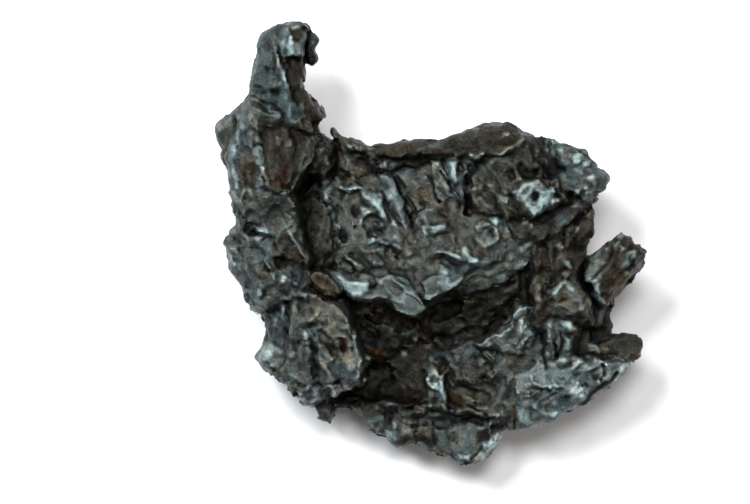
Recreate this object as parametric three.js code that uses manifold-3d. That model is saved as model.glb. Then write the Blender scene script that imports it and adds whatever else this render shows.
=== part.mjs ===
// Iron meteorite: a torn, twisted fragment of one solid piece of nickel-iron, about 119 x 123 x 40 mm.
// It lies on its hollowed back with its broad torn face up: a tall spire and tower down the left side,
// a textured dish in the middle, a deep hollow below it, and bent plates and stubs round the right side.
// Units are millimetres, +Z is up, and the origin is under the middle of the piece, where it rests.

import * as THREE from "three";
import { mergeVertices } from "three/addons/utils/BufferGeometryUtils.js";
import Module from "manifold-3d";

// Spacing of the sampling grid, and how far it reaches past the outline and the highest plate.
const CELL = 1.7;
const MARGIN = 4;
const TOP = 42;

// Number of triangles that the skin is brought down to, and how much short edges are closed up first.
const TRIANGLES = 9700;
const EVENNESS = 0.002;

// A facet may not turn by more than this (as the cosine of the angle) or get smaller than this.
const LEAST_TURN = 0.35;
const LEAST_FACET = 0.05;

// Rounding where the outer wall meets the upper face, and where it turns under to the back.
const UPPER_ROUND = 2.6;
const LOWER_ROUND = 7;

// Height of any ground that no plate covers, on the upper face and on the back.
const UPPER_GROUND = 20;
const BACK_GROUND = 9;

// Each foot is a low swelling of the back that reaches this far below the floor before it is cut flat.
const FOOT_DROP = 0.9;
const FOOT_SLOPE = 7;

// Outline of the piece seen from above, anticlockwise from the tip of the spire.
const OUTLINE = [
  [-38, 61.5], [-41, 60.5], [-43.5, 59.5], [-45.5, 58.5], [-46.5, 56], [-48, 53], [-48.5, 49],
  [-49, 44], [-50.5, 41], [-52, 38], [-53, 37], [-56.5, 36], [-57.5, 34.5], [-59.5, 31.5], [-59, 28.5],
  [-57.5, 25], [-55.5, 20.5], [-55, 15], [-54.5, 10], [-53, 7.5], [-53, 5], [-55, 3], [-56, 0.5],
  [-56.5, -2], [-55.5, -5], [-55, -7.5], [-52.5, -10], [-51, -13], [-50.5, -17], [-49, -18],
  [-46.5, -19], [-45, -22], [-45.5, -25.5], [-47, -29], [-48, -31.5], [-46.5, -34.5], [-44, -36],
  [-41.5, -37.5], [-39, -39], [-37, -42.5], [-35.5, -44], [-32, -45.5], [-30.5, -49], [-28.5, -49.5],
  [-26.5, -48], [-26, -45.5], [-23, -45.5], [-20, -47.5], [-17, -50], [-15.5, -52.5], [-12, -54],
  [-10, -56], [-5.5, -56], [-0.5, -57], [4.5, -59.5], [9, -61.5], [13.5, -61], [16, -59.5],
  [18.5, -56.5], [21.5, -54], [20.5, -52.5], [25, -52], [31, -51], [35, -49], [38, -47], [42.5, -45.5],
  [46, -42.5], [49.5, -40], [52.5, -37.5], [55, -34], [55.5, -32.5], [59, -32], [60, -30], [59.5, -27],
  [57.5, -25], [55, -24.5], [52, -25], [52, -21], [52, -16.5], [54.5, -13], [58, -9.5], [60, -6.5],
  [60, -2.5], [57.5, -1], [55.5, 2], [53, 2.5], [50.5, 1], [47, -0.5], [44.5, -2.5], [43, -4.5],
  [43, -1], [45.5, 2.5], [45.5, 7], [44.5, 11], [48, 15], [50, 17.5], [49, 20], [45, 22.5], [42, 25.5],
  [37.5, 27], [34, 28.5], [30, 29], [26, 30.5], [22.5, 33.5], [18, 33.5], [12.5, 32], [7, 30],
  [3, 28.5], [-7, 28.5], [-12.5, 27.5], [-16.5, 27], [-19, 28], [-23.5, 30], [-26, 32], [-27, 31],
  [-27.5, 29], [-30.5, 30], [-31, 34], [-29.5, 35], [-30.5, 37.5], [-33, 40.5], [-35, 44],
  [-34.5, 47.5], [-35, 50], [-32.5, 49], [-31, 51], [-31, 56], [-32.5, 58], [-33.5, 59.5], [-35.5, 61],
];

// The upper face, as a painter lays it down: each plate has a height over the floor at its middle, a tilt
// (rise per millimetre along X and Y) and a soft edge, and lies over the plates that come before it.
const PLATES = [
  {
    name: "left slope of the hollow", z: 15, tilt: [-0.3, 0.3], edge: 2,
    corners: [
      [-24, -15], [-12.5, -16.5], [-4, -20], [0, -28], [-2, -35.5], [-9.5, -35.5], [-18, -36.5],
      [-20, -28], [-22, -22],
    ],
  },
  {
    name: "trough wall", z: 17, tilt: [0.05, 0.55], edge: 1.2,
    corners: [
      [-1, -19.5], [5.5, -15], [14, -12.5], [21, -9.5], [28, -4], [28, -15.5], [25, -19.5], [18, -24],
      [10.5, -27.5], [4.5, -30], [-0.5, -29],
    ],
  },
  {
    name: "hollow floor", z: 11, tilt: [0.05, 0], edge: 2.5,
    corners: [
      [-6, -29.5], [3, -28], [5.5, -32.5], [4.5, -35.5], [3, -42], [0, -44], [-8, -43], [-19.5, -44],
      [-25.5, -43.5], [-22, -40], [-19, -36], [-9.5, -34.5],
    ],
  },
  {
    name: "shadow pocket", z: 9, tilt: [0, 0], edge: 1.5,
    corners: [
      [-19, -35.5], [-12.5, -35], [-10.5, -39], [-16, -42.5], [-23.5, -44.5], [-25.5, -43],
      [-21.5, -40],
    ],
  },
  {
    name: "brown slope", z: 15, tilt: [0.12, -0.1], edge: 2.5,
    corners: [
      [5, -35.5], [11, -32.5], [19.5, -34], [23, -39.5], [21, -45], [17, -47.5], [8.5, -45.5],
      [4.5, -43],
    ],
  },
  {
    name: "rough slope", z: 17.5, tilt: [0.18, -0.1], edge: 2,
    corners: [
      [4.5, -32], [11, -28], [19, -25.5], [24, -29.5], [21, -35.5], [14, -38], [7.5, -37.5],
    ],
  },
  {
    name: "bottom lobe", z: 15.5, tilt: [-0.02, -0.12], edge: 1.5,
    corners: [
      [-21.5, -45], [-12.5, -45], [-2.5, -46], [5.5, -47.5], [15.5, -48.5], [22, -49], [25, -52],
      [22, -54.5], [16, -60], [9, -63], [0, -59], [-9.5, -57.5], [-18, -52],
    ],
  },
  {
    name: "bottom lobe ledge", z: 15, tilt: [0, 0.25], edge: 1.2,
    corners: [
      [-10.5, -47], [4.5, -47], [15.5, -49], [16, -51], [7, -51], [-2.5, -50], [-9.5, -49.5],
    ],
  },
  {
    name: "bottom plate", z: 17, tilt: [0.05, -0.22], edge: 0.8,
    corners: [
      [7, -51], [13.5, -50], [19, -52], [22, -54], [17.5, -58], [15, -60.5], [9, -61], [6, -58],
    ],
  },
  {
    name: "plate apron", z: 19.3, tilt: [0.2, 0.05], edge: 2.5,
    corners: [
      [19.5, -30], [26, -29.5], [28, -39.5], [27, -52.5], [19.5, -54], [18, -47], [19.5, -38],
    ],
  },
  {
    name: "lower right plate", z: 22.3, tilt: [0.13, 0], edge: 2.6,
    corners: [
      [26, -30], [28.5, -25.5], [33, -23], [37, -22], [40, -24], [40, -30], [47.5, -32], [57, -32.5],
      [53.5, -37.5], [48.5, -40.5], [43, -45.5], [35, -49], [31.5, -52], [24.5, -52.5], [25.5, -47.5],
      [25, -43], [26, -36.5],
    ],
  },
  {
    name: "plate crest", z: 22.5, tilt: [0.1, 0.3], edge: 0.9,
    corners: [
      [13.5, -28], [19.5, -25], [23.5, -21], [25, -17.5], [27.5, -17.5], [27.5, -23], [29, -26],
      [25, -29.5], [22, -30],
    ],
  },
  {
    name: "inner step", z: 20, tilt: [0.05, 0.1], edge: 0.7,
    corners: [
      [29.5, -25.5], [32.5, -24], [32, -30], [28, -34.5], [24, -36.5], [22.5, -34], [25.5, -30],
    ],
  },
  {
    name: "outer bevel", z: 18, tilt: [0.3, 0.5], edge: 0.7,
    corners: [
      [34, -49.5], [38, -47], [44.5, -44.5], [49.5, -39.5], [53.5, -37], [57, -33], [58.5, -35],
      [50, -43.5], [40.5, -50.5], [33, -53],
    ],
  },
  {
    name: "horn", z: 20.5, tilt: [0.05, -0.12], edge: 1.2,
    corners: [
      [38.5, -24.5], [45, -26], [51.5, -24.5], [55.5, -23.5], [60, -25.5], [61, -31], [58.5, -32.5],
      [48, -31.5], [40.5, -30.5],
    ],
  },
  {
    name: "right gully", z: 18, tilt: [0, 0], edge: 1.2,
    corners: [
      [43.5, -5], [45.5, -10.5], [47.5, -15.5], [53, -15.5], [53, -25.5], [46, -26], [44.5, -21],
      [45, -16], [43, -13], [41, -9], [42, -5], [44, -1.5], [46.5, -1],
    ],
  },
  {
    name: "gully rib", z: 19, tilt: [0, 0], edge: 0.8,
    corners: [
      [45.5, -16.5], [48.5, -17], [48.5, -22], [46, -23],
    ],
  },
  {
    name: "right column", z: 27, tilt: [-0.03, 0.03], edge: 1.2,
    corners: [
      [31, 1.5], [34, 3], [40.5, 5], [46, 10], [46, 2], [44, -2], [40.5, -8.5], [42.5, -13], [45, -16],
      [44.5, -22], [39.5, -24], [33, -23.5], [29, -22.5], [29, -17.5], [28, -13], [28.5, -8], [28, -4],
      [29, -0.5],
    ],
  },
  {
    name: "column knob", z: 28, tilt: [0, 0.05], edge: 1.2,
    corners: [
      [34, -13], [36, -11], [39.5, -11], [41, -13.5], [44, -15.5], [44, -19], [40, -20], [36, -17.5],
      [34, -15.5],
    ],
  },
  {
    name: "plate shoulder", z: 24.6, tilt: [0, 0.15], edge: 1.5,
    corners: [
      [32, -22.5], [36, -21], [40.5, -23.5], [40.5, -28], [39, -30.5], [34, -30], [32, -26],
    ],
  },
  {
    name: "column groove", z: 21, tilt: [0, 0.1], edge: 0.7,
    corners: [
      [26.5, 1], [28, 1], [27.5, -5], [27.5, -11.5], [27, -16.5], [26, -17], [26, -11.5], [26.5, -5],
    ],
  },
  {
    name: "bar", z: 28, tilt: [0.12, 0.1], edge: 1,
    corners: [
      [50.5, 2], [53.5, 3.5], [56, 2], [58, -0.5], [60.5, -1.5], [60.5, -5.5], [56, -9], [51, -15.5],
      [48, -17], [46.5, -14.5], [45.5, -11], [43.5, -9.5], [45, -5], [47.5, -1],
    ],
  },
  {
    name: "bar underside", z: 21, tilt: [0.3, 0.3], edge: 0.8,
    corners: [
      [60.5, -5], [60.5, -8], [55.5, -13], [52.5, -17], [50.5, -16], [54, -12], [57.5, -8],
    ],
  },
  {
    name: "bar flank", z: 24, tilt: [0.35, -0.1], edge: 0.8,
    corners: [
      [50.5, 0.5], [47.5, -0.5], [44, -3], [43, -9], [45.5, -10], [47.5, -7.5], [49.5, -3],
    ],
  },
  {
    name: "upper right lobe", z: 29.8, tilt: [0.26, 0], edge: 1.8,
    corners: [
      [13.5, 24], [19.5, 26], [27, 30], [34, 29.5], [37.5, 27.5], [36, 22], [37.5, 12], [40.5, 9],
      [36, 5], [32.5, 3], [28.5, 0.5], [24, 2.5], [21, 5.5], [17.5, 7.5], [14, 8.5], [12, 10.5],
      [10.5, 14], [11, 18],
    ],
  },
  {
    name: "corner plate", z: 30, tilt: [0.1, -0.02], edge: 1,
    corners: [
      [32.5, 29.5], [38, 27.5], [42.5, 26], [45.5, 23], [51, 20.5], [51, 16.5], [46, 12], [42, 10.5],
      [38.5, 14.5], [35, 20], [33, 23],
    ],
  },
  {
    name: "lobe dip", z: 28.5, tilt: [-0.25, 0], edge: 1.6,
    corners: [
      [26, 29], [32, 29.5], [34, 26], [35, 20], [33, 19], [29.5, 20.5], [27.5, 24],
    ],
  },
  {
    name: "lower step", z: 28.5, tilt: [0.05, -0.1], edge: 1.5,
    corners: [
      [23, 7], [28, 7], [33, 9.5], [38, 11], [41, 12], [42.5, 9], [38.5, 5], [33, 3], [29, 0.5],
      [24.5, 1], [22, 3],
    ],
  },
  {
    name: "crater patch", z: 34.2, tilt: [-0.15, 0.12], edge: 0.8,
    corners: [
      [23, 14], [25.5, 16.5], [29.5, 17], [34, 15], [35, 13], [32.5, 10.5], [28.5, 7.5], [26, 9],
      [24.5, 11.5],
    ],
  },
  {
    name: "dish floor", z: 25, tilt: [0.06, -0.08], edge: 0.9,
    corners: [
      [-30, 17.5], [-23.5, 19], [-14, 20.5], [-8, 21.5], [-1, 23], [3.5, 24], [13.5, 24.5], [11, 19],
      [10, 13], [10.5, 8.5], [19.5, 6.5], [23, 1], [21, -5], [16, -8.5], [9.5, -11], [3, -13],
      [-2, -15.5], [-6, -13.5], [-12.5, -10.5], [-22, -10.5], [-27, -7.5], [-30, -2], [-31, 8],
    ],
  },
  {
    name: "upper rim", z: 28, tilt: [0.05, 0], edge: 1.4,
    corners: [
      [-23.5, 30.5], [-19, 29], [-16, 27.5], [-7, 29.5], [3, 29.5], [14, 34], [23, 34.5], [27, 29.5],
      [19.5, 25.5], [14, 24], [3.5, 24.5], [-1, 24], [-8, 22.5], [-14, 24], [-19, 25.5], [-22, 27],
    ],
  },
  {
    name: "rim shoulder", z: 24, tilt: [0.1, 0.2], edge: 0.9,
    corners: [
      [-27.5, 32], [-23.5, 30], [-19, 25.5], [-14, 23], [-11, 21], [-16, 19.5], [-23.5, 18],
      [-26.5, 20.5], [-27.5, 26],
    ],
  },
  {
    name: "rim recess", z: 25, tilt: [0, 0], edge: 0.6,
    corners: [
      [-16, 21.5], [-11, 22.5], [-7, 23], [-2.5, 24], [-1.5, 22.5], [-7, 21], [-10.5, 20], [-15, 19.5],
    ],
  },
  {
    name: "dish lip", z: 26.5, tilt: [0, -0.12], edge: 0.8,
    corners: [
      [-29, -6], [-26, -7], [-21.5, -9], [-16.5, -9.5], [-12, -9.5], [-7.5, -10], [-5, -13.5],
      [-6, -16], [-11, -16], [-16, -15.5], [-20.5, -15], [-24.5, -13], [-27, -10],
    ],
  },
  {
    name: "lip plate", z: 27, tilt: [0.06, -0.05], edge: 0.7,
    corners: [
      [-12, -10.5], [-7, -10], [-5, -12.5], [-4, -15], [-1, -17.5], [-3, -20.5], [-5.5, -20],
      [-9.5, -18], [-12.5, -15.5],
    ],
  },
  {
    name: "lip crest", z: 28, tilt: [-0.05, -0.25], edge: 0.7,
    corners: [
      [-1.5, -14.5], [-1.5, -11], [3, -7], [9, -5], [17, -7.5], [9, -11], [4.5, -13], [0, -15],
    ],
  },
  {
    name: "lobe apron", z: 24, tilt: [0, 0.35], edge: 1,
    corners: [
      [10, -8], [19, -5], [23, 1], [28, 1], [27.5, -5.5], [21, -10], [14, -12.5], [7, -14],
    ],
  },
  {
    name: "valley", z: 22, tilt: [-0.05, -0.05], edge: 1.8,
    corners: [
      [-33.5, 34], [-31, 34], [-30, 30], [-27, 28.5], [-26, 23], [-27.5, 18], [-30, 16.5], [-31, 9],
      [-30, -1], [-27, -7], [-31, -7.5], [-34, -5], [-36, 1], [-38, 7.5], [-39.5, 12], [-36, 17.5],
      [-33, 23], [-32.5, 29],
    ],
  },
  {
    name: "valley knob", z: 27, tilt: [0.1, 0.1], edge: 1.4,
    corners: [
      [-32.5, 28], [-29.5, 29.5], [-27.5, 26.5], [-27, 21], [-29.5, 17.5], [-32.5, 19], [-33, 23],
    ],
  },
  {
    name: "valley bank", z: 25.5, tilt: [0.1, 0], edge: 2.5,
    corners: [
      [-37, 10.5], [-32, 12], [-29, 9], [-28, -2], [-30, -5.5], [-33, -4.5], [-36, 1.5], [-37.5, 7],
    ],
  },
  {
    name: "lower left mass", z: 33, tilt: [0.08, 0.04], edge: 1.6,
    corners: [
      [-36, -13], [-29, -14.5], [-24, -17], [-22, -21], [-20, -25.5], [-19, -30], [-19, -34],
      [-19.5, -37.5], [-22, -40], [-24.5, -39.5], [-25.5, -37.5], [-29, -39], [-31, -42.5],
      [-35.5, -44.5], [-40, -40], [-46.5, -35.5], [-49.5, -31.5], [-46.5, -27], [-46, -20.5],
      [-46.5, -18], [-41.5, -15],
    ],
  },
  {
    name: "mass left flank", z: 27.5, tilt: [0.45, 0], edge: 1.2,
    corners: [
      [-46.5, -18], [-40, -17], [-39, -24], [-40.5, -30], [-42.5, -35.5], [-46.5, -35.5], [-50, -31.5],
      [-46.5, -27], [-46, -22],
    ],
  },
  {
    name: "mass hip", z: 29, tilt: [0.3, 0.1], edge: 1.5,
    corners: [
      [-47.5, -29], [-44, -28], [-41, -30], [-41.5, -34], [-45, -35], [-48, -33],
    ],
  },
  {
    name: "mass foot", z: 29.5, tilt: [0, 0.15], edge: 0.7,
    corners: [
      [-36, -39], [-31, -39], [-29.5, -41], [-31, -44], [-36, -44.5], [-37.5, -42.5],
    ],
  },
  {
    name: "foot tongue", z: 18, tilt: [0.1, 0.1], edge: 0.9,
    corners: [
      [-31.5, -44.5], [-27.5, -45], [-26, -48], [-28, -50], [-31.5, -49.5],
    ],
  },
  {
    name: "mass toe", z: 30, tilt: [0, 0.2], edge: 0.6,
    corners: [
      [-28, -39], [-24.5, -38.5], [-24, -40.5], [-26, -43], [-27.5, -41],
    ],
  },
  {
    name: "mass cheek", z: 34.3, tilt: [0.05, -0.05], edge: 1.4,
    corners: [
      [-31, -25], [-25, -22], [-21.5, -24.5], [-19.5, -29.5], [-20, -35], [-22.5, -38], [-27, -36],
      [-30.5, -32.5],
    ],
  },
  {
    name: "left middle mass", z: 33.5, tilt: [0.15, 0.06], edge: 1.4,
    corners: [
      [-57, 1.5], [-52, 7.5], [-46.5, 9], [-40, 9], [-37, 5.5], [-33, -4], [-34.5, -8], [-32.5, -12],
      [-36, -14], [-41, -15.5], [-46.5, -19], [-51, -18], [-53, -10], [-56.5, -5.5],
    ],
  },
  {
    name: "middle left flank", z: 28, tilt: [0.45, 0], edge: 1,
    corners: [
      [-57.5, 1], [-53, 4.5], [-51, 1], [-52, -5], [-49.5, -10.5], [-48, -17], [-52.5, -17], [-55, -8],
      [-57.5, -4.5],
    ],
  },
  {
    name: "middle facet", z: 34, tilt: [-0.22, -0.06], edge: 0.9,
    corners: [
      [-42.5, 0.5], [-39.5, 4], [-36, 2], [-33, -4.5], [-36.5, -5.5], [-41.5, -4],
    ],
  },
  {
    name: "wedge block", z: 33.5, tilt: [0.05, 0.12], edge: 0.5,
    corners: [
      [-35, -10.5], [-33, -8], [-30.5, -7], [-27.5, -9], [-24.5, -13], [-25.5, -15], [-27.5, -16],
      [-31.5, -14], [-34.5, -13],
    ],
  },
  {
    name: "middle step", z: 32.3, tilt: [-0.15, 0], edge: 1,
    corners: [
      [-41.5, -5], [-36, -5.5], [-34, -7], [-34.5, -10], [-36.5, -13], [-41, -12.5], [-42.5, -9],
    ],
  },
  {
    name: "tower", z: 38, tilt: [0.05, 0.1], edge: 1.2,
    corners: [
      [-53, 37], [-46.5, 42], [-39, 43], [-34.5, 40.5], [-32, 35], [-33, 29], [-33, 24], [-36, 18],
      [-39.5, 13], [-38, 8], [-46, 6.5], [-53, 6], [-55.5, 12], [-56.5, 18], [-59, 25.5], [-60.5, 30],
      [-57.5, 35.5],
    ],
  },
  {
    name: "tower skirt", z: 35, tilt: [0, 0.3], edge: 2.5,
    corners: [
      [-55, 12.5], [-46.5, 14], [-39, 13], [-37.5, 6], [-45.5, 4], [-53, 4],
    ],
  },
  {
    name: "tower left face", z: 35, tilt: [0.55, 0], edge: 1,
    corners: [
      [-54.5, 36.5], [-51, 38], [-50, 31.5], [-50.5, 23], [-51.5, 15], [-51, 8], [-55, 8], [-56, 15],
      [-56.5, 22], [-56.5, 29],
    ],
  },
  {
    name: "shoulder nub", z: 29, tilt: [0.25, -0.1], edge: 0.8,
    corners: [
      [-61, 31.5], [-57.5, 37], [-54, 37], [-54.5, 31.5], [-55.5, 26], [-57.5, 24], [-60, 28],
    ],
  },
  {
    name: "tower facet", z: 35.3, tilt: [-0.4, -0.08], edge: 1.4,
    corners: [
      [-45.5, 32], [-39.5, 32.5], [-34.5, 33], [-33, 29], [-33, 24], [-35.5, 19], [-39.5, 14.5],
      [-44, 17], [-45, 23],
    ],
  },
  {
    name: "facet crest", z: 33.3, tilt: [-0.15, 0], edge: 0.6,
    corners: [
      [-33.5, 29], [-32.5, 24.5], [-35.5, 19], [-38.5, 15], [-39, 15.5], [-36, 20], [-34.5, 25],
    ],
  },
  {
    name: "spire", z: 36, tilt: [0, -0.03], edge: 0.9,
    corners: [
      [-48.5, 43], [-50, 49.5], [-47.5, 57], [-44.5, 60.5], [-37.5, 62.5], [-32.5, 60], [-34.5, 56.5],
      [-35, 50.5], [-34, 44.5], [-32.5, 41], [-28, 35.5], [-31, 33], [-35, 34], [-37, 32], [-39.5, 34],
      [-40.5, 36.5], [-46.5, 37.5], [-50.5, 39.5],
    ],
  },
  {
    name: "spire left face", z: 34, tilt: [0.35, 0], edge: 0.9,
    corners: [
      [-50, 43], [-50, 49.5], [-48, 55.5], [-45.5, 59.5], [-42.5, 59.5], [-41, 52], [-40, 44.5],
      [-39.5, 36.5], [-45, 39], [-48, 40.5],
    ],
  },
  {
    name: "spire right face", z: 34, tilt: [-0.38, -0.16], edge: 0.7,
    corners: [
      [-39, 51], [-34.5, 51], [-33.5, 44.5], [-31.5, 40.5], [-27, 35.5], [-30, 31.5], [-36, 31.5],
      [-38, 38], [-39, 45],
    ],
  },
  {
    name: "spire hook", z: 29, tilt: [0.05, 0.1], edge: 0.5,
    corners: [
      [-34.5, 59], [-31.5, 58], [-30, 56], [-30, 51], [-32, 48], [-34.5, 49.5], [-34, 54],
    ],
  },
];

// The back, laid down in the same way from below. Heights are those of the metal's lower side.
const BACK_PLATES = [
  {
    name: "spire back", z: 15, tilt: [0, 0.14], edge: 4.5,
    corners: [
      [-57, 36.5], [-52.5, 51], [-47.5, 63.5], [-27.5, 63.5], [-27, 47], [-27.5, 34.5], [-39, 34],
      [-50, 35],
    ],
  },
  {
    name: "tower back", z: 8, tilt: [0.05, 0.05], edge: 6.5,
    corners: [
      [-62.5, 35], [-27.5, 35.5], [-27, 23], [-31, 9], [-58, 6], [-62.5, 23],
    ],
  },
  {
    name: "left mass back", z: 3.5, tilt: [-0.03, 0.05], edge: 6.5,
    corners: [
      [-59.5, 8], [-30.5, 10], [-23.5, -13], [-19, -28], [-22, -43.5], [-26, -52], [-36, -49],
      [-50, -38], [-59.5, -15.5],
    ],
  },
  {
    name: "hollow back", z: 3, tilt: [0, 0.05], edge: 6.5,
    corners: [
      [-23.5, -13], [0, -15.5], [25, -13], [28, -28], [19.5, -38], [8.5, -45], [-8, -46], [-22, -43.5],
      [-19, -28],
    ],
  },
  {
    name: "dish back", z: 9.5, tilt: [0, -0.06], edge: 6.5,
    corners: [
      [-30.5, 23], [14, 24.5], [25, 8], [28, -2], [25, -13], [0, -15.5], [-23.5, -12.5], [-30, 8],
    ],
  },
  {
    name: "rim back", z: 14, tilt: [0, 0.35], edge: 4.5,
    corners: [
      [-27.5, 34.5], [-8, 31.5], [14, 35.5], [28, 36.5], [27.5, 28], [14, 23], [-8, 21.5], [-26, 22],
    ],
  },
  {
    name: "lobe back", z: 7, tilt: [0.03, 0.05], edge: 6.5,
    corners: [
      [11, 26], [27.5, 31.5], [36, 31], [42, 17.5], [44.5, 5], [28, 1], [19.5, 6], [11, 12],
    ],
  },
  {
    name: "corner back", z: 17, tilt: [0.25, 0.05], edge: 2.5,
    corners: [
      [35, 31.5], [44.5, 29], [53.5, 17.5], [47.5, 10.5], [42.5, 10.5], [38, 17.5],
    ],
  },
  {
    name: "column back", z: 5, tilt: [0, 0.05], edge: 4.5,
    corners: [
      [25, 2], [40.5, 6], [47.5, 10.5], [48, 1], [44, -9], [48.5, -22.5], [40.5, -25.5], [26.5, -24],
    ],
  },
  {
    name: "bar back", z: 17, tilt: [0.1, 0.1], edge: 2,
    corners: [
      [44, 1], [50.5, 5], [62.5, 2.5], [62.5, -9], [54.5, -18.5], [49, -17.5], [44, -10],
    ],
  },
  {
    name: "gully back", z: 9, tilt: [0.1, 0], edge: 2,
    corners: [
      [43, -8], [49, -15.5], [54.5, -15.5], [54.5, -28], [44.5, -28], [42, -21],
    ],
  },
  {
    name: "horn back", z: 12, tilt: [0.15, 0], edge: 2,
    corners: [
      [44.5, -22], [62.5, -21], [64, -33], [47.5, -33],
    ],
  },
  {
    name: "right plate back", z: 9, tilt: [0.13, -0.06], edge: 6.5,
    corners: [
      [19.5, -28], [36, -24], [47.5, -28], [61, -33], [53, -43.5], [33.5, -54.5], [23, -54.5],
      [19, -40.5],
    ],
  },
  {
    name: "bottom lobe back", z: 6, tilt: [0, -0.16], edge: 4.5,
    corners: [
      [-23.5, -43.5], [-8, -45], [19.5, -43.5], [26.5, -54.5], [17, -64.5], [3, -64.5], [-23.5, -54.5],
    ],
  },
];

// High points of the back that are worn flat and carry the piece.
const FEET = [
  { name: "left foot", at: [-35.5, -28.5], radius: 13 },
  { name: "right foot", at: [33, -34], radius: 12 },
  { name: "upper foot", at: [26, 13], radius: 13 },
  { name: "tower foot", at: [-46, 19], radius: 11 },
];

// Rounded bites out of the outer walls.
const SCOOPS = [
  { name: "under the tower's outer edge", at: [-60.5, 22, 14], across: 8, high: 7 },
  { name: "under the shoulder", at: [-57.5, 35, 13], across: 6, high: 6 },
  { name: "behind the spire", at: [-49.5, 48, 13], across: 7, high: 6 },
  { name: "under the spire tip", at: [-36, 60.5, 11], across: 6, high: 6 },
  { name: "spire inner wall", at: [-31, 45.5, 19], across: 4.5, high: 6 },
  { name: "under the hip", at: [-54, -11.5, 10], across: 8, high: 7 },
  { name: "under the flank", at: [-49, -24, 12], across: 6, high: 6 },
  { name: "under the mass foot", at: [-39, -44.5, 12], across: 7, high: 6 },
  { name: "under the bottom lobe", at: [-8, -60.5, 4], across: 9, high: 5 },
  { name: "bottom right edge", at: [19.5, -59, 6], across: 7, high: 5 },
  { name: "under the right plate", at: [46, -50.5, 10], across: 10, high: 7 },
  { name: "under the horn", at: [62.5, -29.5, 10], across: 6, high: 6 },
  { name: "between bar and horn", at: [54.5, -20.5, 12], across: 5, high: 7 },
  { name: "under the bar", at: [61, -11.5, 16], across: 6, high: 7 },
  { name: "column wall", at: [47, -2, 10], across: 5, high: 6 },
  { name: "under the corner", at: [52.5, 10.5, 13], across: 8, high: 7 },
  { name: "above the corner", at: [47.5, 29, 18], across: 7, high: 7 },
  { name: "under the rim", at: [3, 34.5, 16], across: 10, high: 6 },
  { name: "under the rim end", at: [-16.5, 31.5, 15], across: 7, high: 6 },
  { name: "rim gap wall", at: [-28, 26, 10], across: 4, high: 4 },
];

// Shallow round hollows that melting left all over the back.
const THUMBPRINTS = [
  // x, y, radius, depth
  [-40, 48, 6, 2], [-46.5, 31.5, 7, 2], [-36, 23, 6, 2], [-50, 1, 7, 2.5], [-38, -5, 7, 2.2],
  [-45, -15.5, 6, 2], [-27.5, -21, 7, 2], [-31, -39.5, 6, 1.8], [-21.5, 4, 8, 3], [-9, 12, 8, 3],
  [-12.5, -4, 7, 2.6], [3, -0.5, 8, 3], [5.5, 17.5, 8, 3], [-9.5, -24, 7, 1.6], [3, -20, 6, 1.5],
  [-2.5, -39.5, 7, 1.6], [14, -38, 7, 2], [17, -21, 6, 1.8], [-8, -52, 6, 1.5], [8.5, -53, 7, 1.8],
  [36, -43.5, 7, 2.4], [47.5, -35.5, 7, 2.4], [36, -15.5, 6, 2], [37, -2, 6, 2], [42, 20.5, 7, 2.4],
  [30.5, 24.5, 6, 2], [17, 26, 6, 2], [53, -5, 6, 1.8], [22.5, -3, 6, 2.2], [-25, 17.5, 5, 1.6],
];

// Undercuts: round-ended channels that run in under the overhanging plates.
const CUTS = [
  { name: "under the dish lip", from: [-22.5, -15.5, 14], to: [-7, -22, 14], radius: 3.4 },
  { name: "under the lip crest", from: [2, -19.5, 15], to: [21, -11, 15], radius: 2.6 },
  { name: "under the mass edge", from: [-17.5, -24, 17], to: [-19, -40, 16], radius: 4.2 },
  { name: "under the mass toe", from: [-22, -42.5, 14], to: [-31, -46, 12], radius: 3.4 },
  { name: "tower inner wall", from: [-31.5, 26, 21], to: [-37.5, 13, 20], radius: 3 },
  { name: "spire foot shadow", from: [-40.5, 32.5, 34], to: [-31, 32.5, 32.4], radius: 1.2 },
];

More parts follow.
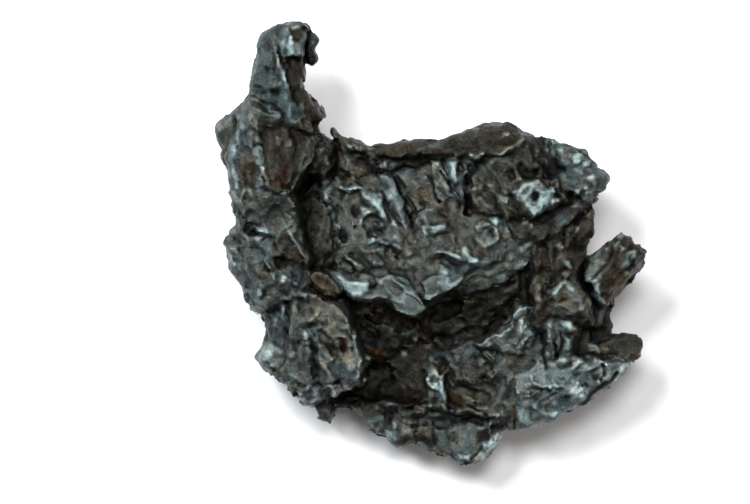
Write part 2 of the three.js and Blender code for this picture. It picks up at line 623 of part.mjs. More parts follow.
// Ridges, lumps and furrows of the upper face: how high each one rises, or sinks, and half its width.
const STROKES = [
  {
    name: "first bar", half: 1.5, rise: 1.8,
    path: [[-12, 19], [-10.5, 15], [-9, 11.5], [-7.5, 7.5], [-6, 2.5]],
  },
  { name: "first bar's twin", half: 1.1, rise: 1.2, path: [[-13, 15], [-11, 10.5], [-9.5, 6], [-8, 1.5]] },
  { name: "second bar", half: 1.4, rise: 1.8, path: [[2, 23], [4, 19.5], [5.5, 15.5], [8, 11]] },
  { name: "third bar", half: 1.4, rise: 1.5, path: [[6, 24], [7, 20], [9, 16], [9.5, 11.5]] },
  { name: "bar head", half: 1.4, rise: 1.4, path: [[9, 23], [12, 24], [14.5, 24.5]] },
  { name: "upper left flake", half: 1.5, rise: 1.5, path: [[-25.5, 15.5], [-22, 15], [-18.5, 15]] },
  {
    name: "left ridge of the dish", half: 1.2, rise: 1.8,
    path: [[-29, 18], [-29.5, 15.5], [-28, 12], [-27.5, 10]],
  },
  { name: "hooked flake", half: 1.7, rise: 1.6, path: [[-18, 12], [-15.5, 12.5], [-14.5, 9.5]] },
  { name: "arch", half: 1.5, rise: 1.2, path: [[-19, 5.5], [-18, 8], [-15.5, 9], [-13, 7.5], [-12, 5]] },
  { name: "arch drop", half: 1.4, rise: 1.4, path: [[-15.5, 5.5], [-15, 4.5]] },
  {
    name: "wavy ridge", half: 1.5, rise: 1.3,
    path: [[-17, -0.5], [-16, 1], [-13, 1], [-10.5, 0], [-8, -2]],
  },
  { name: "wavy drop", half: 1.5, rise: 1.3, path: [[-15.5, -2.5], [-13, -2]] },
  { name: "middle flat", half: 2.2, rise: 1.2, path: [[-7.5, -0.5], [-5.5, -3]] },
  { name: "long lump", half: 1.5, rise: 1.9, path: [[-23, -4], [-21, -5], [-18.5, -7]] },
  { name: "oval lump", half: 2.2, rise: 1.6, path: [[-1, 4], [1.5, 4], [4.5, 4.5]] },
  { name: "ringed lump left", half: 1.8, rise: 1.3, path: [[15.5, 0], [13.5, 2], [14, 4.5], [16, 5.5]] },
  { name: "ringed lump right", half: 1.8, rise: 1.3, path: [[16, 5.5], [19, 4], [19, 1], [16.5, -0.5]] },
  {
    name: "chain of lumps", half: 1.5, rise: 1.7,
    path: [[2, -3], [5, -2.5], [7.5, -4], [10.5, -5], [13.5, -5.5], [16.5, -6.5]],
  },
  { name: "chain spur", half: 1.1, rise: 1.6, path: [[9.5, -2], [10.5, -4]] },
  { name: "second chain", half: 1.5, rise: 1, path: [[9.5, -9], [12.5, -8.5], [15.5, -8]] },
  {
    name: "lip crest left", half: 2.4, rise: 1.3,
    path: [[-27, -8], [-24.5, -10.5], [-21.5, -12.5], [-17.5, -12]],
  },
  {
    name: "lip crest right", half: 1, rise: 1.6,
    path: [[-1.5, -15.5], [2, -14], [5.5, -12.5], [9.5, -10.5]],
  },
  { name: "teeth of the rim", half: 1.5, rise: 2, path: [[-22.5, 27], [-21, 26]] },
  { name: "tooth", half: 1.8, rise: 2.2, path: [[-18, 26], [-16, 25]] },
  { name: "fan", half: 1.4, rise: 1.4, path: [[-14.5, 22], [-12.5, 21], [-10, 22]] },
  { name: "rim crest", half: 1.1, rise: 2, path: [[17.5, 23], [20.5, 25.5], [24, 27.5], [26, 29]] },
  { name: "patch on the lobe", half: 1.9, rise: 1.2, path: [[19.5, 13], [21.5, 13.5]] },
  { name: "crater rim left", half: 1.9, rise: 0.9, path: [[25, 14.5], [26, 11.5], [28, 9]] },
  { name: "crater rim top", half: 1.7, rise: 0.8, path: [[26, 15.5], [29, 16.5], [31.5, 15]] },
  { name: "crater rim right", half: 1.9, rise: 0.8, path: [[32.5, 14], [31, 11], [29, 9]] },
  { name: "small crest of the corner", half: 1, rise: 1.4, path: [[36.5, 17], [37.5, 14.5], [38, 12]] },
  { name: "corner lump", half: 1.7, rise: 1.5, path: [[43, 15], [44, 16]] },
  { name: "corner lump above", half: 1.7, rise: 1.5, path: [[35.5, 25.5], [38, 24], [41, 24.5]] },
  { name: "column lumps", half: 1.4, rise: 0.9, path: [[37.5, -5], [39, -6.5], [37.5, -9]] },
  { name: "column ridge", half: 1.1, rise: 1.3, path: [[34, -1], [36, 0]] },
  { name: "knob arch", half: 1.7, rise: 1, path: [[34, -14.5], [35.5, -12], [38, -11], [39.5, -13]] },
  { name: "knob side", half: 1.7, rise: 0.9, path: [[41, -15.5], [42.5, -18]] },
  { name: "orange rib", half: 1.5, rise: 0.9, path: [[30, -10.5], [30, -14.5], [30.5, -18.5]] },
  { name: "bar lower edge", half: 1.4, rise: 1, path: [[44.5, -10], [46, -12], [47, -14.5], [48.5, -16]] },
  { name: "bar top", half: 1.9, rise: 1.5, path: [[53, -5.5], [55, -5], [56, -3]] },
  { name: "bar upper edge", half: 1.2, rise: 1.5, path: [[49.5, -2], [51.5, -0.5], [53.5, 0]] },
  { name: "gully rib crest", half: 1.2, rise: 1.2, path: [[47.5, -17], [47.5, -21]] },
  { name: "shoulder crest", half: 1.4, rise: 1.2, path: [[33, -23], [36.5, -22], [39.5, -24]] },
  { name: "first fold", half: 1.2, rise: 1.1, path: [[33.5, -24.5], [33, -28.5], [32.5, -32.5]] },
  { name: "second fold", half: 1.2, rise: 1.1, path: [[35.5, -25], [35.5, -28.5], [35, -31]] },
  { name: "third fold", half: 1.4, rise: 1.3, path: [[38, -26.5], [38, -29.5], [36, -32.5]] },
  { name: "bright flake", half: 1.1, rise: 1.8, path: [[26, -22], [25.5, -25], [23.5, -28.5]] },
  { name: "bright flake below", half: 1.7, rise: 1.6, path: [[27.5, -26], [25.5, -28.5]] },
  {
    name: "plate edge crest", half: 1.1, rise: 1.5,
    path: [[12.5, -27.5], [15.5, -27], [19.5, -25], [23, -22.5]],
  },
  {
    name: "wave of the plate", half: 1.4, rise: 1.5,
    path: [[28, -37], [29, -39], [32, -40], [35.5, -39.5]],
  },
  { name: "wave end", half: 1.7, rise: 1.7, path: [[41, -39], [40, -41], [42.5, -42.5]] },
  {
    name: "upper wave", half: 1.5, rise: 1.6,
    path: [[39.5, -34.5], [42, -33], [44.5, -34.5], [47, -33.5]],
  },
  { name: "rim fold", half: 1.2, rise: 1.5, path: [[47, -38], [48, -35], [49, -32.5]] },
  { name: "outer rim", half: 1, rise: 1.5, path: [[49.5, -40], [52, -37], [55, -34]] },
  { name: "bottom wave", half: 1.4, rise: 1.2, path: [[25, -42.5], [28, -45.5], [31.5, -47]] },
  { name: "blade", half: 2.6, rise: 4, path: [[1, -36.5], [2, -39], [2.5, -41.5], [2.5, -44.5]] },
  { name: "blade foot", half: 2.2, rise: 2, path: [[1, -43], [2.5, -46]] },
  {
    name: "ledge crest", half: 1, rise: 1.4,
    path: [[5.5, -47], [9, -47], [12.5, -46.5], [16.5, -48], [20, -47.5]],
  },
  {
    name: "bottom plate edge", half: 1.2, rise: 1.5,
    path: [[20.5, -54], [18, -56.5], [15.5, -59.5], [13, -60]],
  },
  { name: "lobe rib", half: 1.4, rise: 1.3, path: [[-11.5, -49], [-10.5, -52], [-10, -55]] },
  { name: "lobe lump", half: 1.4, rise: 1.2, path: [[-3, -47.5], [-2, -47]] },
  { name: "lobe ridge", half: 1.4, rise: 1.2, path: [[7, -52], [9.5, -54], [10, -57.5]] },
  {
    name: "mass crest", half: 1, rise: 1.4,
    path: [[-24, -16.5], [-22.5, -21], [-21, -25.5], [-19.5, -29], [-19, -34], [-20, -37.5]],
  },
  { name: "mass ledge", half: 1.4, rise: 0.9, path: [[-35, -22], [-33, -21], [-31.5, -20]] },
  { name: "pit rim", half: 1.1, rise: 1.2, path: [[-30, -28], [-31, -31], [-28.5, -32.5], [-26.5, -32]] },
  { name: "mass rib", half: 1.4, rise: 1.5, path: [[-30, -33], [-28.5, -35], [-27, -37.5]] },
  {
    name: "toe ring", half: 1.2, rise: 1.5,
    path: [[-27.5, -39.5], [-25.5, -39], [-24.5, -40.5], [-26, -42.5]],
  },
  { name: "mass streak", half: 1.2, rise: 0.8, path: [[-34.5, -23.5], [-34, -27], [-34.5, -30]] },
  { name: "mass streak left", half: 1.1, rise: 0.7, path: [[-40.5, -16.5], [-40.5, -20.5]] },
  { name: "mass streak middle", half: 1.1, rise: 0.7, path: [[-37.5, -16.5], [-37.5, -20]] },
  { name: "hip lump", half: 2.2, rise: 0.6, path: [[-46, -30], [-43.5, -30.5]] },
  { name: "foot knob lump", half: 1.7, rise: 1.5, path: [[-35, -41], [-33, -40], [-31, -42.5]] },
  { name: "cross bar", half: 1.7, rise: 1.1, path: [[-47.5, 5], [-46, 3], [-43, 2.5], [-39.5, 4]] },
  { name: "facet crest low", half: 1, rise: 1.5, path: [[-38, 2.5], [-36.5, 0], [-35, -2.5], [-34, -4.5]] },
  { name: "wedge crest", half: 1.1, rise: 1.3, path: [[-28, -9], [-26, -12], [-24.5, -14]] },
  { name: "side lump", half: 1.4, rise: 1.4, path: [[-51.5, 1.5], [-52, -1]] },
  { name: "side edge", half: 1.1, rise: 1.3, path: [[-55, -2], [-54.5, -5]] },
  { name: "middle rib", half: 1.1, rise: 1.3, path: [[-43.5, -7.5], [-43, -11]] },
  { name: "tower rim", half: 1.4, rise: 0.8, path: [[-54.5, 23], [-54.5, 19], [-53.5, 15], [-53, 11]] },
  {
    name: "tower rib", half: 1.7, rise: 0.5,
    path: [[-48, 26.5], [-47.5, 23], [-46, 20], [-45.5, 16.5], [-46.5, 13]],
  },
  { name: "tower teeth", half: 1.2, rise: 1.3, path: [[-49, 29.5], [-47, 28]] },
  { name: "tower brow", half: 1.1, rise: 1.5, path: [[-50, 36.5], [-49, 34], [-45.5, 31]] },
  {
    name: "facet rim", half: 0.8, rise: 0.5,
    path: [[-34, 29.5], [-33.5, 26], [-34.5, 22.5], [-36, 19.5], [-38.5, 15.5]],
  },
  { name: "nub lump", half: 1.7, rise: 1.3, path: [[-57.5, 32], [-55.5, 34]] },
  { name: "spire brow", half: 1.1, rise: 0.8, path: [[-40, 56], [-38.5, 54], [-38, 51]] },
  { name: "spire cheek", half: 1.5, rise: 1.2, path: [[-36.5, 55], [-36, 52.5]] },
  { name: "valley knob crest", half: 1.4, rise: 1.5, path: [[-31, 26.5], [-31.5, 22]] },
  { name: "valley knob side", half: 1.2, rise: 1.3, path: [[-29, 25.5], [-28, 22]] },
  { name: "between the bars", half: 1.1, rise: -1.2, path: [[-15, 15.5], [-12.5, 10.5], [-10.5, 6]] },
  {
    name: "right of the first bar", half: 1.2, rise: -1.2,
    path: [[-9.5, 18], [-7, 14], [-5.5, 9.5], [-4.5, 5.5]],
  },
  { name: "left of the second bar", half: 1.1, rise: -1.2, path: [[0.5, 19], [2.5, 15], [5, 11]] },
  { name: "arch hollow", half: 1.1, rise: -1.2, path: [[-17, 6], [-16.5, 3], [-12.5, 3]] },
  { name: "under the wavy ridge", half: 1.1, rise: -1.2, path: [[-14.5, -0.5], [-11, -2.5], [-9, -5]] },
  {
    name: "beside the long lump", half: 1.2, rise: -1.3,
    path: [[-21.5, -2.5], [-19, -4.5], [-16.5, -7.5]],
  },
  {
    name: "dish foot", half: 1.4, rise: -1.5,
    path: [[-25.5, -6], [-21.5, -9], [-16, -8], [-10.5, -8], [-5, -8.5]],
  },
  {
    name: "left of the dish", half: 1.4, rise: -0.7,
    path: [[-25.5, 10.5], [-24.5, 6], [-25.5, -0.5], [-25.5, -5]],
  },
  { name: "ringed pit", half: 1, rise: -1.4, path: [[17, 3], [17, 2]] },
  { name: "under the chain", half: 1.2, rise: -1.5, path: [[0.5, -5], [4.5, -5.5], [8, -7]] },
  { name: "lobe dark line", half: 0.8, rise: -0.5, path: [[11, 21.5], [10.5, 17], [10.5, 11]] },
  { name: "crater pit", half: 1.1, rise: -0.7, path: [[29, 14.5], [29.5, 12]] },
  { name: "lobe hole", half: 1.7, rise: -2.4, path: [[26.5, 19.5], [28, 19.5]] },
  { name: "lobe seam", half: 0.8, rise: -0.7, path: [[26, 28], [25, 24.5], [25, 21]] },
  { name: "corner hollow", half: 1.7, rise: -1.6, path: [[34.5, 16], [36, 12.5], [34, 10]] },
  { name: "step seam", half: 0.6, rise: -0.7, path: [[32, 2], [36, 3.5], [39.5, 6]] },
  { name: "column hollow", half: 1.4, rise: -0.6, path: [[32, -15], [32.5, -17.5]] },
  { name: "fold groove", half: 1.1, rise: -0.8, path: [[31, -24.5], [32, -28], [31, -33], [27.5, -34.5]] },
  { name: "fold groove right", half: 1.1, rise: -0.6, path: [[40, -26], [40, -29.5], [38.5, -33]] },
  { name: "rim groove", half: 1, rise: -0.8, path: [[49, -40], [51, -37], [53.5, -33.5]] },
  { name: "plate step", half: 1.4, rise: -0.4, path: [[32.5, -45], [36, -46], [41, -45.5], [45, -42.5]] },
  { name: "blade shadow", half: 1.2, rise: -1.6, path: [[5, -37], [5.5, -41], [6, -45]] },
  { name: "rust pit", half: 1.9, rise: -1.2, path: [[-24.5, -28], [-24, -29.5]] },
  { name: "small rust pit", half: 1.2, rise: -1, path: [[-27.5, -28.5], [-26.5, -30]] },
  { name: "mass seam", half: 1, rise: -0.8, path: [[-35, -23], [-32.5, -23], [-31, -22]] },
  { name: "mass cleft", half: 1.2, rise: -1.4, path: [[-31, -34], [-30.5, -38.5], [-29, -42.5]] },
  { name: "wedge seam", half: 1, rise: -2, path: [[-33.5, -12.5], [-30.5, -14], [-27.5, -15.5]] },
  { name: "middle pit", half: 1.5, rise: -3.5, path: [[-49.5, 4], [-49, 2]] },
  { name: "middle seam", half: 0.6, rise: -1.2, path: [[-48, 2], [-45.5, 1.5], [-43, 2]] },
  { name: "dark hollow of the middle", half: 1.4, rise: -0.8, path: [[-42.5, -5], [-41, -7]] },
  { name: "spire pit", half: 1.1, rise: -0.6, path: [[-43.5, 42], [-42.5, 41]] },
  { name: "spire hook groove", half: 0.7, rise: -1.3, path: [[-35, 57.5], [-34.5, 54.5], [-34.5, 50.5]] },
  {
    name: "spire seam", half: 0.7, rise: -0.7,
    path: [[-41.5, 52.5], [-40.5, 50.5], [-39, 47], [-39, 42.5]],
  },
  { name: "tower cleft", half: 0.8, rise: -0.5, path: [[-45.5, 30.5], [-45, 26.5], [-45, 22], [-44, 17]] },
];

const clamp = (value, low, high) => Math.min(Math.max(value, low), high);

function smoothStep(share) {
  const t = clamp(share, 0, 1);
  return t * t * (3 - 2 * t);
}

// Distance from a point to the straight piece between two corners.
function pieceDistance([ax, ay], [bx, by], x, y) {
  const along = ((x - ax) * (bx - ax) + (y - ay) * (by - ay)) / ((bx - ax) ** 2 + (by - ay) ** 2);
  const t = clamp(along, 0, 1);
  return Math.hypot(x - ax - t * (bx - ax), y - ay - t * (by - ay));
}

// Distance from a point to the edge of a closed outline, positive inside it.
function insideDistance(corners, x, y) {
  let nearest = Infinity;
  let inside = false;
  for (let i = 0, j = corners.length - 1; i < corners.length; j = i, i += 1) {
    const [ax, ay] = corners[j];
    const [bx, by] = corners[i];
    nearest = Math.min(nearest, pieceDistance(corners[j], corners[i], x, y));
    if (ay > y !== by > y && x < ((bx - ax) * (y - ay)) / (by - ay) + ax) inside = !inside;
  }
  return inside ? nearest : -nearest;
}

// Distance from a point to an open path.
function pathDistance(path, x, y) {
  let nearest = Infinity;
  for (let i = 1; i < path.length; i += 1) {
    nearest = Math.min(nearest, pieceDistance(path[i - 1], path[i], x, y));
  }
  return nearest;
}

// Adds to each shape the middle of its points and the box that it stays in, widened by its soft edge.
function measured(shapes, points, edge) {
  return shapes.map((shape) => {
    const along = [0, 1].map((axis) => points(shape).map((point) => point[axis]));
    return {
      ...shape,
      middle: along.map((values) => values.reduce((sum, v) => sum + v, 0) / values.length),
      low: along.map((values) => Math.min(...values) - edge(shape)),
      high: along.map((values) => Math.max(...values) + edge(shape)),
    };
  });
}

const isOff = ({ low, high }, x, y) => x < low[0] || x > high[0] || y < low[1] || y > high[1];

// Height over the floor where each plate lies on the ones before it, with a soft step at its edge.
function layeredHeight(plates, ground, x, y) {
  let height = ground;
  for (const plate of plates) {
    if (isOff(plate, x, y)) continue;
    const { corners, middle, z, tilt, edge } = plate;
    const share = smoothStep((insideDistance(corners, x, y) + 1.5 * edge) / (2 * edge));
    const level = z + tilt[0] * (x - middle[0]) + tilt[1] * (y - middle[1]);
    height += share * (level - height);
  }
  return height;
}

// Height of the upper face over the floor: its plates, and the ridges and furrows on them.
function upperHeight(x, y) {
  let height = layeredHeight(plates, UPPER_GROUND, x, y);
  for (const stroke of strokes) {
    if (isOff(stroke, x, y)) continue;
    height += stroke.rise * smoothStep(1.25 * (1 - pathDistance(stroke.path, x, y) / stroke.half));
  }
  return height;
}

// Slow irregular sway that takes the straightness out of edges and walls.
function sway(x, y, z) {
  const broadX = Math.sin(0.61 * y + 1.7 * Math.sin(0.23 * x) + 0.33 * z);
  const broadY = Math.sin(0.57 * x + 1.9 * Math.sin(0.29 * y) + 0.41 * z);
  const fineX = Math.sin(1.13 * y - 0.5 * x + 0.7 * z);
  const fineY = Math.sin(1.21 * x + 0.4 * y - 0.6 * z);
  return [0.3 * broadX + 0.2 * fineX, 0.3 * broadY + 0.2 * fineY];
}

// Height of the back over the floor: its plates, dented by thumbprints and swollen at the feet.
function backHeight(x, y) {
  let height = layeredHeight(backPlates, BACK_GROUND, x, y);
  for (const [px, py, radius, depth] of THUMBPRINTS) {
    const off = ((x - px) ** 2 + (y - py) ** 2) / radius ** 2;
    if (off < 1) height += depth * (1 - off);
  }
  for (const { at, radius } of FEET) {
    const off = ((x - at[0]) ** 2 + (y - at[1]) ** 2) / radius ** 2;
    height = Math.min(height, FOOT_SLOPE * off - FOOT_DROP);
  }
  return height;
}

// Intersection of two depths with a rounded meeting edge.
function roundedMeet(a, b, radius) {
  const short = Math.hypot(Math.max(radius - a, 0), Math.max(radius - b, 0));
  return radius - short + Math.max(Math.min(a, b) - radius, 0);
}

function capsuleDistance(from, to, x, y, z) {
  const run = to.map((v, k) => v - from[k]);
  const reach = [x - from[0], y - from[1], z - from[2]];
  const along = clamp(
    run.reduce((sum, v, k) => sum + v * reach[k], 0) / run.reduce((sum, v) => sum + v * v, 0),
    0,
    1,
  );
  return Math.hypot(...reach.map((v, k) => v - along * run[k]));
}

// Depth of a point inside the metal in millimetres, negative outside it.
function depthAt(x, y, z) {
  const [dx, dy] = sway(x, y, z);
  const [sx, sy] = [x + dx, y + dy];
  const wall = insideDistance(OUTLINE, sx, sy);
  if (wall < -2 * CELL) return wall;
  let depth = Math.min(
    roundedMeet(upperHeight(sx, sy) - z, wall, UPPER_ROUND),
    roundedMeet(z - backHeight(sx, sy), wall, LOWER_ROUND),
  );
  for (const { at, across, high } of SCOOPS) {
    const off = Math.hypot((x - at[0]) / across, (y - at[1]) / across, (z - at[2]) / high);
    depth = Math.min(depth, (off - 1) * Math.min(across, high));
  }
  for (const { from, to, radius } of CUTS) {
    depth = Math.min(depth, capsuleDistance(from, to, x, y, z) - radius);
  }
  return depth;
}

// Fills grid points in until no two parts of the metal touch along a bare edge or at a bare corner.
function settled(values, steps, cell) {
  const [a, b, c] = steps;
  const squares = [[0, a, a + b, b], [0, b, b + c, c], [0, c, c + a, a]];
  const diagonals = [[0, a + b + c], [a, b + c], [b, a + c], [c, a + b]];
  const cube = diagonals.flat();
  const isMetal = (n) => values[n] > 0;
  const fill = (points) => {
    const empty = points.filter((n) => !isMetal(n)).sort((n, m) => values[m] - values[n]);
    values[empty[0]] = 0.1 * cell;
  };
  let filled = true;
  while (filled) {
    filled = false;
    for (let n = 0; n < values.length - a - b - c; n += 1) {
      for (const square of squares) {
        const ring = square.map((step) => n + step);
        const [p, q, r, s] = ring.map(isMetal);
        if (p !== r || q !== s || p === q) continue;
        fill(ring);
        filled = true;
      }
      const block = cube.map((step) => n + step);
      const metal = block.filter(isMetal).length;
      if (metal !== 2 && metal !== 6) continue;
      const isBare = ([p, q]) => isMetal(n + p) === (metal === 2) && isMetal(n + q) === (metal === 2);
      if (!diagonals.some(isBare)) continue;
      fill(block);
      filled = true;
    }
  }
}

// Closed skin of the solid where depth is positive: one vertex in each grid cell that the surface crosses,
// pulled onto the surface, and one quad across each grid edge that the surface crosses.
function skin(depth, low, counts, cell) {
  const [nx, ny, nz] = counts;
  const index = (i, j, k) => i + nx * (j + ny * k);
  const place = (i, j, k) => [low[0] + i * cell, low[1] + j * cell, low[2] + k * cell];
  const values = new Float32Array(nx * ny * nz);
  for (let k = 0; k < nz; k += 1)
    for (let j = 0; j < ny; j += 1)
      for (let i = 0; i < nx; i += 1) values[index(i, j, k)] = depth(...place(i, j, k));
  const steps = [1, nx, nx * ny];
  settled(values, steps, cell);

  const corners = [0, 1, 2, 3, 4, 5, 6, 7].map((c) => [c & 1, (c >> 1) & 1, (c >> 2) & 1]);
  const edges = corners.flatMap((a, n) =>
    corners.slice(n + 1).flatMap((b) => (a.filter((v, k) => v !== b[k]).length === 1 ? [[a, b]] : [])),
  );
  const vertexOf = new Map();
  const points = [];
  for (let k = 0; k < nz - 1; k += 1)
    for (let j = 0; j < ny - 1; j += 1)
      for (let i = 0; i < nx - 1; i += 1) {
        const sum = [0, 0, 0];
        let crossings = 0;
        for (const [a, b] of edges) {
          const va = values[index(i + a[0], j + a[1], k + a[2])];
          const vb = values[index(i + b[0], j + b[1], k + b[2])];
          if (va > 0 === vb > 0) continue;
          const share = va / (va - vb);
          for (let axis = 0; axis < 3; axis += 1) sum[axis] += a[axis] + share * (b[axis] - a[axis]);
          crossings += 1;
        }
        if (!crossings) continue;
        vertexOf.set(index(i, j, k), points.length);
        const start = place(i, j, k);
        points.push(pulled(depth, start.map((v, axis) => v + (cell * sum[axis]) / crossings), cell));
      }

  const triangles = [];
  for (let k = 1; k < nz - 1; k += 1)
    for (let j = 1; j < ny - 1; j += 1)
      for (let i = 1; i < nx - 1; i += 1) {
        const here = index(i, j, k);
        for (let axis = 0; axis < 3; axis += 1) {
          const inside = values[here] > 0;
          if (inside === values[here + steps[axis]] > 0) continue;
          const u = steps[(axis + 1) % 3];
          const v = steps[(axis + 2) % 3];
          const ring = [here, here - u, here - u - v, here - v].map((n) => vertexOf.get(n));
          if (!inside) ring.reverse();
          triangles.push([ring[0], ring[1], ring[2]], [ring[0], ring[2], ring[3]]);
        }
      }
  return { points, triangles };
}

// Moves a vertex onto the surface along the steepest way, at most part of a cell.
function pulled(depth, point, cell) {
  const step = 0.25;
  const most = 0.35 * cell;
  let [x, y, z] = point;
  for (let pass = 0; pass < 2; pass += 1) {
    const here = depth(x, y, z);
    const slope = [
      (depth(x + step, y, z) - here) / step,
      (depth(x, y + step, z) - here) / step,
      (depth(x, y, z + step) - here) / step,
    ];
    const steepness = Math.max(slope[0] ** 2 + slope[1] ** 2 + slope[2] ** 2, 0.05);
    x -= (here * slope[0]) / steepness;
    y -= (here * slope[1]) / steepness;
    z -= (here * slope[2]) / steepness;
  }
  return [x, y, z].map((v, axis) => clamp(v, point[axis] - most, point[axis] + most));
}

// Coarser skin with fewer triangles: in each round the edges whose loss bends the surface least are closed
// up, so flat ground gets large facets and the ridges, pits and torn edges keep small ones.
function coarsened({ points, triangles }, wanted) {
  const place = points.map((point) => new THREE.Vector3(...point));
  const facesOf = place.map(() => new Set());
  const faces = triangles.map((face, n) => {
    for (const corner of face) facesOf[corner].add(n);
    return [...face];
  });
  const plane = new THREE.Plane();
  const bend = place.map(() => new Float64Array(10));
  for (const [a, b, c] of faces) {
    const { normal, constant } = plane.setFromCoplanarPoints(place[a], place[b], place[c]);
    const p = [normal.x, normal.y, normal.z, constant];
    const area = new THREE.Triangle(place[a], place[b], place[c]).getArea();
    let n = 0;
    for (let row = 0; row < 4; row += 1)
      for (let column = row; column < 4; column += 1, n += 1)
        for (const corner of [a, b, c]) bend[corner][n] += area * p[row] * p[column];
  }
  const bendAt = (q, { x, y, z }) =>
    q[0] * x * x + q[4] * y * y + q[7] * z * z + q[9] +
    2 * (q[1] * x * y + q[2] * x * z + q[5] * y * z + q[3] * x + q[6] * y + q[8] * z);

  // Where an edge closes up to: the place that keeps nearest to the planes of the faces round both ends.
  const closing = (a, b) => {
    const q = bend[a].map((v, n) => v + bend[b][n]);
    const middle = place[a].clone().add(place[b]).multiplyScalar(0.5);
    const choices = [place[a], place[b], middle];
    const matrix = new THREE.Matrix3().set(q[0], q[1], q[2], q[1], q[4], q[5], q[2], q[5], q[7]);
    if (Math.abs(matrix.determinant()) > 1e-3) {
      const best = new THREE.Vector3(-q[3], -q[6], -q[8]).applyMatrix3(matrix.invert());
      if (best.distanceTo(middle) < place[a].distanceTo(place[b])) choices.push(best);
    }
    const costs = choices.map((choice) => bendAt(q, choice));
    const least = Math.min(...costs);
    const length = place[a].distanceToSquared(place[b]);
    return { a, b, q, at: choices[costs.indexOf(least)], cost: least + EVENNESS * length };
  };
  const neighbours = (a) => {
    const corners = [...facesOf[a]].flatMap((n) => faces[n]);
    return new Set(corners.filter((corner) => corner !== a));
  };

  // Whether moving one end would turn a face over, or squeeze it to a sliver.
  const turns = (a, b, at) =>
    [...facesOf[a]].some((n) => {
      if (faces[n].includes(b)) return false;
      const before = new THREE.Triangle(...faces[n].map((corner) => place[corner]));
      const after = new THREE.Triangle(...faces[n].map((corner) => (corner === a ? at : place[corner])));
      const turn = before.getNormal(new THREE.Vector3()).dot(after.getNormal(new THREE.Vector3()));
      return turn < LEAST_TURN || after.getArea() < LEAST_FACET;
    });

  let left = faces.length;
  while (left > wanted) {
    const edges = faces
      .filter(Boolean)
      .flatMap(([a, b, c]) => [[a, b], [b, c], [c, a]])
      .filter(([a, b]) => a < b);
    const round = edges.map(([a, b]) => closing(a, b)).sort((one, other) => one.cost - other.cost);
    const touched = new Set();
    const before = left;
    for (const { a, b, q, at } of round.slice(0, Math.ceil(round.length / 8))) {
      if (left <= wanted) break;
      const near = neighbours(a);
      const far = neighbours(b);
      if ([a, b, ...near, ...far].some((corner) => touched.has(corner))) continue;
      if ([...near].filter((corner) => far.has(corner)).length !== 2) continue;
      if (turns(a, b, at) || turns(b, a, at)) continue;
      for (const n of [...facesOf[b]]) {
        if (faces[n].includes(a)) {
          for (const corner of faces[n]) facesOf[corner].delete(n);
          faces[n] = null;
          left -= 1;
        } else {
          faces[n] = faces[n].map((corner) => (corner === b ? a : corner));
          facesOf[a].add(n);
        }
      }
      facesOf[b].clear();
      place[a].copy(at);
      bend[a] = q;
      touched.add(a);
    }
    if (left === before) break;
  }
  const kept = [...new Set(faces.filter(Boolean).flat())];
  const renamed = new Map(kept.map((corner, n) => [corner, n]));
  return {
    positions: kept.flatMap((corner) => place[corner].toArray()),
    corners: faces.filter(Boolean).flatMap((face) => face.map((corner) => renamed.get(corner))),
  };
}

const plates = measured(PLATES, ({ corners }) => corners, ({ edge }) => 1.5 * edge);
const backPlates = measured(BACK_PLATES, ({ corners }) => corners, ({ edge }) => 1.5 * edge);
const strokes = measured(STROKES, ({ path }) => path, ({ half }) => half);

const reach = [0, 1].map((axis) => Math.max(...OUTLINE.map((p) => Math.abs(p[axis]))) + MARGIN);
const low = [-reach[0], -reach[1], -MARGIN];
const counts = [2 * reach[0], 2 * reach[1], TOP + MARGIN].map((length) => Math.ceil(length / CELL) + 2);
const raw = coarsened(skin(depthAt, low, counts, CELL), TRIANGLES);

// The feet are worn flat on the floor: everything below it is cut away.
const wasm = await Module();
wasm.setup();
function solidFrom(vertProperties, triVerts) {
  return new wasm.Manifold(new wasm.Mesh({ numProp: 3, vertProperties, triVerts }));
}
const [uncut] = solidFrom(new Float32Array(raw.positions), new Uint32Array(raw.corners))
  .decompose()
  .sort((a, b) => b.volume() - a.volume());
const below = new THREE.BoxGeometry(400, 400, 50).translate(0, 0, -25);
below.deleteAttribute("normal");
below.deleteAttribute("uv");
const floorBlock = mergeVertices(below);
const cut = uncut
  .subtract(solidFrom(floorBlock.attributes.position.array, new Uint32Array(floorBlock.index.array)))
  .getMesh();

const geometry = new THREE.BufferGeometry();
geometry.setAttribute("position", new THREE.BufferAttribute(new Float32Array(cut.vertProperties), 3));
geometry.setIndex(new THREE.BufferAttribute(new Uint32Array(cut.triVerts), 1));
geometry.computeVertexNormals();

// Dark nickel-iron under a brown-black weathered skin.
const iron = new THREE.MeshStandardMaterial({
  color: 0x3b3d3e,
  metalness: 0.85,
  roughness: 0.45,
  flatShading: true,
});
const meteorite = new THREE.Mesh(geometry, iron);
meteorite.name = "meteorite";

const group = new THREE.Group();
group.add(meteorite);
export default group;
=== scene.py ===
import math
from itertools import product

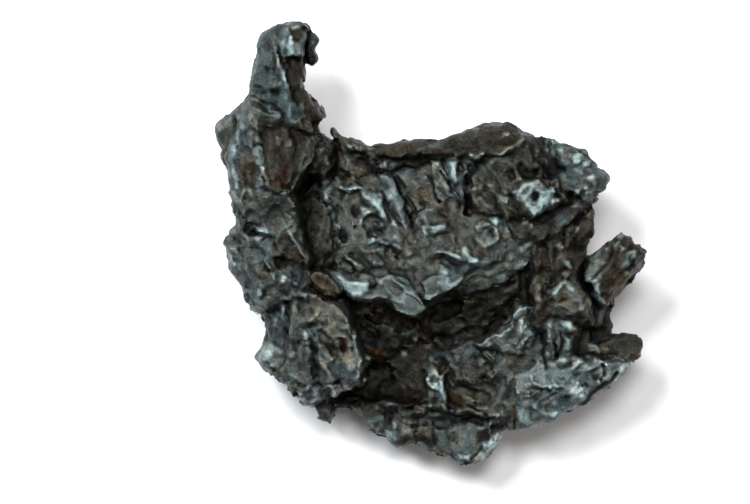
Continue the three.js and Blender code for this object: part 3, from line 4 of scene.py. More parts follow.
import bpy
import numpy as np
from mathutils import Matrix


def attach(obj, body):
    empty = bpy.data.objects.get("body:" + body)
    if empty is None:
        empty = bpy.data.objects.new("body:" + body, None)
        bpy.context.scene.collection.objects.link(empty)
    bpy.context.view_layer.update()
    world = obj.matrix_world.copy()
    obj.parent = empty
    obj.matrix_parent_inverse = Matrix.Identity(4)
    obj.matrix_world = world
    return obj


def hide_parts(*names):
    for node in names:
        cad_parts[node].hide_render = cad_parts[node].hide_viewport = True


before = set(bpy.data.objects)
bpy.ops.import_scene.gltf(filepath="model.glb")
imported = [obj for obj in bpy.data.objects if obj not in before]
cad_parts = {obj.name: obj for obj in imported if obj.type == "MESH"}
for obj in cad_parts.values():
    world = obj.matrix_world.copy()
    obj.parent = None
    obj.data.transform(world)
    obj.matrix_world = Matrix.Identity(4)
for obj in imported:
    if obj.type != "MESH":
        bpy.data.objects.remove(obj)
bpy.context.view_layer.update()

# ---------------------------------------------------------------------------------------------
# The table that the piece is studied on: a sheet of matt off-white card under a tall copy stand.
# The camera hangs over the card and looks straight down, with the spire to the upper left.
CARD_SIZE = 3.0
CARD_COLOUR = (0.86, 0.86, 0.87, 1.0)
CARD_ROUGHNESS = 0.9
CARD_SHEEN = 0.2
CAMERA_HEIGHT = 1.6
CAMERA_OVER = (-0.0151, -0.0024)
SENSOR_WIDTH = 36.0
SEES_TO = 20.0
FIELD_WIDTH = 0.2083
FIELD_LEVEL = 0.022



def placed(name, data):
    """An object that holds the given data, put into the scene."""
    thing = bpy.data.objects.new(name, data)
    bpy.context.collection.objects.link(thing)
    return thing


def dial(node, **values):
    """Sets sockets of a node, each named with underscores for its spaces."""
    for socket, value in values.items():
        node.inputs[socket.replace("_", " ")].default_value = value


camera_data = bpy.data.cameras.new("copy_stand_camera")
camera_data.sensor_width = SENSOR_WIDTH
camera_data.lens = SENSOR_WIDTH * (CAMERA_HEIGHT - FIELD_LEVEL) / FIELD_WIDTH
camera_data.clip_end = SEES_TO
camera = placed("copy_stand_camera", camera_data)
camera.location = (*CAMERA_OVER, CAMERA_HEIGHT)
bpy.context.scene.camera = camera

edge = CARD_SIZE / 2
card_corners = [(-edge, -edge, 0), (edge, -edge, 0), (edge, edge, 0), (-edge, edge, 0)]
card_mesh = bpy.data.meshes.new("card")
card_mesh.from_pydata(card_corners, [], [(0, 1, 2, 3)])
card = placed("card", card_mesh)
card_paint = bpy.data.materials.new("card_paint")
card_paint.use_nodes = True
card_shader = card_paint.node_tree.nodes["Principled BSDF"]
dial(card_shader, Base_Color=CARD_COLOUR, Roughness=CARD_ROUGHNESS, Specular_IOR_Level=CARD_SHEEN)
card_mesh.materials.append(card_paint)

# ---------------------------------------------------------------------------------------------
# The lamps of the copy stand: a cool soft box to the upper left, one high above the far edge, and a
# weak warm one to the right that keeps the hollows readable. The room gives a little even light.
LAMPS_AIM_AT = 0.02
ROOM_COLOUR = (0.90, 0.95, 1.0, 1.0)
ROOM_STRENGTH = 0.16


def soft_box(name, place, size, power, colour=(1.0, 1.0, 1.0)):
    """A flat diffused lamp that points at the middle of the piece."""
    lamp = bpy.data.lights.new(name, "AREA")
    lamp.shape = "RECTANGLE"
    lamp.size, lamp.size_y = size
    lamp.energy = power
    lamp.color = colour
    box = placed(name, lamp)
    box.location = place
    aim = -box.location.copy()
    aim.z += LAMPS_AIM_AT
    box.rotation_euler = aim.to_track_quat("-Z", "Y").to_euler()


soft_box("key_box", (-0.58, 0.57, 1.07), (0.50, 0.50), 27.0, (0.92, 0.97, 1.0))
soft_box("top_box", (0.1, 0.5, 1.5), (0.50, 0.50), 16.0)
soft_box("fill_box", (0.9, -0.3, 1.0), (0.8, 0.8), 3.5, (1.0, 0.90, 0.80))

room = bpy.data.worlds.new("room")
room.use_nodes = True
dial(room.node_tree.nodes["Background"], Color=ROOM_COLOUR, Strength=ROOM_STRENGTH)
bpy.context.scene.world = room
bpy.context.scene.view_settings.view_transform = "Standard"

# ---------------------------------------------------------------------------------------------
# The meteorite's outline: a single torn piece of nickel-iron, bent and broken as it fell. Its ragged
# plan has the tall spire and tower at the left, the dish in the middle, and the bar and horn at the
# right. Sheets hold a height or a finish for each point of that plan, in millimetres from here on.
SHEET_STEP = 0.2
REACH_X = 66.0
REACH_Y = 68.0
OUTLINE = [
    (-38, 61.5), (-41, 60.5), (-43.5, 59.5), (-45.5, 58.5), (-46.5, 56), (-48, 53), (-48.5, 49),
    (-49, 44), (-50.5, 41), (-52, 38), (-53, 37), (-56.5, 36), (-57.5, 34.5), (-59.5, 31.5),
    (-59, 28.5), (-57.5, 25), (-55.5, 20.5), (-55, 15), (-54.5, 10), (-53, 7.5), (-53, 5),
    (-55, 3), (-56, 0.5), (-56.5, -2), (-55.5, -5), (-55, -7.5), (-52.5, -10), (-51, -13),
    (-50.5, -17), (-49, -18), (-46.5, -19), (-45, -22), (-45.5, -25.5), (-47, -29), (-48, -31.5),
    (-46.5, -34.5), (-44, -36), (-41.5, -37.5), (-39, -39), (-37, -42.5), (-35.5, -44),
    (-32, -45.5), (-30.5, -49), (-28.5, -49.5), (-26.5, -48), (-26, -45.5), (-23, -45.5),
    (-20, -47.5), (-17, -50), (-15.5, -52.5), (-12, -54), (-10, -56), (-5.5, -56), (-0.5, -57),
    (4.5, -59.5), (9, -61.5), (13.5, -61), (16, -59.5), (18.5, -56.5), (21.5, -54), (20.5, -52.5),
    (25, -52), (31, -51), (35, -49), (38, -47), (42.5, -45.5), (46, -42.5), (49.5, -40),
    (52.5, -37.5), (55, -34), (55.5, -32.5), (59, -32), (60, -30), (59.5, -27), (57.5, -25),
    (55, -24.5), (52, -25), (52, -21), (52, -16.5), (54.5, -13), (58, -9.5), (60, -6.5),
    (60, -2.5), (57.5, -1), (55.5, 2), (53, 2.5), (50.5, 1), (47, -0.5), (44.5, -2.5), (43, -4.5),
    (43, -1), (45.5, 2.5), (45.5, 7), (44.5, 11), (48, 15), (50, 17.5), (49, 20), (45, 22.5),
    (42, 25.5), (37.5, 27), (34, 28.5), (30, 29), (26, 30.5), (22.5, 33.5), (18, 33.5), (12.5, 32),
    (7, 30), (3, 28.5), (-7, 28.5), (-12.5, 27.5), (-16.5, 27), (-19, 28), (-23.5, 30), (-26, 32),
    (-27, 31), (-27.5, 29), (-30.5, 30), (-31, 34), (-29.5, 35), (-30.5, 37.5), (-33, 40.5),
    (-35, 44), (-34.5, 47.5), (-35, 50), (-32.5, 49), (-31, 51), (-31, 56), (-32.5, 58),
    (-33.5, 59.5), (-35.5, 61),
]

plan_x, plan_y = np.meshgrid(
    np.arange(-REACH_X, REACH_X, SHEET_STEP), np.arange(-REACH_Y, REACH_Y, SHEET_STEP), indexing="ij"
)


def smooth_step(share):
    """Eases a share from 0 to 1."""
    t = np.clip(share, 0.0, 1.0)
    return t * t * (3.0 - 2.0 * t)


def off_piece(a, b, x, y):
    """How far points lie off the straight piece between two corners, along x and along y."""
    run = (b[0] - a[0], b[1] - a[1])
    along = ((x - a[0]) * run[0] + (y - a[1]) * run[1]) / (run[0] ** 2 + run[1] ** 2)
    t = np.clip(along, 0.0, 1.0)
    return x - a[0] - t * run[0], y - a[1] - t * run[1]


def inside_distance(corners, x, y):
    """Distance from points to the edge of a closed outline, positive inside it."""
    nearest = np.full(x.shape, np.inf)
    inside = np.zeros(x.shape, bool)
    for a, b in zip(corners, corners[1:] + corners[:1]):
        nearest = np.minimum(nearest, np.hypot(*off_piece(a, b, x, y)))
        if a[1] != b[1]:
            crosses = (a[1] > y) != (b[1] > y)
            inside ^= crosses & (x < (b[0] - a[0]) * (y - a[1]) / (b[1] - a[1]) + a[0])
    return np.where(inside, nearest, -nearest)


wall_sheet = inside_distance(OUTLINE, plan_x, plan_y)

# ---------------------------------------------------------------------------------------------
# Weather: what wears the metal's edges and breaks its faces up. Each pattern draws its numbers for the
# cells of the space that holds the piece, from a seed of its own, so the piece is always the same.
LOW = (-64.0, -66.0, -2.2)
HIGH = (64.0, 66.0, 43.0)
SPARE_CELLS = 6
CHIP_NUMBERS = 7
CHIP_TILT = 2.2
CHIP_OFFSET = 0.8
CREASE_SHARPNESS = 4.0


def cell_numbers(kinds, length, seed):
    """Steady random numbers from 0 to 1 for every cell of that length."""
    counts = [int((high - low) / length) + 2 * SPARE_CELLS for low, high in zip(LOW, HIGH)]
    return np.random.default_rng(seed).random((kinds, *counts), dtype=np.float32)


def in_cells(points, length):
    """The points counted in cells, and the whole number of the cell that each is in."""
    spot = [((axis - low) / length + SPARE_CELLS).astype(np.float32) for axis, low in zip(points, LOW)]
    return spot, [axis.astype(np.int32) for axis in spot]


def billows(points, length, seed):
    """Smooth bumps about that long, from -1 to 1."""
    numbers = cell_numbers(1, length, seed)[0]
    spot, cell = in_cells(points, length)
    part = [smooth_step(axis - low) for axis, low in zip(spot, cell)]
    total = 0.0
    for corner in product((0, 1), repeat=3):
        weight = 1.0
        for share, side in zip(part, corner):
            weight = weight * (share if side else 1.0 - share)
        total = total + weight * numbers[tuple(low + side for low, side in zip(cell, corner))]
    return 2.0 * total - 1.0


def creases(points, length, seed):
    """Crumpled skin: sharp crests between rounded hollows, 1 at a crest."""
    return 1.0 - CREASE_SHARPNESS * np.abs(billows(points, length, seed))


def chips(points, length, seed):
    """Chipped metal: each point takes the slope of the nearest of many scattered chips, about -1 to 1."""
    numbers = cell_numbers(CHIP_NUMBERS, length, seed)
    rows = numbers.reshape(CHIP_NUMBERS, -1)
    spot, cell = in_cells(points, length)
    nearest = np.full(spot[0].shape, np.inf, np.float32)
    slope = np.zeros(spot[0].shape, np.float32)
    for side in product((-1, 0, 1), repeat=3):
        home = [low + step for low, step in zip(cell, side)]
        drawn = rows[:, np.ravel_multi_index(home, numbers.shape[1:])]
        reach = [axis - low - drawn[k] for k, (axis, low) in enumerate(zip(spot, home))]
        distance = reach[0] ** 2 + reach[1] ** 2 + reach[2] ** 2
        lean = sum(axis * (drawn[3 + k] - 0.5) for k, axis in enumerate(reach))
        closer = distance < nearest
        nearest = np.where(closer, distance, nearest)
        slope = np.where(closer, CHIP_TILT * lean + CHIP_OFFSET * (drawn[6] - 0.5), slope)
    return slope


def ragged(rags):
    """The plan with its points shifted a little, so that what is looked up there gets a ragged edge."""
    shifted = []
    for plan, next_seed in ((plan_x, 0), (plan_y, 1)):
        moved = plan.copy()
        for amount, length, seed in rags:
            moved += amount * billows(level_plan, length, seed + next_seed)
        shifted.append(moved)
    return shifted


# Each rag is how far the points shift, how long the bumps are, and the seed.
WORN = ((0.75, 5.5, 75), (0.40, 2.4, 77))
RAGS = ((0.50, 2.6, 71), (0.26, 1.1, 73))
FINE_PATCHES = 0.6
level_plan = (plan_x, plan_y, np.zeros(plan_x.shape))
worn_x, worn_y = ragged(WORN)
ragged_x, ragged_y = ragged(RAGS)
patchy = billows(level_plan, 2.0, 81) + FINE_PATCHES * billows(level_plan, 1.0, 83)
lumpy = billows(level_plan, 3.4, 85)

# ---------------------------------------------------------------------------------------------
# The face: tilted plates of torn metal, each at its own height and laid over the ones before it.
# A plate is its name, its height at the middle, its rise to +x and to +y, its edge and its corners.
UPPER_GROUND = 20.0
PLATES = [
    ("left slope of the hollow", 15, (-0.3, 0.3), 2, [
        (-24, -15), (-12.5, -16.5), (-4, -20), (0, -28), (-2, -35.5), (-9.5, -35.5), (-18, -36.5),
        (-20, -28), (-22, -22),
    ]),
    ("trough wall", 17, (0.05, 0.55), 1.2, [
        (-1, -19.5), (5.5, -15), (14, -12.5), (21, -9.5), (28, -4), (28, -15.5), (25, -19.5),
        (18, -24), (10.5, -27.5), (4.5, -30), (-0.5, -29),
    ]),
    ("hollow floor", 11, (0.05, 0), 2.5, [
        (-6, -29.5), (3, -28), (5.5, -32.5), (4.5, -35.5), (3, -42), (0, -44), (-8, -43),
        (-19.5, -44), (-25.5, -43.5), (-22, -40), (-19, -36), (-9.5, -34.5),
    ]),
    ("shadow pocket", 9, (0, 0), 1.5, [
        (-19, -35.5), (-12.5, -35), (-10.5, -39), (-16, -42.5), (-23.5, -44.5), (-25.5, -43),
        (-21.5, -40),
    ]),
    ("brown slope", 15, (0.12, -0.1), 2.5, [
        (5, -35.5), (11, -32.5), (19.5, -34), (23, -39.5), (21, -45), (17, -47.5), (8.5, -45.5),
        (4.5, -43),
    ]),
    ("rough slope", 17.5, (0.18, -0.1), 2, [
        (4.5, -32), (11, -28), (19, -25.5), (24, -29.5), (21, -35.5), (14, -38), (7.5, -37.5),
    ]),
    ("bottom lobe", 15.5, (-0.02, -0.12), 1.5, [
        (-21.5, -45), (-12.5, -45), (-2.5, -46), (5.5, -47.5), (15.5, -48.5), (22, -49), (25, -52),
        (22, -54.5), (16, -60), (9, -63), (0, -59), (-9.5, -57.5), (-18, -52),
    ]),
    ("bottom lobe ledge", 15, (0, 0.25), 1.2, [
        (-10.5, -47), (4.5, -47), (15.5, -49), (16, -51), (7, -51), (-2.5, -50), (-9.5, -49.5),
    ]),
    ("bottom plate", 17, (0.05, -0.22), 0.8, [
        (7, -51), (13.5, -50), (19, -52), (22, -54), (17.5, -58), (15, -60.5), (9, -61), (6, -58),
    ]),
    ("plate apron", 19.3, (0.2, 0.05), 2.5, [
        (19.5, -30), (26, -29.5), (28, -39.5), (27, -52.5), (19.5, -54), (18, -47), (19.5, -38),
    ]),
    ("lower right plate", 22.3, (0.13, 0), 2.6, [
        (26, -30), (28.5, -25.5), (33, -23), (37, -22), (40, -24), (40, -30), (47.5, -32),
        (57, -32.5), (53.5, -37.5), (48.5, -40.5), (43, -45.5), (35, -49), (31.5, -52),
        (24.5, -52.5), (25.5, -47.5), (25, -43), (26, -36.5),
    ]),
    ("plate crest", 22.5, (0.1, 0.3), 0.9, [
        (13.5, -28), (19.5, -25), (23.5, -21), (25, -17.5), (27.5, -17.5), (27.5, -23), (29, -26),
        (25, -29.5), (22, -30),
    ]),
    ("inner step", 20, (0.05, 0.1), 0.7, [
        (29.5, -25.5), (32.5, -24), (32, -30), (28, -34.5), (24, -36.5), (22.5, -34), (25.5, -30),
    ]),
    ("outer bevel", 18, (0.3, 0.5), 0.7, [
        (34, -49.5), (38, -47), (44.5, -44.5), (49.5, -39.5), (53.5, -37), (57, -33), (58.5, -35),
        (50, -43.5), (40.5, -50.5), (33, -53),
    ]),
    ("horn", 20.5, (0.05, -0.12), 1.2, [
        (38.5, -24.5), (45, -26), (51.5, -24.5), (55.5, -23.5), (60, -25.5), (61, -31),
        (58.5, -32.5), (48, -31.5), (40.5, -30.5),
    ]),
    ("right gully", 18, (0, 0), 1.2, [
        (43.5, -5), (45.5, -10.5), (47.5, -15.5), (53, -15.5), (53, -25.5), (46, -26), (44.5, -21),
        (45, -16), (43, -13), (41, -9), (42, -5), (44, -1.5), (46.5, -1),
    ]),
    ("gully rib", 19, (0, 0), 0.8, [
        (45.5, -16.5), (48.5, -17), (48.5, -22), (46, -23),
    ]),
    ("right column", 27, (-0.03, 0.03), 1.2, [
        (31, 1.5), (34, 3), (40.5, 5), (46, 10), (46, 2), (44, -2), (40.5, -8.5), (42.5, -13),
        (45, -16), (44.5, -22), (39.5, -24), (33, -23.5), (29, -22.5), (29, -17.5), (28, -13),
        (28.5, -8), (28, -4), (29, -0.5),
    ]),
    ("column knob", 28, (0, 0.05), 1.2, [
        (34, -13), (36, -11), (39.5, -11), (41, -13.5), (44, -15.5), (44, -19), (40, -20),
        (36, -17.5), (34, -15.5),
    ]),
    ("plate shoulder", 24.6, (0, 0.15), 1.5, [
        (32, -22.5), (36, -21), (40.5, -23.5), (40.5, -28), (39, -30.5), (34, -30), (32, -26),
    ]),
    ("column groove", 21, (0, 0.1), 0.7, [
        (26.5, 1), (28, 1), (27.5, -5), (27.5, -11.5), (27, -16.5), (26, -17), (26, -11.5),
        (26.5, -5),
    ]),
    ("bar", 28, (0.12, 0.1), 1, [
        (50.5, 2), (53.5, 3.5), (56, 2), (58, -0.5), (60.5, -1.5), (60.5, -5.5), (56, -9),
        (51, -15.5), (48, -17), (46.5, -14.5), (45.5, -11), (43.5, -9.5), (45, -5), (47.5, -1),
    ]),
    ("bar underside", 21, (0.3, 0.3), 0.8, [
        (60.5, -5), (60.5, -8), (55.5, -13), (52.5, -17), (50.5, -16), (54, -12), (57.5, -8),
    ]),
    ("bar flank", 24, (0.35, -0.1), 0.8, [
        (50.5, 0.5), (47.5, -0.5), (44, -3), (43, -9), (45.5, -10), (47.5, -7.5), (49.5, -3),
    ]),
    ("upper right lobe", 29.8, (0.26, 0), 1.8, [
        (13.5, 24), (19.5, 26), (27, 30), (34, 29.5), (37.5, 27.5), (36, 22), (37.5, 12),
        (40.5, 9), (36, 5), (32.5, 3), (28.5, 0.5), (24, 2.5), (21, 5.5), (17.5, 7.5), (14, 8.5),
        (12, 10.5), (10.5, 14), (11, 18),
    ]),
    ("corner plate", 30, (0.1, -0.02), 1, [
        (32.5, 29.5), (38, 27.5), (42.5, 26), (45.5, 23), (51, 20.5), (51, 16.5), (46, 12),
        (42, 10.5), (38.5, 14.5), (35, 20), (33, 23),
    ]),
    ("lobe dip", 28.5, (-0.25, 0), 1.6, [
        (26, 29), (32, 29.5), (34, 26), (35, 20), (33, 19), (29.5, 20.5), (27.5, 24),
    ]),
    ("lower step", 28.5, (0.05, -0.1), 1.5, [
        (23, 7), (28, 7), (33, 9.5), (38, 11), (41, 12), (42.5, 9), (38.5, 5), (33, 3), (29, 0.5),
        (24.5, 1), (22, 3),
    ]),
    ("crater patch", 34.2, (-0.15, 0.12), 0.8, [
        (23, 14), (25.5, 16.5), (29.5, 17), (34, 15), (35, 13), (32.5, 10.5), (28.5, 7.5), (26, 9),
        (24.5, 11.5),
    ]),
    ("dish floor", 25, (0.06, -0.08), 0.9, [
        (-30, 17.5), (-23.5, 19), (-14, 20.5), (-8, 21.5), (-1, 23), (3.5, 24), (13.5, 24.5),
        (11, 19), (10, 13), (10.5, 8.5), (19.5, 6.5), (23, 1), (21, -5), (16, -8.5), (9.5, -11),
        (3, -13), (-2, -15.5), (-6, -13.5), (-12.5, -10.5), (-22, -10.5), (-27, -7.5), (-30, -2),
        (-31, 8),
    ]),
    ("upper rim", 28, (0.05, 0), 1.4, [
        (-23.5, 30.5), (-19, 29), (-16, 27.5), (-7, 29.5), (3, 29.5), (14, 34), (23, 34.5),
        (27, 29.5), (19.5, 25.5), (14, 24), (3.5, 24.5), (-1, 24), (-8, 22.5), (-14, 24),
        (-19, 25.5), (-22, 27),
    ]),
    ("rim shoulder", 24, (0.1, 0.2), 0.9, [
        (-27.5, 32), (-23.5, 30), (-19, 25.5), (-14, 23), (-11, 21), (-16, 19.5), (-23.5, 18),
        (-26.5, 20.5), (-27.5, 26),
    ]),
    ("rim recess", 25, (0, 0), 0.6, [
        (-16, 21.5), (-11, 22.5), (-7, 23), (-2.5, 24), (-1.5, 22.5), (-7, 21), (-10.5, 20),
        (-15, 19.5),
    ]),
    ("dish lip", 26.5, (0, -0.12), 0.8, [
        (-29, -6), (-26, -7), (-21.5, -9), (-16.5, -9.5), (-12, -9.5), (-7.5, -10), (-5, -13.5),
        (-6, -16), (-11, -16), (-16, -15.5), (-20.5, -15), (-24.5, -13), (-27, -10),
    ]),
    ("lip plate", 27, (0.06, -0.05), 0.7, [
        (-12, -10.5), (-7, -10), (-5, -12.5), (-4, -15), (-1, -17.5), (-3, -20.5), (-5.5, -20),
        (-9.5, -18), (-12.5, -15.5),
    ]),
    ("lip crest", 28, (-0.05, -0.25), 0.7, [
        (-1.5, -14.5), (-1.5, -11), (3, -7), (9, -5), (17, -7.5), (9, -11), (4.5, -13), (0, -15),
    ]),
    ("lobe apron", 24, (0, 0.35), 1, [
        (10, -8), (19, -5), (23, 1), (28, 1), (27.5, -5.5), (21, -10), (14, -12.5), (7, -14),
    ]),
    ("valley", 22, (-0.05, -0.05), 1.8, [
        (-33.5, 34), (-31, 34), (-30, 30), (-27, 28.5), (-26, 23), (-27.5, 18), (-30, 16.5),
        (-31, 9), (-30, -1), (-27, -7), (-31, -7.5), (-34, -5), (-36, 1), (-38, 7.5), (-39.5, 12),
        (-36, 17.5), (-33, 23), (-32.5, 29),
    ]),
    ("valley knob", 27, (0.1, 0.1), 1.4, [
        (-32.5, 28), (-29.5, 29.5), (-27.5, 26.5), (-27, 21), (-29.5, 17.5), (-32.5, 19),
        (-33, 23),
    ]),
    ("valley bank", 25.5, (0.1, 0), 2.5, [
        (-37, 10.5), (-32, 12), (-29, 9), (-28, -2), (-30, -5.5), (-33, -4.5), (-36, 1.5),
        (-37.5, 7),
    ]),
    ("lower left mass", 33, (0.08, 0.04), 1.6, [
        (-36, -13), (-29, -14.5), (-24, -17), (-22, -21), (-20, -25.5), (-19, -30), (-19, -34),
        (-19.5, -37.5), (-22, -40), (-24.5, -39.5), (-25.5, -37.5), (-29, -39), (-31, -42.5),
        (-35.5, -44.5), (-40, -40), (-46.5, -35.5), (-49.5, -31.5), (-46.5, -27), (-46, -20.5),
        (-46.5, -18), (-41.5, -15),
    ]),
    ("mass left flank", 27.5, (0.45, 0), 1.2, [
        (-46.5, -18), (-40, -17), (-39, -24), (-40.5, -30), (-42.5, -35.5), (-46.5, -35.5),
        (-50, -31.5), (-46.5, -27), (-46, -22),
    ]),
    ("mass hip", 29, (0.3, 0.1), 1.5, [
        (-47.5, -29), (-44, -28), (-41, -30), (-41.5, -34), (-45, -35), (-48, -33),
    ]),
    ("mass foot", 29.5, (0, 0.15), 0.7, [
        (-36, -39), (-31, -39), (-29.5, -41), (-31, -44), (-36, -44.5), (-37.5, -42.5),
    ]),
    ("foot tongue", 18, (0.1, 0.1), 0.9, [
        (-31.5, -44.5), (-27.5, -45), (-26, -48), (-28, -50), (-31.5, -49.5),
    ]),
    ("mass toe", 30, (0, 0.2), 0.6, [
        (-28, -39), (-24.5, -38.5), (-24, -40.5), (-26, -43), (-27.5, -41),
    ]),
    ("mass cheek", 34.3, (0.05, -0.05), 1.4, [
        (-31, -25), (-25, -22), (-21.5, -24.5), (-19.5, -29.5), (-20, -35), (-22.5, -38),
        (-27, -36), (-30.5, -32.5),
    ]),
    ("left middle mass", 33.5, (0.15, 0.06), 1.4, [
        (-57, 1.5), (-52, 7.5), (-46.5, 9), (-40, 9), (-37, 5.5), (-33, -4), (-34.5, -8),
        (-32.5, -12), (-36, -14), (-41, -15.5), (-46.5, -19), (-51, -18), (-53, -10),
        (-56.5, -5.5),
    ]),
    ("middle left flank", 28, (0.45, 0), 1, [
        (-57.5, 1), (-53, 4.5), (-51, 1), (-52, -5), (-49.5, -10.5), (-48, -17), (-52.5, -17),
        (-55, -8), (-57.5, -4.5),
    ]),
    ("middle facet", 34, (-0.22, -0.06), 0.9, [
        (-42.5, 0.5), (-39.5, 4), (-36, 2), (-33, -4.5), (-36.5, -5.5), (-41.5, -4),
    ]),
    ("wedge block", 33.5, (0.05, 0.12), 0.5, [
        (-35, -10.5), (-33, -8), (-30.5, -7), (-27.5, -9), (-24.5, -13), (-25.5, -15),
        (-27.5, -16), (-31.5, -14), (-34.5, -13),
    ]),
    ("middle step", 32.3, (-0.15, 0), 1, [
        (-41.5, -5), (-36, -5.5), (-34, -7), (-34.5, -10), (-36.5, -13), (-41, -12.5), (-42.5, -9),
    ]),
    ("tower", 38, (0.05, 0.1), 1.2, [
        (-53, 37), (-46.5, 42), (-39, 43), (-34.5, 40.5), (-32, 35), (-33, 29), (-33, 24),
        (-36, 18), (-39.5, 13), (-38, 8), (-46, 6.5), (-53, 6), (-55.5, 12), (-56.5, 18),
        (-59, 25.5), (-60.5, 30), (-57.5, 35.5),
    ]),
    ("tower skirt", 35, (0, 0.3), 2.5, [
        (-55, 12.5), (-46.5, 14), (-39, 13), (-37.5, 6), (-45.5, 4), (-53, 4),
    ]),
    ("tower left face", 35, (0.55, 0), 1, [
        (-54.5, 36.5), (-51, 38), (-50, 31.5), (-50.5, 23), (-51.5, 15), (-51, 8), (-55, 8),
        (-56, 15), (-56.5, 22), (-56.5, 29),
    ]),
    ("shoulder nub", 29, (0.25, -0.1), 0.8, [
        (-61, 31.5), (-57.5, 37), (-54, 37), (-54.5, 31.5), (-55.5, 26), (-57.5, 24), (-60, 28),
    ]),
    ("tower facet", 35.3, (-0.4, -0.08), 1.4, [
        (-45.5, 32), (-39.5, 32.5), (-34.5, 33), (-33, 29), (-33, 24), (-35.5, 19), (-39.5, 14.5),
        (-44, 17), (-45, 23),
    ]),
    ("facet crest", 33.3, (-0.15, 0), 0.6, [
        (-33.5, 29), (-32.5, 24.5), (-35.5, 19), (-38.5, 15), (-39, 15.5), (-36, 20), (-34.5, 25),
    ]),
    ("spire", 36, (0, -0.03), 0.9, [
        (-48.5, 43), (-50, 49.5), (-47.5, 57), (-44.5, 60.5), (-37.5, 62.5), (-32.5, 60),
        (-34.5, 56.5), (-35, 50.5), (-34, 44.5), (-32.5, 41), (-28, 35.5), (-31, 33), (-35, 34),
        (-37, 32), (-39.5, 34), (-40.5, 36.5), (-46.5, 37.5), (-50.5, 39.5),
    ]),
    ("spire left face", 34, (0.35, 0), 0.9, [
        (-50, 43), (-50, 49.5), (-48, 55.5), (-45.5, 59.5), (-42.5, 59.5), (-41, 52), (-40, 44.5),
        (-39.5, 36.5), (-45, 39), (-48, 40.5),
    ]),
    ("spire right face", 34, (-0.38, -0.16), 0.7, [
        (-39, 51), (-34.5, 51), (-33.5, 44.5), (-31.5, 40.5), (-27, 35.5), (-30, 31.5),
        (-36, 31.5), (-38, 38), (-39, 45),
    ]),
    ("spire hook", 29, (0.05, 0.1), 0.5, [
        (-34.5, 59), (-31.5, 58), (-30, 56), (-30, 51), (-32, 48), (-34.5, 49.5), (-34, 54),
    ]),
]
# The finish of each plate: how bare and lit it looks, how brown, how rough, and which way its grain runs in
# degrees.
# Bare values hold painted light and shade: plates that face the lamps lighter, those turned away or shaded
# darker.
# Brown values also paint a warm reflection on faces turned right and a cool one on faces turned left.
FINISHES = {
    "left slope of the hollow": (0.22, 0.75, 1.1, -35),
    "trough wall": (0.2, 0.7, 1, 20),
    "hollow floor": (0.14, 0.75, 1.2, -30),
    "shadow pocket": (0.13, 0.6, 1, 0),
    "brown slope": (0.3, 0.7, 1.2, -25),
    "rough slope": (0.26, 0.35, 1.4, -30),
    "bottom lobe": (0.25, 0.45, 1.2, -70),
    "bottom lobe ledge": (0.3, 0.4, 0.9, 0),
    "bottom plate": (0.4, 0.3, 0.8, 50),
    "plate apron": (0.41, 0.3, 1.2, 60),
    "lower right plate": (0.6, 0.12, 0.6, 35),
    "plate crest": (0.7, 0.15, 0.7, 35),
    "inner step": (0.4, 0.35, 1, 60),
    "outer bevel": (0.3, 0.3, 0.8, 40),
    "horn": (0.19, 0.75, 0.5, 0),
    "right gully": (0.1, 0.4, 1, 80),
    "gully rib": (0.35, 0, 0.6, 90),
    "right column": (0.16, 0.8, 1.2, 85),
    "column knob": (0.42, 0.5, 0.8, 30),
    "plate shoulder": (0.42, 0.2, 0.9, 90),
    "column groove": (0.05, 0.3, 0.6, 90),
    "bar": (0.18, 0.95, 0.9, 45),
    "bar underside": (0.05, 0.6, 0.8, 50),
    "bar flank": (0.5, 0.3, 0.7, 60),
    "upper right lobe": (0.24, 0.6, 1.2, -60),
    "corner plate": (0.38, 0.15, 1.2, -45),
    "lobe dip": (0.1, 0.5, 1.1, -60),
    "lower step": (0.18, 0.5, 0.9, 20),
    "crater patch": (0.52, 0.2, 0.9, 30),
    "dish floor": (0.37, 0.42, 1.2, -58),
    "upper rim": (0.14, 0.8, 0.5, 10),
    "rim shoulder": (0.18, 0.7, 0.8, -30),
    "rim recess": (0.06, 0.5, 0.9, 10),
    "dish lip": (0.5, 0.25, 0.8, -10),
    "lip plate": (0.46, 0.25, 0.7, -40),
    "lip crest": (0.44, 0.15, 0.8, 30),
    "lobe apron": (0.55, 0.2, 0.7, 35),
    "valley": (0.1, 0.7, 0.9, -75),
    "valley knob": (0.2, 0.5, 1, 90),
    "valley bank": (0.17, 0.6, 1.2, 80),
    "lower left mass": (0.34, 0.28, 1.2, -80),
    "mass left flank": (0.32, 0.1, 0.7, -85),
    "mass hip": (0.62, 0.2, 0.6, 0),
    "mass foot": (0.35, 0.4, 1, 0),
    "foot tongue": (0.25, 0.4, 0.8, -60),
    "mass toe": (0.4, 0.4, 0.7, -60),
    "mass cheek": (0.4, 0.3, 1.1, -60),
    "left middle mass": (0.38, 0.22, 1.2, -50),
    "middle left flank": (0.34, 0.05, 0.7, -60),
    "middle facet": (0.3, 0.5, 0.7, -45),
    "wedge block": (0.18, 0.7, 0.3, -50),
    "middle step": (0.28, 0.1, 0.8, -60),
    "tower": (0.36, 0.3, 0.9, -85),
    "tower skirt": (0.38, 0.35, 1.3, -60),
    "tower left face": (0.34, 0.05, 0.6, -85),
    "shoulder nub": (0.3, 0.2, 0.6, -70),
    "tower facet": (0.2, 0.75, 0.5, -80),
    "facet crest": (0.35, 0.4, 0.5, -100),
    "spire": (0.32, 0.25, 0.6, -80),
    "spire left face": (0.33, 0, 0.6, -95),
    "spire right face": (0.15, 0.85, 0.8, -80),
    "spire hook": (0.2, 0.7, 0.7, -90),
}
PLAIN_SHINE = 0.3
PLAIN_BROWN = 0.4
PLAIN_ROUGH = 1.0
# The soft step at a plate's edge starts this many edges outside it and is this many edges broad.
STEP_STARTS = 1.5
STEP_BROAD = 2.0
SPARE = 1.0

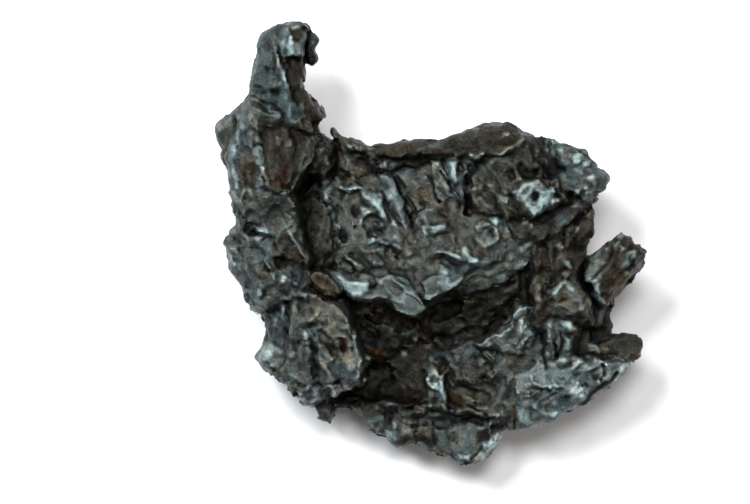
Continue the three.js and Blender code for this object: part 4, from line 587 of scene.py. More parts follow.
upper_sheet = np.full(plan_x.shape, UPPER_GROUND)
# How bare the metal looks, with painted light and painted shade mixed in.
bare_and_lit_sheet = np.full(plan_x.shape, PLAIN_SHINE)
# How brown, with a painted warm or cool reflection mixed in.
brown_sheet = np.full(plan_x.shape, PLAIN_BROWN)
rough_sheet = np.full(plan_x.shape, PLAIN_ROUGH)
grain_sheet = np.zeros(plan_x.shape)


def window(points, spare):
    """The part of the sheets that a shape and the room round it stay in."""
    cuts = []
    for axis, reach in enumerate((REACH_X, REACH_Y)):
        values = [point[axis] for point in points]
        first = max(int((min(values) - spare + reach) / SHEET_STEP), 0)
        last = max(int((max(values) + spare + reach) / SHEET_STEP) + 2, 0)
        cuts.append(slice(first, last))
    return tuple(cuts)


def middle_of(corners):
    """The mean place of the corners."""
    return [sum(corner[k] for corner in corners) / len(corners) for k in (0, 1)]


def blend(sheet, part, share, value):
    """Moves part of a sheet towards a value by a share of the way."""
    sheet[part] += share * (value - sheet[part])


def lay_plates(plates, sheet):
    """Lays each plate over the ones before it, with a soft step at its edge."""
    for name, level, tilt, edge, corners in plates:
        part = window(corners, STEP_STARTS * edge + SPARE)
        x, y = worn_x[part], worn_y[part]
        share = smooth_step((inside_distance(corners, x, y) + STEP_STARTS * edge) / (STEP_BROAD * edge))
        middle = middle_of(corners)
        blend(sheet, part, share, level + tilt[0] * (x - middle[0]) + tilt[1] * (y - middle[1]))
        if name in FINISHES:
            for finish_sheet, value in zip((bare_and_lit_sheet, brown_sheet, rough_sheet), FINISHES[name]):
                blend(finish_sheet, part, share, value)
            grain_sheet[part][share > 0.5] = math.radians(FINISHES[name][3])


lay_plates(PLATES, upper_sheet)

# ---------------------------------------------------------------------------------------------
# The back: hidden under the piece, hollowed by the heat of the fall into shallow thumbprints. Four
# broad worn lumps stand out of it, and the piece rests on them.
BACK_GROUND = 9.0
BACK_PLATES = [
    ("spire back", 15, (0, 0.14), 4.5, [
        (-57, 36.5), (-52.5, 51), (-47.5, 63.5), (-27.5, 63.5), (-27, 47), (-27.5, 34.5),
        (-39, 34), (-50, 35),
    ]),
    ("tower back", 8, (0.05, 0.05), 6.5, [
        (-62.5, 35), (-27.5, 35.5), (-27, 23), (-31, 9), (-58, 6), (-62.5, 23),
    ]),
    ("left mass back", 3.5, (-0.03, 0.05), 6.5, [
        (-59.5, 8), (-30.5, 10), (-23.5, -13), (-19, -28), (-22, -43.5), (-26, -52), (-36, -49),
        (-50, -38), (-59.5, -15.5),
    ]),
    ("hollow back", 3, (0, 0.05), 6.5, [
        (-23.5, -13), (0, -15.5), (25, -13), (28, -28), (19.5, -38), (8.5, -45), (-8, -46),
        (-22, -43.5), (-19, -28),
    ]),
    ("dish back", 9.5, (0, -0.06), 6.5, [
        (-30.5, 23), (14, 24.5), (25, 8), (28, -2), (25, -13), (0, -15.5), (-23.5, -12.5),
        (-30, 8),
    ]),
    ("rim back", 14, (0, 0.35), 4.5, [
        (-27.5, 34.5), (-8, 31.5), (14, 35.5), (28, 36.5), (27.5, 28), (14, 23), (-8, 21.5),
        (-26, 22),
    ]),
    ("lobe back", 7, (0.03, 0.05), 6.5, [
        (11, 26), (27.5, 31.5), (36, 31), (42, 17.5), (44.5, 5), (28, 1), (19.5, 6), (11, 12),
    ]),
    ("corner back", 17, (0.25, 0.05), 2.5, [
        (35, 31.5), (44.5, 29), (53.5, 17.5), (47.5, 10.5), (42.5, 10.5), (38, 17.5),
    ]),
    ("column back", 5, (0, 0.05), 4.5, [
        (25, 2), (40.5, 6), (47.5, 10.5), (48, 1), (44, -9), (48.5, -22.5), (40.5, -25.5),
        (26.5, -24),
    ]),
    ("bar back", 17, (0.1, 0.1), 2, [
        (44, 1), (50.5, 5), (62.5, 2.5), (62.5, -9), (54.5, -18.5), (49, -17.5), (44, -10),
    ]),
    ("gully back", 9, (0.1, 0), 2, [
        (43, -8), (49, -15.5), (54.5, -15.5), (54.5, -28), (44.5, -28), (42, -21),
    ]),
    ("horn back", 12, (0.15, 0), 2, [
        (44.5, -22), (62.5, -21), (64, -33), (47.5, -33),
    ]),
    ("right plate back", 9, (0.13, -0.06), 6.5, [
        (19.5, -28), (36, -24), (47.5, -28), (61, -33), (53, -43.5), (33.5, -54.5), (23, -54.5),
        (19, -40.5),
    ]),
    ("bottom lobe back", 6, (0, -0.16), 4.5, [
        (-23.5, -43.5), (-8, -45), (19.5, -43.5), (26.5, -54.5), (17, -64.5), (3, -64.5),
        (-23.5, -54.5),
    ]),
]
# A thumbprint is where it lies, its radius and its depth.
THUMBPRINTS = [
    (-40, 48, 6, 2), (-46.5, 31.5, 7, 2), (-36, 23, 6, 2), (-50, 1, 7, 2.5), (-38, -5, 7, 2.2),
    (-45, -15.5, 6, 2), (-27.5, -21, 7, 2), (-31, -39.5, 6, 1.8), (-21.5, 4, 8, 3), (-9, 12, 8, 3),
    (-12.5, -4, 7, 2.6), (3, -0.5, 8, 3), (5.5, 17.5, 8, 3), (-9.5, -24, 7, 1.6), (3, -20, 6, 1.5),
    (-2.5, -39.5, 7, 1.6), (14, -38, 7, 2), (17, -21, 6, 1.8), (-8, -52, 6, 1.5),
    (8.5, -53, 7, 1.8), (36, -43.5, 7, 2.4), (47.5, -35.5, 7, 2.4), (36, -15.5, 6, 2),
    (37, -2, 6, 2), (42, 20.5, 7, 2.4), (30.5, 24.5, 6, 2), (17, 26, 6, 2), (53, -5, 6, 1.8),
    (22.5, -3, 6, 2.2), (-25, 17.5, 5, 1.6),
]
# A foot is its name, where it stands and its radius. It drops below the card's level and is cut flat there.
FEET = [
    ("left foot", -35.5, -28.5, 13),
    ("right foot", 33, -34, 12),
    ("upper foot", 26, 13, 13),
    ("tower foot", -46, 19, 11),
]
FOOT_DROP = 0.9
FOOT_SLOPE = 7.0



def bowl(x, y, radius):
    """A round bowl over the plan: 0 in its middle and 1 at its radius."""
    return ((plan_x - x) ** 2 + (plan_y - y) ** 2) / radius**2


back_sheet = np.full(plan_x.shape, BACK_GROUND)
lay_plates(BACK_PLATES, back_sheet)
for x, y, radius, depth in THUMBPRINTS:
    back_sheet += depth * np.clip(1.0 - bowl(x, y, radius), 0.0, None)
for name, x, y, radius in FEET:
    back_sheet = np.minimum(back_sheet, FOOT_SLOPE * bowl(x, y, radius) - FOOT_DROP)

# ---------------------------------------------------------------------------------------------
# Ridges and grooves: folds, bars, crests and seams that were pressed up or torn open in the plates.
# They slope gently on the side that most of the rubbing came from, and break off on the other.
# A stroke is its name, half its width, how far it rises, or sinks where that is negative, and its path.
STROKES = [
    ("first bar", 1.5, 1.8, [(-12, 19), (-10.5, 15), (-9, 11.5), (-7.5, 7.5), (-6, 2.5)]),
    ("first bar's twin", 1.1, 1.2, [(-13, 15), (-11, 10.5), (-9.5, 6), (-8, 1.5)]),
    ("second bar", 1.4, 1.8, [(2, 23), (4, 19.5), (5.5, 15.5), (8, 11)]),
    ("third bar", 1.4, 1.5, [(6, 24), (7, 20), (9, 16), (9.5, 11.5)]),
    ("bar head", 1.4, 1.4, [(9, 23), (12, 24), (14.5, 24.5)]),
    ("upper left flake", 1.5, 1.5, [(-25.5, 15.5), (-22, 15), (-18.5, 15)]),
    ("left ridge of the dish", 1.2, 1.8, [(-29, 18), (-29.5, 15.5), (-28, 12), (-27.5, 10)]),
    ("hooked flake", 1.7, 1.6, [(-18, 12), (-15.5, 12.5), (-14.5, 9.5)]),
    ("arch", 1.5, 1.2, [(-19, 5.5), (-18, 8), (-15.5, 9), (-13, 7.5), (-12, 5)]),
    ("arch drop", 1.4, 1.4, [(-15.5, 5.5), (-15, 4.5)]),
    ("wavy ridge", 1.5, 1.3, [(-17, -0.5), (-16, 1), (-13, 1), (-10.5, 0), (-8, -2)]),
    ("wavy drop", 1.5, 1.3, [(-15.5, -2.5), (-13, -2)]),
    ("middle flat", 2.2, 1.2, [(-7.5, -0.5), (-5.5, -3)]),
    ("long lump", 1.5, 1.9, [(-23, -4), (-21, -5), (-18.5, -7)]),
    ("oval lump", 2.2, 1.6, [(-1, 4), (1.5, 4), (4.5, 4.5)]),
    ("ringed lump left", 1.8, 1.3, [(15.5, 0), (13.5, 2), (14, 4.5), (16, 5.5)]),
    ("ringed lump right", 1.8, 1.3, [(16, 5.5), (19, 4), (19, 1), (16.5, -0.5)]),
    ("chain of lumps", 1.5, 1.7, [(2, -3), (5, -2.5), (7.5, -4), (10.5, -5), (13.5, -5.5), (16.5, -6.5)]),
    ("chain spur", 1.1, 1.6, [(9.5, -2), (10.5, -4)]),
    ("second chain", 1.5, 1, [(9.5, -9), (12.5, -8.5), (15.5, -8)]),
    ("lip crest left", 2.4, 1.3, [(-27, -8), (-24.5, -10.5), (-21.5, -12.5), (-17.5, -12)]),
    ("lip crest right", 1.0, 1.6, [(-1.5, -15.5), (2, -14), (5.5, -12.5), (9.5, -10.5)]),
    ("teeth of the rim", 1.5, 2, [(-22.5, 27), (-21, 26)]),
    ("tooth", 1.8, 2.2, [(-18, 26), (-16, 25)]),
    ("fan", 1.4, 1.4, [(-14.5, 22), (-12.5, 21), (-10, 22)]),
    ("rim crest", 1.1, 2, [(17.5, 23), (20.5, 25.5), (24, 27.5), (26, 29)]),
    ("patch on the lobe", 1.9, 1.2, [(19.5, 13), (21.5, 13.5)]),
    ("crater rim left", 1.9, 0.9, [(25, 14.5), (26, 11.5), (28, 9)]),
    ("crater rim top", 1.7, 0.8, [(26, 15.5), (29, 16.5), (31.5, 15)]),
    ("crater rim right", 1.9, 0.8, [(32.5, 14), (31, 11), (29, 9)]),
    ("small crest of the corner", 1.0, 1.4, [(36.5, 17), (37.5, 14.5), (38, 12)]),
    ("corner lump", 1.7, 1.5, [(43, 15), (44, 16)]),
    ("corner lump above", 1.7, 1.5, [(35.5, 25.5), (38, 24), (41, 24.5)]),
    ("column lumps", 1.4, 0.9, [(37.5, -5), (39, -6.5), (37.5, -9)]),
    ("column ridge", 1.1, 1.3, [(34, -1), (36, 0)]),
    ("knob arch", 1.7, 1, [(34, -14.5), (35.5, -12), (38, -11), (39.5, -13)]),
    ("knob side", 1.7, 0.9, [(41, -15.5), (42.5, -18)]),
    ("orange rib", 1.5, 0.9, [(30, -10.5), (30, -14.5), (30.5, -18.5)]),
    ("bar lower edge", 1.4, 1, [(44.5, -10), (46, -12), (47, -14.5), (48.5, -16)]),
    ("bar top", 1.9, 1.5, [(53, -5.5), (55, -5), (56, -3)]),
    ("bar upper edge", 1.2, 1.5, [(49.5, -2), (51.5, -0.5), (53.5, 0)]),
    ("gully rib crest", 1.2, 1.2, [(47.5, -17), (47.5, -21)]),
    ("shoulder crest", 1.4, 1.2, [(33, -23), (36.5, -22), (39.5, -24)]),
    ("first fold", 1.2, 1.1, [(33.5, -24.5), (33, -28.5), (32.5, -32.5)]),
    ("second fold", 1.2, 1.1, [(35.5, -25), (35.5, -28.5), (35, -31)]),
    ("third fold", 1.4, 1.3, [(38, -26.5), (38, -29.5), (36, -32.5)]),
    ("bright flake", 1.1, 1.8, [(26, -22), (25.5, -25), (23.5, -28.5)]),
    ("bright flake below", 1.7, 1.6, [(27.5, -26), (25.5, -28.5)]),
    ("plate edge crest", 1.1, 1.5, [(12.5, -27.5), (15.5, -27), (19.5, -25), (23, -22.5)]),
    ("wave of the plate", 1.4, 1.5, [(28, -37), (29, -39), (32, -40), (35.5, -39.5)]),
    ("wave end", 1.7, 1.7, [(41, -39), (40, -41), (42.5, -42.5)]),
    ("upper wave", 1.5, 1.6, [(39.5, -34.5), (42, -33), (44.5, -34.5), (47, -33.5)]),
    ("rim fold", 1.2, 1.5, [(47, -38), (48, -35), (49, -32.5)]),
    ("outer rim", 1.0, 1.5, [(49.5, -40), (52, -37), (55, -34)]),
    ("bottom wave", 1.4, 1.2, [(25, -42.5), (28, -45.5), (31.5, -47)]),
    ("blade", 2.6, 4, [(1, -36.5), (2, -39), (2.5, -41.5), (2.5, -44.5)]),
    ("blade foot", 2.2, 2, [(1, -43), (2.5, -46)]),
    ("ledge crest", 1.0, 1.4, [(5.5, -47), (9, -47), (12.5, -46.5), (16.5, -48), (20, -47.5)]),
    ("bottom plate edge", 1.2, 1.5, [(20.5, -54), (18, -56.5), (15.5, -59.5), (13, -60)]),
    ("lobe rib", 1.4, 1.3, [(-11.5, -49), (-10.5, -52), (-10, -55)]),
    ("lobe lump", 1.4, 1.2, [(-3, -47.5), (-2, -47)]),
    ("lobe ridge", 1.4, 1.2, [(7, -52), (9.5, -54), (10, -57.5)]),
    ("mass crest", 1.0, 1.4, [
        (-24, -16.5), (-22.5, -21), (-21, -25.5), (-19.5, -29), (-19, -34), (-20, -37.5),
    ]),
    ("mass ledge", 1.4, 0.9, [(-35, -22), (-33, -21), (-31.5, -20)]),
    ("pit rim", 1.1, 1.2, [(-30, -28), (-31, -31), (-28.5, -32.5), (-26.5, -32)]),
    ("mass rib", 1.4, 1.5, [(-30, -33), (-28.5, -35), (-27, -37.5)]),
    ("toe ring", 1.2, 1.5, [(-27.5, -39.5), (-25.5, -39), (-24.5, -40.5), (-26, -42.5)]),
    ("mass streak", 1.2, 0.8, [(-34.5, -23.5), (-34, -27), (-34.5, -30)]),
    ("mass streak left", 1.1, 0.7, [(-40.5, -16.5), (-40.5, -20.5)]),
    ("mass streak middle", 1.1, 0.7, [(-37.5, -16.5), (-37.5, -20)]),
    ("hip lump", 2.2, 0.6, [(-46, -30), (-43.5, -30.5)]),
    ("foot knob lump", 1.7, 1.5, [(-35, -41), (-33, -40), (-31, -42.5)]),
    ("cross bar", 1.7, 1.1, [(-47.5, 5), (-46, 3), (-43, 2.5), (-39.5, 4)]),
    ("facet crest low", 1.0, 1.5, [(-38, 2.5), (-36.5, 0), (-35, -2.5), (-34, -4.5)]),
    ("wedge crest", 1.1, 1.3, [(-28, -9), (-26, -12), (-24.5, -14)]),
    ("side lump", 1.4, 1.4, [(-51.5, 1.5), (-52, -1)]),
    ("side edge", 1.1, 1.3, [(-55, -2), (-54.5, -5)]),
    ("middle rib", 1.1, 1.3, [(-43.5, -7.5), (-43, -11)]),
    ("tower rim", 1.4, 0.8, [(-54.5, 23), (-54.5, 19), (-53.5, 15), (-53, 11)]),
    ("tower rib", 1.7, 0.5, [(-48, 26.5), (-47.5, 23), (-46, 20), (-45.5, 16.5), (-46.5, 13)]),
    ("tower teeth", 1.2, 1.3, [(-49, 29.5), (-47, 28)]),
    ("tower brow", 1.1, 1.5, [(-50, 36.5), (-49, 34), (-45.5, 31)]),
    ("facet rim", 0.8, 0.5, [(-34, 29.5), (-33.5, 26), (-34.5, 22.5), (-36, 19.5), (-38.5, 15.5)]),
    ("nub lump", 1.7, 1.3, [(-57.5, 32), (-55.5, 34)]),
    ("spire brow", 1.1, 0.8, [(-40, 56), (-38.5, 54), (-38, 51)]),
    ("spire cheek", 1.5, 1.2, [(-36.5, 55), (-36, 52.5)]),
    ("valley knob crest", 1.4, 1.5, [(-31, 26.5), (-31.5, 22)]),
    ("valley knob side", 1.2, 1.3, [(-29, 25.5), (-28, 22)]),
    ("between the bars", 1.1, -1.2, [(-15, 15.5), (-12.5, 10.5), (-10.5, 6)]),
    ("right of the first bar", 1.2, -1.2, [(-9.5, 18), (-7, 14), (-5.5, 9.5), (-4.5, 5.5)]),
    ("left of the second bar", 1.1, -1.2, [(0.5, 19), (2.5, 15), (5, 11)]),
    ("arch hollow", 1.1, -1.2, [(-17, 6), (-16.5, 3), (-12.5, 3)]),
    ("under the wavy ridge", 1.1, -1.2, [(-14.5, -0.5), (-11, -2.5), (-9, -5)]),
    ("beside the long lump", 1.2, -1.3, [(-21.5, -2.5), (-19, -4.5), (-16.5, -7.5)]),
    ("dish foot", 1.4, -1.5, [(-25.5, -6), (-21.5, -9), (-16, -8), (-10.5, -8), (-5, -8.5)]),
    ("left of the dish", 1.4, -0.7, [(-25.5, 10.5), (-24.5, 6), (-25.5, -0.5), (-25.5, -5)]),
    ("ringed pit", 1.0, -1.4, [(17, 3), (17, 2)]),
    ("under the chain", 1.2, -1.5, [(0.5, -5), (4.5, -5.5), (8, -7)]),
    ("lobe dark line", 0.8, -0.5, [(11, 21.5), (10.5, 17), (10.5, 11)]),
    ("crater pit", 1.1, -0.7, [(29, 14.5), (29.5, 12)]),
    ("lobe hole", 1.7, -2.4, [(26.5, 19.5), (28, 19.5)]),
    ("lobe seam", 0.8, -0.7, [(26, 28), (25, 24.5), (25, 21)]),
    ("corner hollow", 1.7, -1.6, [(34.5, 16), (36, 12.5), (34, 10)]),
    ("step seam", 0.6, -0.7, [(32, 2), (36, 3.5), (39.5, 6)]),
    ("column hollow", 1.4, -0.6, [(32, -15), (32.5, -17.5)]),
    ("fold groove", 1.1, -0.8, [(31, -24.5), (32, -28), (31, -33), (27.5, -34.5)]),
    ("fold groove right", 1.1, -0.6, [(40, -26), (40, -29.5), (38.5, -33)]),
    ("rim groove", 1.0, -0.8, [(49, -40), (51, -37), (53.5, -33.5)]),
    ("plate step", 1.4, -0.4, [(32.5, -45), (36, -46), (41, -45.5), (45, -42.5)]),
    ("blade shadow", 1.2, -1.6, [(5, -37), (5.5, -41), (6, -45)]),
    ("rust pit", 1.9, -1.2, [(-24.5, -28), (-24, -29.5)]),
    ("small rust pit", 1.2, -1, [(-27.5, -28.5), (-26.5, -30)]),
    ("mass seam", 1.0, -0.8, [(-35, -23), (-32.5, -23), (-31, -22)]),
    ("mass cleft", 1.2, -1.4, [(-31, -34), (-30.5, -38.5), (-29, -42.5)]),
    ("wedge seam", 1.0, -2, [(-33.5, -12.5), (-30.5, -14), (-27.5, -15.5)]),
    ("middle pit", 1.5, -3.5, [(-49.5, 4), (-49, 2)]),
    ("middle seam", 0.6, -1.2, [(-48, 2), (-45.5, 1.5), (-43, 2)]),
    ("dark hollow of the middle", 1.4, -0.8, [(-42.5, -5), (-41, -7)]),
    ("spire pit", 1.1, -0.6, [(-43.5, 42), (-42.5, 41)]),
    ("spire hook groove", 0.7, -1.3, [(-35, 57.5), (-34.5, 54.5), (-34.5, 50.5)]),
    ("spire seam", 0.7, -0.7, [(-41.5, 52.5), (-40.5, 50.5), (-39, 47), (-39, 42.5)]),
    ("tower cleft", 0.8, -0.5, [(-45.5, 30.5), (-45, 26.5), (-45, 22), (-44, 17)]),
]
RUBBED_SIDE = (-0.75, 0.65)
NEAR_PATH = 0.05
STROKE_RAISED = 0.55
STROKE_SUNK = 0.7
STROKE_WINDOW = 1.6
STROKE_BREADTH = 0.95
STROKE_PATCHY = 0.25
STROKE_CREST = 1.08
RUBBED_RIDGE = 0.5
RUBBED_GROOVE = -0.3
EVEN_RISE = 0.75
LUMPY_RISE = 0.45
FULL_RISE = 1.5


def path_distance(path, x, y):
    """Distance from points to a path, and how far each point lies on the path's rubbed side, -1 to 1."""
    nearest = np.full(x.shape, np.inf)
    side = np.zeros(x.shape)
    for a, b in zip(path, path[1:]):
        off_x, off_y = off_piece(a, b, x, y)
        distance = np.hypot(off_x, off_y)
        facing = (RUBBED_SIDE[0] * off_x + RUBBED_SIDE[1] * off_y) / (distance + NEAR_PATH)
        side = np.where(distance < nearest, facing, side)
        nearest = np.minimum(nearest, distance)
    return nearest, side


stroke_sheet = np.zeros(plan_x.shape)
for name, half_width, rise, path in STROKES:
    raised = rise > 0
    part = window(path, STROKE_WINDOW * half_width)
    off, side = path_distance(path, worn_x[part], worn_y[part])
    rubbed = RUBBED_RIDGE if raised else RUBBED_GROOVE
    reach = half_width * (STROKE_BREADTH + rubbed * side + STROKE_PATCHY * patchy[part])
    share = np.clip(STROKE_CREST - off / reach, 0.0, 1.0)
    uneven = EVEN_RISE + LUMPY_RISE * lumpy[part]
    upper_sheet[part] += rise * (STROKE_RAISED if raised else STROKE_SUNK) * share * uneven
    stroke_sheet[part] += np.sign(rise) * min(abs(rise), FULL_RISE) / FULL_RISE * share

# ---------------------------------------------------------------------------------------------
# Flakes, chips and small pits over the plates: ragged at the edge, the bare ones leaning to one side.
# Every kind is how bare and lit it looks, how brown, and how far it stands up or sinks.
# The white and bright kinds are partly painted highlights, the dark and pit kinds partly painted shade.
KINDS = {
    "white": (0.92, 0.05, 0.5),
    "bright": (0.74, 0.08, 0.45),
    "pale blue": (0.58, 0.02, 0.35),
    "pale warm": (0.56, 0.35, 0.35),
    "grey": (0.46, 0.1, 0.25),
    "tan": (0.44, 0.6, 0.3),
    "pink": (0.46, 0.4, 0.3),
    "blue": (0.33, 0, 0.1),
    "olive": (0.27, 0.8, 0.05),
    "brown": (0.13, 1.1, -0.05),
    "rust": (0.14, 1.8, -0.2),
    "dark": (0.1, 0.3, -0.3),
    "pit": (0.05, 0.6, -0.6),
}
